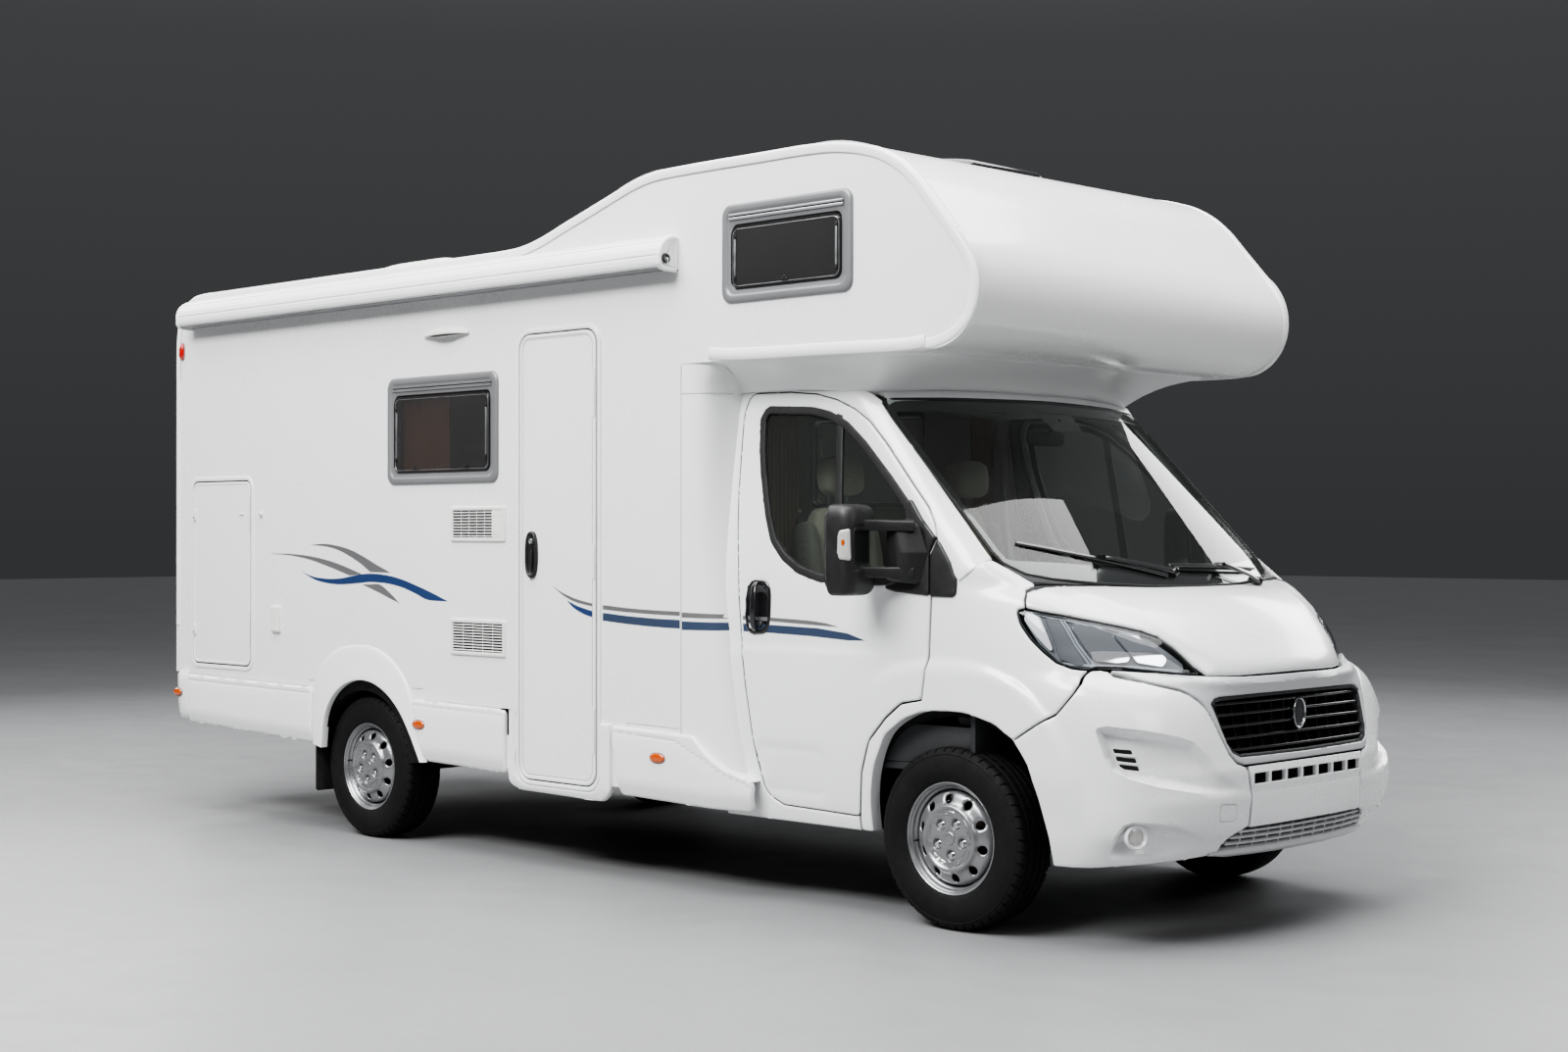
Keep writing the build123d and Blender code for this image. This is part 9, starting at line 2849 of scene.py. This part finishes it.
# ---------------------------------------------------------------- interior
def soft_box(lo, hi, p=5.0, n=20, crown=(0.0, 0.0, 0.0), relief=None, rot=0.0, pivot=None):
    """Crowned pad between two corners, as a cube grid pulled to a rounded form; rot tips it about y."""
    lo, hi = A(*lo), A(*hi)
    c, h = (lo + hi) / 2, (hi - lo) / 2
    t = np.tan(np.linspace(-1, 1, n + 1) * math.pi / 4)
    u, v = np.meshgrid(t, t, indexing="ij")
    g = Geo()
    for ax in range(3):
        for sg in (-1, 1):
            q = np.zeros((n + 1, n + 1, 3))
            q[..., ax] = sg
            q[..., (ax + 1) % 3] = u
            q[..., (ax + 2) % 3] = v
            k = (np.abs(q) ** p).sum(-1, keepdims=True) ** (1 / p)
            q = q / k
            f = [[i * (n + 1) + j, (i + 1) * (n + 1) + j, (i + 1) * (n + 1) + j + 1, i * (n + 1) + j + 1] for i in range(n) for j in range(n)]
            g.add(q.reshape(-1, 3), f, flip=sg < 0)
    w = g.verts()
    for k in range(3):
        a, b = w[:, (k + 1) % 3], w[:, (k + 2) % 3]
        w[:, k] *= 1 + crown[k] * (1 - a**2) * (1 - b**2)
        w[:, k] *= 1 - 0.6 * crown[k] * np.clip(np.abs(a * b), 0, 1)
    if relief is not None:
        w = relief(w)
    P = w * h
    if rot:
        pv = A(*(pivot or (0, 0, 0))) - (c if pivot else 0)
        r = math.radians(rot)
        m = np.array([[math.cos(r), 0, math.sin(r)], [0, 1, 0], [-math.sin(r), 0, math.cos(r)]])
        P = (P - pv) @ m.T + pv
    g.v = [P + c]
    return outward(g)


def channels(axis, at, depth=0.05, width=0.035, face=None):
    """Sewn channels across a pad: grooves where w[axis] is near one of at."""
    def f(w):
        o = w.copy()
        k = face if face is not None else (axis + 1) % 3
        d = np.zeros(len(w))
        for a in at:
            d = np.maximum(d, np.exp(-((w[:, axis] - a) / width) ** 2))
        o[:, k] *= 1 - depth * d * (np.abs(w[:, k]) > 0.4)
        return o
    return f


def pad(name, geo, mat, fill, body="motorhome", replaces=(), slot="seat_cloth"):
    ob = make(name, geo, mat, body, slot, replaces=replaces, smooth=180, weld=1e-5)
    return ob


for _sd, _sg in (("right", -1), ("left", 1)):
    _y = 0.440 * _sg
    # cushion with side bolsters and three channels
    pad(_sd + "_seat_cushion", soft_box((-1.030, _y - 0.175, 0.930), (-0.515, _y + 0.175, 1.058), 5, 26, (0, 0, 0.10), channels(0, (-0.35, 0.05, 0.45), 0.07, 0.035, 2), rot=-3,
                                       pivot=(-1.03, _y, 0.99)), M["seat"], 0.7, replaces="cab_seats")
    for _q, _o in (("inner", -0.205 * _sg), ("outer", 0.205 * _sg)):
        pad("%s_seat_bolster_%s" % (_sd, _q), soft_box((-1.025, _y + _o - 0.038, 0.925), (-0.530, _y + _o + 0.038, 1.070), 4, 16, (0, 0, 0.08), rot=-3, pivot=(-1.03, _y, 0.99)),
            M["seat_side"], 0.8, replaces="cab_seats")
    # back rest: middle pad, two bolsters, head rest
    _pv = (-1.060, _y, 1.02)

    def taper(w):
        o = w.copy()
        o[:, 1] *= 1 - 0.10 * smoothstep(0.0, 1.0, w[:, 2])
        return o
    pad(_sd + "_seat_back", soft_box((-1.120, _y - 0.170, 1.020), (-1.008, _y + 0.170, 1.665), 5, 28, (0.16, 0, 0), lambda w: channels(2, (-0.45, -0.1, 0.25, 0.6), 0.10, 0.03, 0)(taper(w)),
                                    rot=-7.0, pivot=_pv), M["seat"], 0.7, replaces="cab_seats")
    for _q, _o in (("inner", -0.198 * _sg), ("outer", 0.198 * _sg)):
        pad("%s_back_bolster_%s" % (_sd, _q), soft_box((-1.115, _y + _o - 0.036, 1.035), (-0.985, _y + _o + 0.036, 1.600), 4, 18, (0.05, 0, 0), taper, rot=-7.0, pivot=_pv),
            M["seat_side"], 0.8, replaces="cab_seats")
    pad(_sd + "_head_rest", soft_box((-1.135, _y - 0.125, 1.715), (-1.035, _y + 0.125, 1.885), 4, 20, (0.12, 0, 0.04), rot=-4.0, pivot=(-1.08, _y, 1.70)), M["seat"], 0.8, replaces="cab_seats")
    g = Geo()
    for _o in (-0.06, 0.06):
        g.join(tube(A((-1.110, _y + _o, 1.60), (-1.118, _y + _o, 1.66), (-1.102, _y + _o, 1.76)), 0.006, 12))
    make(_sd + "_head_rest_posts", outward(g), M["chrome_dull"], replaces="cab_seats", slot="silver_wheel")
    # shell, base, arm rest
    g = yz_prism(rounded(A((_y - 0.20, 1.02), (_y + 0.20, 1.02), (_y + 0.175, 1.64), (_y - 0.175, 1.64)), 0.04, 5), -0.010, 0.010)
    v = g.verts()
    v[:, 0] += -1.122 - (v[:, 2] - 1.02) * 0.115
    g.v = [v]
    make(_sd + "_seat_shell", g, M["dark"], replaces="cab_seats", slot="dark_trim", bevel=0.004)
    g = xz_prism(rounded(A((-1.03, 0.640), (-0.63, 0.640), (-0.60, 0.875), (-0.585, 0.925), (-1.045, 0.925), (-1.045, 0.86)), [0.01, 0.01, 0.02, 0.02, 0.02, 0.02], 4), _y - 0.19, _y + 0.19)
    make(_sd + "_seat_base", g, M["dark"], replaces="cab_seats", slot="dark_trim", bevel=0.006)
    pad(_sd + "_arm_rest", soft_box((-1.050, _y - _sg * 0.282 - 0.025, 1.205), (-0.720, _y - _sg * 0.282 + 0.025, 1.265), 3.5, 14, (0, 0, 0.05), rot=3, pivot=(-1.04, _y, 1.24)), M["seat_side"], 0.8,
        replaces="cab_seats")

# ---- dashboard
_dy = np.r_[np.linspace(-0.905, -0.60, 16), np.linspace(-0.58, 0.58, 60), np.linspace(0.60, 0.905, 16)]


def dash_rows(dy, cut=0.0):
    rows = []
    for y in dy:
        ay = abs(y)
        xf = float(screen_x(A(min(ay, 0.80)), A(1.330))[0]) - 0.045 - 0.10 * smoothstep(0.80, 0.905, ay)
        hood = 0.046 * math.exp(-((y - 0.425) / 0.19) ** 6)
        ctr = 0.016 * math.exp(-(y / 0.20) ** 6)
        glove = -0.012 * smoothstep(-0.19, -0.22, y) * smoothstep(-0.70, -0.67, y)
        end = 0.03 * smoothstep(0.84, 0.905, ay)
        q = A((xf, 1.262), (xf, 1.283), (xf - 0.012, 1.290), (0.18, 1.300), (0.06, 1.308), (0.0, 1.312 + hood * 0.25), (-0.06, 1.314 + hood * 0.75), (-0.12, 1.313 + hood),
              (-0.175, 1.309 + hood), (-0.196, 1.303 + hood), (-0.206, 1.292 + hood), (-0.203, 1.280 + hood), (-0.186, 1.270 + hood), (-0.170 - ctr * 0.5, 1.258),
              (-0.166 - ctr, 1.215), (-0.160 - ctr, 1.150), (-0.156 - ctr, 1.128), (-0.166 + glove - ctr, 1.116), (-0.163 + glove - ctr, 1.090),
              (-0.140 + glove - ctr, 1.020), (-0.112 + glove - ctr, 0.950), (-0.090 - ctr, 0.925), (-0.065 - ctr * 2, 0.880), (-0.020 - ctr * 5, 0.790), (0.0 - ctr * 5, 0.705),
              (0.060, 0.705), (0.066, 1.18))
        q[:, 0] += end * (q[:, 0] < -0.1)
        q[7:14, 0] += 0.02 * smoothstep(0.7, 0.905, ay)
        rows.append(np.stack([q[:, 0], np.full(len(q), y), q[:, 1]], -1))
    return np.array(rows)


make("dash_moulding", outward(grid_geo(dash_rows(_dy), closed_v=True, cap_u=True)), M["dash"], replaces="dashboard", slot="dark_trim", smooth=38)


def dash_x(y, z):
    """x of the dashboard's face at (y, z), a little proud."""
    r = dash_rows([y])[0]
    seg = r[12:24][::-1]
    return float(np.interp(z, seg[:, 2], seg[:, 0]))


def on_dash(loop, y, z, out=0.006, thick=0.010):
    x = dash_x(y, z)
    return yz_prism([(y + a, z + b) for a, b in loop], x - out, x + thick)


# vents with louvres
for _k, (_vy, _w) in enumerate(((-0.80, 0.055), (-0.085, 0.055), (0.085, 0.055), (0.80, 0.055))):
    _x = dash_x(_vy, 1.205)
    g = Geo()
    _o, _i = rrect(_vy - _w, _vy + _w, 1.165, 1.245, 0.02, 4), rrect(_vy - _w + 0.008, _vy + _w - 0.008, 1.173, 1.237, 0.014, 4)
    _ring = []
    for _xx, _lp in ((_x + 0.010, _o), (_x - 0.006, _o), (_x - 0.008, (np.asarray(_o) + np.asarray(_i)) / 2), (_x - 0.006, _i), (_x + 0.006, _i)):
        _lp = np.asarray(_lp)
        _ring.append(np.stack([np.full(len(_lp), _xx), _lp[:, 0], _lp[:, 1]], -1))
    g.join(outward(grid_geo(np.transpose(np.array(_ring), (1, 0, 2)), closed_u=True, closed_v=True)))
    for _zz in (1.186, 1.198, 1.210, 1.222):
        g.join(box(_x - 0.004, _x + 0.008, _vy - _w + 0.010, _vy + _w - 0.010, _zz - 0.0012, _zz + 0.0012))
    g.join(box(_x - 0.005, _x + 0.004, _vy - 0.004, _vy + 0.004, 1.192, 1.218))
    make("dash_vent_%d" % (_k + 1), g, M["black"], replaces="dashboard", slot="black_plastic")
g = on_dash(rrect(-0.11, 0.11, -0.055, 0.055, 0.012, 4), 0.0, 1.075, 0.012)
make("dash_screen", g, M["black_gloss"], replaces="dashboard", slot="dark_trim", bevel=0.003)
g = Geo()
for _yy in (-0.07, 0.0, 0.07):
    _x = dash_x(_yy, 0.975)
    g.join(outward(lathe([(0, -0.012), (0.0215, -0.012), (0.0225, -0.009), (0.0225, 0.012), (0, 0.012)], (_x - 0.004, _yy, 0.975), "x", 28, closed=False)))
make("dash_knobs", g, M["black"], replaces="dashboard", slot="black_plastic")
# instrument glass under the hood
g = yz_prism(ellipse(0.425, 1.262, 0.165, 0.052, 48, 0, 3.0), -0.190, -0.180)
make("instrument_panel", g, M["black_gloss"], replaces="dashboard", slot="dark_trim", bevel=0.002)
# glove box lid line and gear lever
g = on_dash(rrect(-0.21, 0.21, -0.075, 0.075, 0.02, 4), -0.45, 1.020, 0.004, 0.02)
make("glove_box_lid", g, M["dash"], replaces="dashboard", slot="dark_trim", bevel=0.004)
g = tube(A((-0.115, 0.09, 0.96), (-0.190, 0.09, 1.000), (-0.245, 0.09, 1.060)), 0.009, 12)
g.join(lathe([(0, -0.028), (0.016, -0.026), (0.023, -0.008), (0.022, 0.012), (0.012, 0.024), (0, 0.026)], (-0.252, 0.09, 1.072), "z", 24, closed=False))
make("gear_lever", g, M["black"], replaces="dashboard", slot="black_plastic", smooth=60)

# ---- steering wheel, turning about its column
_sc, _sa = A(-0.395, 0.425, 1.215), A(-0.53, 0.0, 0.848)
_sa = _sa / np.linalg.norm(_sa)
_su = np.cross(A(0, 1.0, 0), _sa)
_sv = A(0, 1.0, 0)


def sw(a, b, c=0.0):
    """Point of the wheel: a to the left, b up the wheel, c towards the driver."""
    return _sc + _sv * a + _su * b + _sa * c


if sw(0, 1)[2] < _sc[2]:
    _su = -_su
_t = np.arange(72) * 2 * math.pi / 72
_ring = np.array([sw(0.178 * math.cos(t), 0.178 * math.sin(t)) for t in _t])
_rim = sweep(_ring, ellipse(0, 0, 0.0125, 0.0145, 14, 0, 2.4), normal=_sa, closed=True)
make("steering_rim", outward(_rim), M["wheel_skin"], "steering", "black_plastic", replaces="steering_wheel", smooth=60)
g = Geo()
for _a in (8, 172, 248, 292):
    r = math.radians(_a)
    p = np.array([sw(k * math.cos(r), k * math.sin(r), -0.030 + 0.030 * smoothstep(0.06, 0.17, k)) for k in np.linspace(0.05, 0.176, 8)])
    g.join(outward(sweep(p, rounded(A((-0.016, -0.006), (0.016, -0.006), (0.016, 0.006), (-0.016, 0.006)), 0.005, 3), normal=_sa)))
make("steering_spokes", g, M["black"], "steering", "black_plastic", replaces="steering_wheel", smooth=50)
_rows = []
for _c, _s in ((-0.060, 0.55), (-0.045, 0.85), (-0.030, 0.96), (-0.012, 1.0), (0.0, 0.97), (0.008, 0.86), (0.012, 0.65), (0.013, 0.3)):
    _L = ellipse(0, -0.005, 0.082 * _s, 0.068 * _s, 40, 0, 2.8)
    _rows.append([sw(a, b, _c) for a, b in _L])
make("steering_hub_pad", outward(grid_geo(np.array(_rows), closed_v=True, cap_u=True)), M["black"], "steering", "black_plastic", replaces="steering_wheel", smooth=60)
_L = ellipse(0, 0, 0.020, 0.020, 28)
make("steering_hub_ring", outward(grid_geo(np.array([[sw(a * s, b * s, c) for a, b in _L] for c, s in ((0.010, 1.0), (0.0155, 1.0), (0.0165, 0.9), (0.0150, 0.8))]), closed_v=True, cap_u=True)),
     M["chrome_dull"], "steering", "silver_wheel", replaces="steering_wheel", smooth=60)
# column shroud and stalks, fixed
_rows = []
for _c, _s in ((-0.064, 0.80), (-0.075, 1.0), (-0.20, 1.05), (-0.33, 1.1)):
    _L = ellipse(0, -0.012, 0.060 * _s, 0.048 * _s, 32, 0, 3.0)
    _rows.append([sw(a, b, _c) for a, b in _L])
make("column_shroud", outward(grid_geo(np.array(_rows), closed_v=True, cap_u=True)), M["dash"], replaces="dashboard", slot="dark_trim", smooth=60)
g = Geo()
for _s in (-1, 1):
    g.join(outward(tube(np.array([sw(_s * a, 0.012 + b, -0.092) for a, b in ((0.055, 0), (0.10, 0.006), (0.150, 0.012))]), 0.0065, 10)))
make("column_stalks", g, M["black"], replaces="dashboard", slot="black_plastic")

# ---- inside mirror, sun visors
_p0, _n0 = SC(A((0.0, 2.03), (0.0, 1.93)))
_mx = _p0[0] + A(-0.085, 0, -0.075)
g = soft_box((_mx[0] - 0.012, -0.125, _mx[2] - 0.034), (_mx[0] + 0.018, 0.125, _mx[2] + 0.034), 4, 12)
g.join(tube(A(tuple(_p0[0] + A(-0.004, 0, 0)), tuple(_p0[0] + A(-0.035, 0, -0.02)), tuple(_mx + A(0.012, 0, 0.012))), 0.008, 12))
make("inside_mirror", g, M["black"], replaces="dashboard", slot="black_plastic", smooth=60, weld=1e-5)
g = panel([rrect(-0.115, 0.115, _mx[2] - 0.027, _mx[2] + 0.027, 0.02, 4)], flat((_mx[0] - 0.0125, 0, 0), (0, 1, 0), (0, 0, 1)), thick=0.001, edge=0.0004, grid=0.05)
make("inside_mirror_glass", g, M["mirror"], replaces="dashboard", slot="silver_wheel")
for _sd, _sg in (("right", -1), ("left", 1)):
    _q, _m = SC(A((0.20 * _sg, 2.035), (0.62 * _sg, 2.035), (0.40 * _sg, 2.035)))
    _xx = _q[2][0]
    pad(_sd + "_sun_visor", soft_box((_xx - 0.235, 0.40 * _sg - 0.20, 2.040), (_xx - 0.060, 0.40 * _sg + 0.20, 2.062), 4, 14, (0, 0, 0.05), rot=12, pivot=(_xx - 0.06, 0, 2.05)), M["headliner"], 0.8)


# ---- curtains: gathered cloth with its pleats
def pleated(x, y0, y1, z0, z1, n, amp, along="y", seed=0, side=1.0):
    """Thin closed sheet; returns geometry and the width the cloth was cut to."""
    m = n * 12 + 1
    s = np.linspace(0, 1, m)
    rows = []
    zz = np.r_[z0, z0 + 0.012, np.linspace(z0 + 0.04, z1 - 0.06, 16), z1 - 0.03, z1 - 0.012, z1]
    flat_w = None
    for z in zz:
        k = (z - z0) / (z1 - z0)
        a = amp * (0.62 + 0.38 * math.cos(k * math.pi / 2)) * (1 - 0.55 * smoothstep(0.94, 1.0, k))
        ph = 2 * math.pi * n * (s + 0.004 * np.sin(3.1 * k + 9 * s + seed))
        off = a * np.sin(ph) * (0.85 + 0.15 * np.sin(5.3 * s + seed + 1.7 * k))
        pos = y0 + (y1 - y0) * (0.5 + (s - 0.5) * (1 - 0.03 * k))
        pos = pos + 0.10 * a * np.sin(2 * ph)
        p = np.stack([x + off, pos], -1)
        if flat_w is None or abs(k - 0.5) < 0.04:
            flat_w = float(np.linalg.norm(np.diff(p, axis=0), axis=1).sum())
        t = np.gradient(p, axis=0)
        nn = np.stack([t[:, 1], -t[:, 0]], -1)
        nn /= np.linalg.norm(nn, axis=1, keepdims=True)
        lp = np.vstack([p + nn * 0.0008, (p - nn * 0.0008)[::-1]])
        if along == "x":
            lp = lp[:, ::-1]
        rows.append(np.stack([lp[:, 0], lp[:, 1], np.full(len(lp), z)], -1))
    g = outward(grid_geo(np.array(rows), closed_v=True))
    # hems: the thin edge of the cloth at the bottom and top
    last = (len(rows) - 1) * 2 * m
    for base, rev in ((0, False), (last, True)):
        for i in range(m - 1):
            q = [base + i, base + 2 * m - 1 - i, base + 2 * m - 2 - i, base + i + 1]
            g.f.append(q[::-1] if rev else q)
            g.m.append(0)
    return g, flat_w


for _sd, _sg in (("right", -1), ("left", 1)):
    g, _w = pleated(-1.202, 0.602 * _sg, 0.778 * _sg, 0.905, 2.122, 7, 0.0165, seed=1.3 * _sg)
    ob = make(_sd + "_cab_curtain", g, M["curtain_brown"], replaces="cab_curtains", slot="curtain_cloth", smooth=180)
g = Geo()
for _sg in (-1, 1):
    g.join(tube(A((-1.202, 0.56 * _sg, 2.128), (-1.202, 0.82 * _sg, 2.128)), 0.007, 12))
make("cab_curtain_rails", outward(g), M["alu_bright"], replaces="cab_curtains", slot="silver_wheel")
# window curtain in the living area, drawn back to the rear half of the first window
g, _w = pleated(-1.043, -3.545, -3.120, 1.745, 2.345, 13, 0.014, along="x", seed=0.4)
ob = make("window_curtain", g, M["curtain_brown"], slot="curtain_cloth", smooth=180)
g = tube(A((-3.60, -1.043, 2.352), (-2.62, -1.043, 2.352)), 0.006, 12)
make("window_curtain_rail", outward(g), M["alu_bright"], slot="silver_wheel")

# ---- beds
pad("overcab_mattress_pad", soft_box((-1.098, -1.055, 2.311), (0.055, 1.055, 2.398), 9, 20, (0, 0, 0.03),
                                    lambda w: channels(1, (-0.75, -0.5, -0.25, 0, 0.25, 0.5, 0.75), 0.10, 0.012, 2)(w)), M["mattress"], 0.7, replaces="overcab_mattress", slot="seat_cloth")
pad("rear_bed_mattress", soft_box((-5.50, -1.050, 1.905), (-4.36, 1.050, 2.045), 9, 20, (0, 0, 0.03),
                                 lambda w: channels(1, (-0.66, -0.33, 0, 0.33, 0.66), 0.08, 0.012, 2)(w)), M["mattress"], 0.7, replaces="living_furniture", slot="seat_cloth")
for _k, _yy in enumerate((-0.50, 0.50)):
    pad("pillow_%d" % (_k + 1), soft_box((-5.48, _yy - 0.30, 2.035), (-5.09, _yy + 0.30, 2.150), 2.6, 20, (0, 0, 0.25), rot=-4, pivot=(-5.3, 0, 2.05)), M["curtain_cream"], 0.5, slot="seat_cloth")
g = box(-5.53, -4.30, -1.066, 1.066, 1.862, 1.898)
g.join(box(-4.335, -4.300, -1.066, 1.066, 1.83, 1.93))
g.join(box(-4.330, -4.302, -1.066, -0.40, 0.790, 1.862))
g.join(box(-4.330, -4.302, 0.40, 1.066, 0.790, 1.862))
g.join(box(-4.335, -4.297, -0.38, 0.38, 0.800, 0.86))
make("rear_bed_frame", g, M["wood"], replaces="living_furniture", slot="furniture_wood", bevel=0.004)

# ---- kitchen
g = box(-3.640, -2.640, -1.066, -0.530, 0.842, 1.600)
g.join(box(-3.635, -2.645, -1.066, -0.560, 0.788, 0.842))
make("kitchen_carcass", g, M["wood"], replaces="living_furniture", slot="furniture_wood", bevel=0.003)
g = xz_prism(rrect(-3.640, -2.640, 1.602, 1.638, 0.012, 4), -1.066, -0.522)
make("kitchen_worktop", g, M["pale_trim"], replaces="living_furniture", slot="furniture_wood", bevel=0.004)
g = Geo()
gh = Geo()
for _x0, _x1, _z0, _z1 in ((-3.625, -3.305, 0.86, 1.42), (-3.295, -2.985, 0.86, 1.42), (-2.975, -2.655, 0.86, 1.42), (-3.625, -3.305, 1.43, 1.585), (-3.295, -2.985, 1.43, 1.585),
                           (-2.975, -2.655, 1.43, 1.585)):
    g.join(xz_prism(rrect(_x0, _x1, _z0, _z1, 0.014, 4), -0.530, -0.514 - 0.0))
    _zz = _z1 - 0.05 if _z1 - _z0 > 0.3 else (_z0 + _z1) / 2
    gh.join(tube(A(((_x0 + _x1) / 2 - 0.05, -0.514, _zz), ((_x0 + _x1) / 2 - 0.05, -0.496, _zz), ((_x0 + _x1) / 2 + 0.05, -0.496, _zz), ((_x0 + _x1) / 2 + 0.05, -0.514, _zz)), 0.004, 8))
make("kitchen_doors", g, M["wood"], replaces="living_furniture", slot="furniture_wood", bevel=0.003)
make("kitchen_handles", outward(gh), M["alu_bright"], replaces="living_furniture", slot="silver_wheel")
# ---- bench with cushions, and its backrest
g = box(-2.900, -1.800, 0.472, 1.066, 0.788, 1.100)
g.join(box(-2.900, -2.785, 0.472, 1.066, 1.100, 1.640))
make("bench_base", g, M["wood"], replaces="living_furniture", slot="furniture_wood", bevel=0.004)
pad("bench_cushion", soft_box((-2.775, 0.475, 1.105), (-1.805, 1.062, 1.212), 6, 18, (0, 0, 0.08), channels(0, (-0.33, 0.33), 0.10, 0.02, 2)), M["seat"], 0.7, replaces="living_furniture")
pad("bench_back_cushion", soft_box((-2.785, 0.480, 1.215), (-2.680, 1.060, 1.700), 5, 16, (0.10, 0, 0), channels(2, (-0.33, 0.33), 0.12, 0.025, 0), rot=-3, pivot=(-2.78, 0, 1.22)), M["seat"], 0.7,
    replaces="living_furniture")


# ------------------------------------------------------ floor, light, camera
def stage():
    me = bpy.data.meshes.new("studio_floor")
    s = 60.0
    me.from_pydata([(-s, -s, 0), (s, -s, 0), (s, s, 0), (-s, s, 0)], [], [(0, 1, 2, 3)])
    fm = Mat("studio_floor_paint")
    n = fm.noise(0.6, 3)
    col = fm.mix(fm.span(n, 0, 1), (0.212, 0.214, 0.218), (0.235, 0.237, 0.241))
    fm.shader(col, fm.span(fm.noise(4, 3), 0.38, 0.48), fm.bump(fm.noise(90, 3), 0.03, 0.001), spec=0.35)
    me.materials.append(fm.m)
    fl = bpy.data.objects.new("studio_floor", me)
    bpy.context.scene.collection.objects.link(fl)

    w = bpy.data.worlds.new("studio")
    bpy.context.scene.world = w
    w.use_nodes = True
    nt = w.node_tree
    nt.nodes.clear()
    out = nt.nodes.new("ShaderNodeOutputWorld")
    bg = nt.nodes.new("ShaderNodeBackground")
    tc = nt.nodes.new("ShaderNodeTexCoord")
    sp = nt.nodes.new("ShaderNodeSeparateXYZ")
    rp = nt.nodes.new("ShaderNodeValToRGB")
    nt.links.new(tc.outputs["Generated"], sp.inputs[0])
    nt.links.new(sp.outputs[2], rp.inputs[0])
    e = rp.color_ramp.elements
    e[0].position, e[0].color = 0.0, (0.060, 0.061, 0.063, 1)
    e[1].position, e[1].color = 1.0, (0.62, 0.63, 0.65, 1)
    k = rp.color_ramp.elements.new(0.22)
    k.color = (0.085, 0.087, 0.090, 1)
    k = rp.color_ramp.elements.new(0.5)
    k.color = (0.26, 0.263, 0.27, 1)
    nt.links.new(rp.outputs[0], bg.inputs[0])
    bg.inputs[1].default_value = 0.62
    nt.links.new(bg.outputs[0], out.inputs[0])

    def area(name, loc, target, sx, sy, power, color=(1, 1, 1)):
        d = bpy.data.lights.new(name, "AREA")
        d.shape, d.size, d.size_y, d.energy, d.color = "RECTANGLE", sx, sy, power, color
        o = bpy.data.objects.new(name, d)
        bpy.context.scene.collection.objects.link(o)
        o.location = loc
        o.rotation_euler = (Vector(target) - Vector(loc)).to_track_quat("-Z", "Y").to_euler()
        return o

    area("top_softbox", (1.0, -0.5, 8.4), (0.4, 0.0, 1.0), 13.0, 8.0, 1650)
    area("key_softbox", (0.6, -9.8, 9.2), (0.0, 0.0, 1.5), 9.0, 3.4, 1600)
    area("front_softbox", (12.5, -2.0, 6.4), (2.5, 0.0, 1.6), 5.0, 3.0, 230)
    area("left_softbox", (2.0, 11.0, 5.5), (0.0, 0.0, 1.6), 7.0, 3.0, 300)
    area("back_softbox", (-10.0, 0.0, 5.0), (-2.0, 0.0, 1.6), 6.0, 3.0, 300)

    cam = bpy.data.cameras.new("camera")
    cam.lens, cam.sensor_width, cam.sensor_fit = 50.0, 36.0, "HORIZONTAL"
    cam.clip_end = 200
    co = bpy.data.objects.new("camera", cam)
    bpy.context.scene.collection.objects.link(co)
    co.location = (7.7585, -7.528, 1.554)
    a = math.radians(44.2)
    d = Vector((-math.sin(a), math.cos(a), 0.0026))
    co.rotation_euler = d.to_track_quat("-Z", "Y").to_euler()
    bpy.context.scene.camera = co
    vs = bpy.context.scene.view_settings
    vs.view_transform = "AgX"
    vs.look = "AgX - Medium High Contrast"
    vs.exposure = 0.35


stage()
# one Background for a view that faces the sky
bpy.context.view_layer.update()
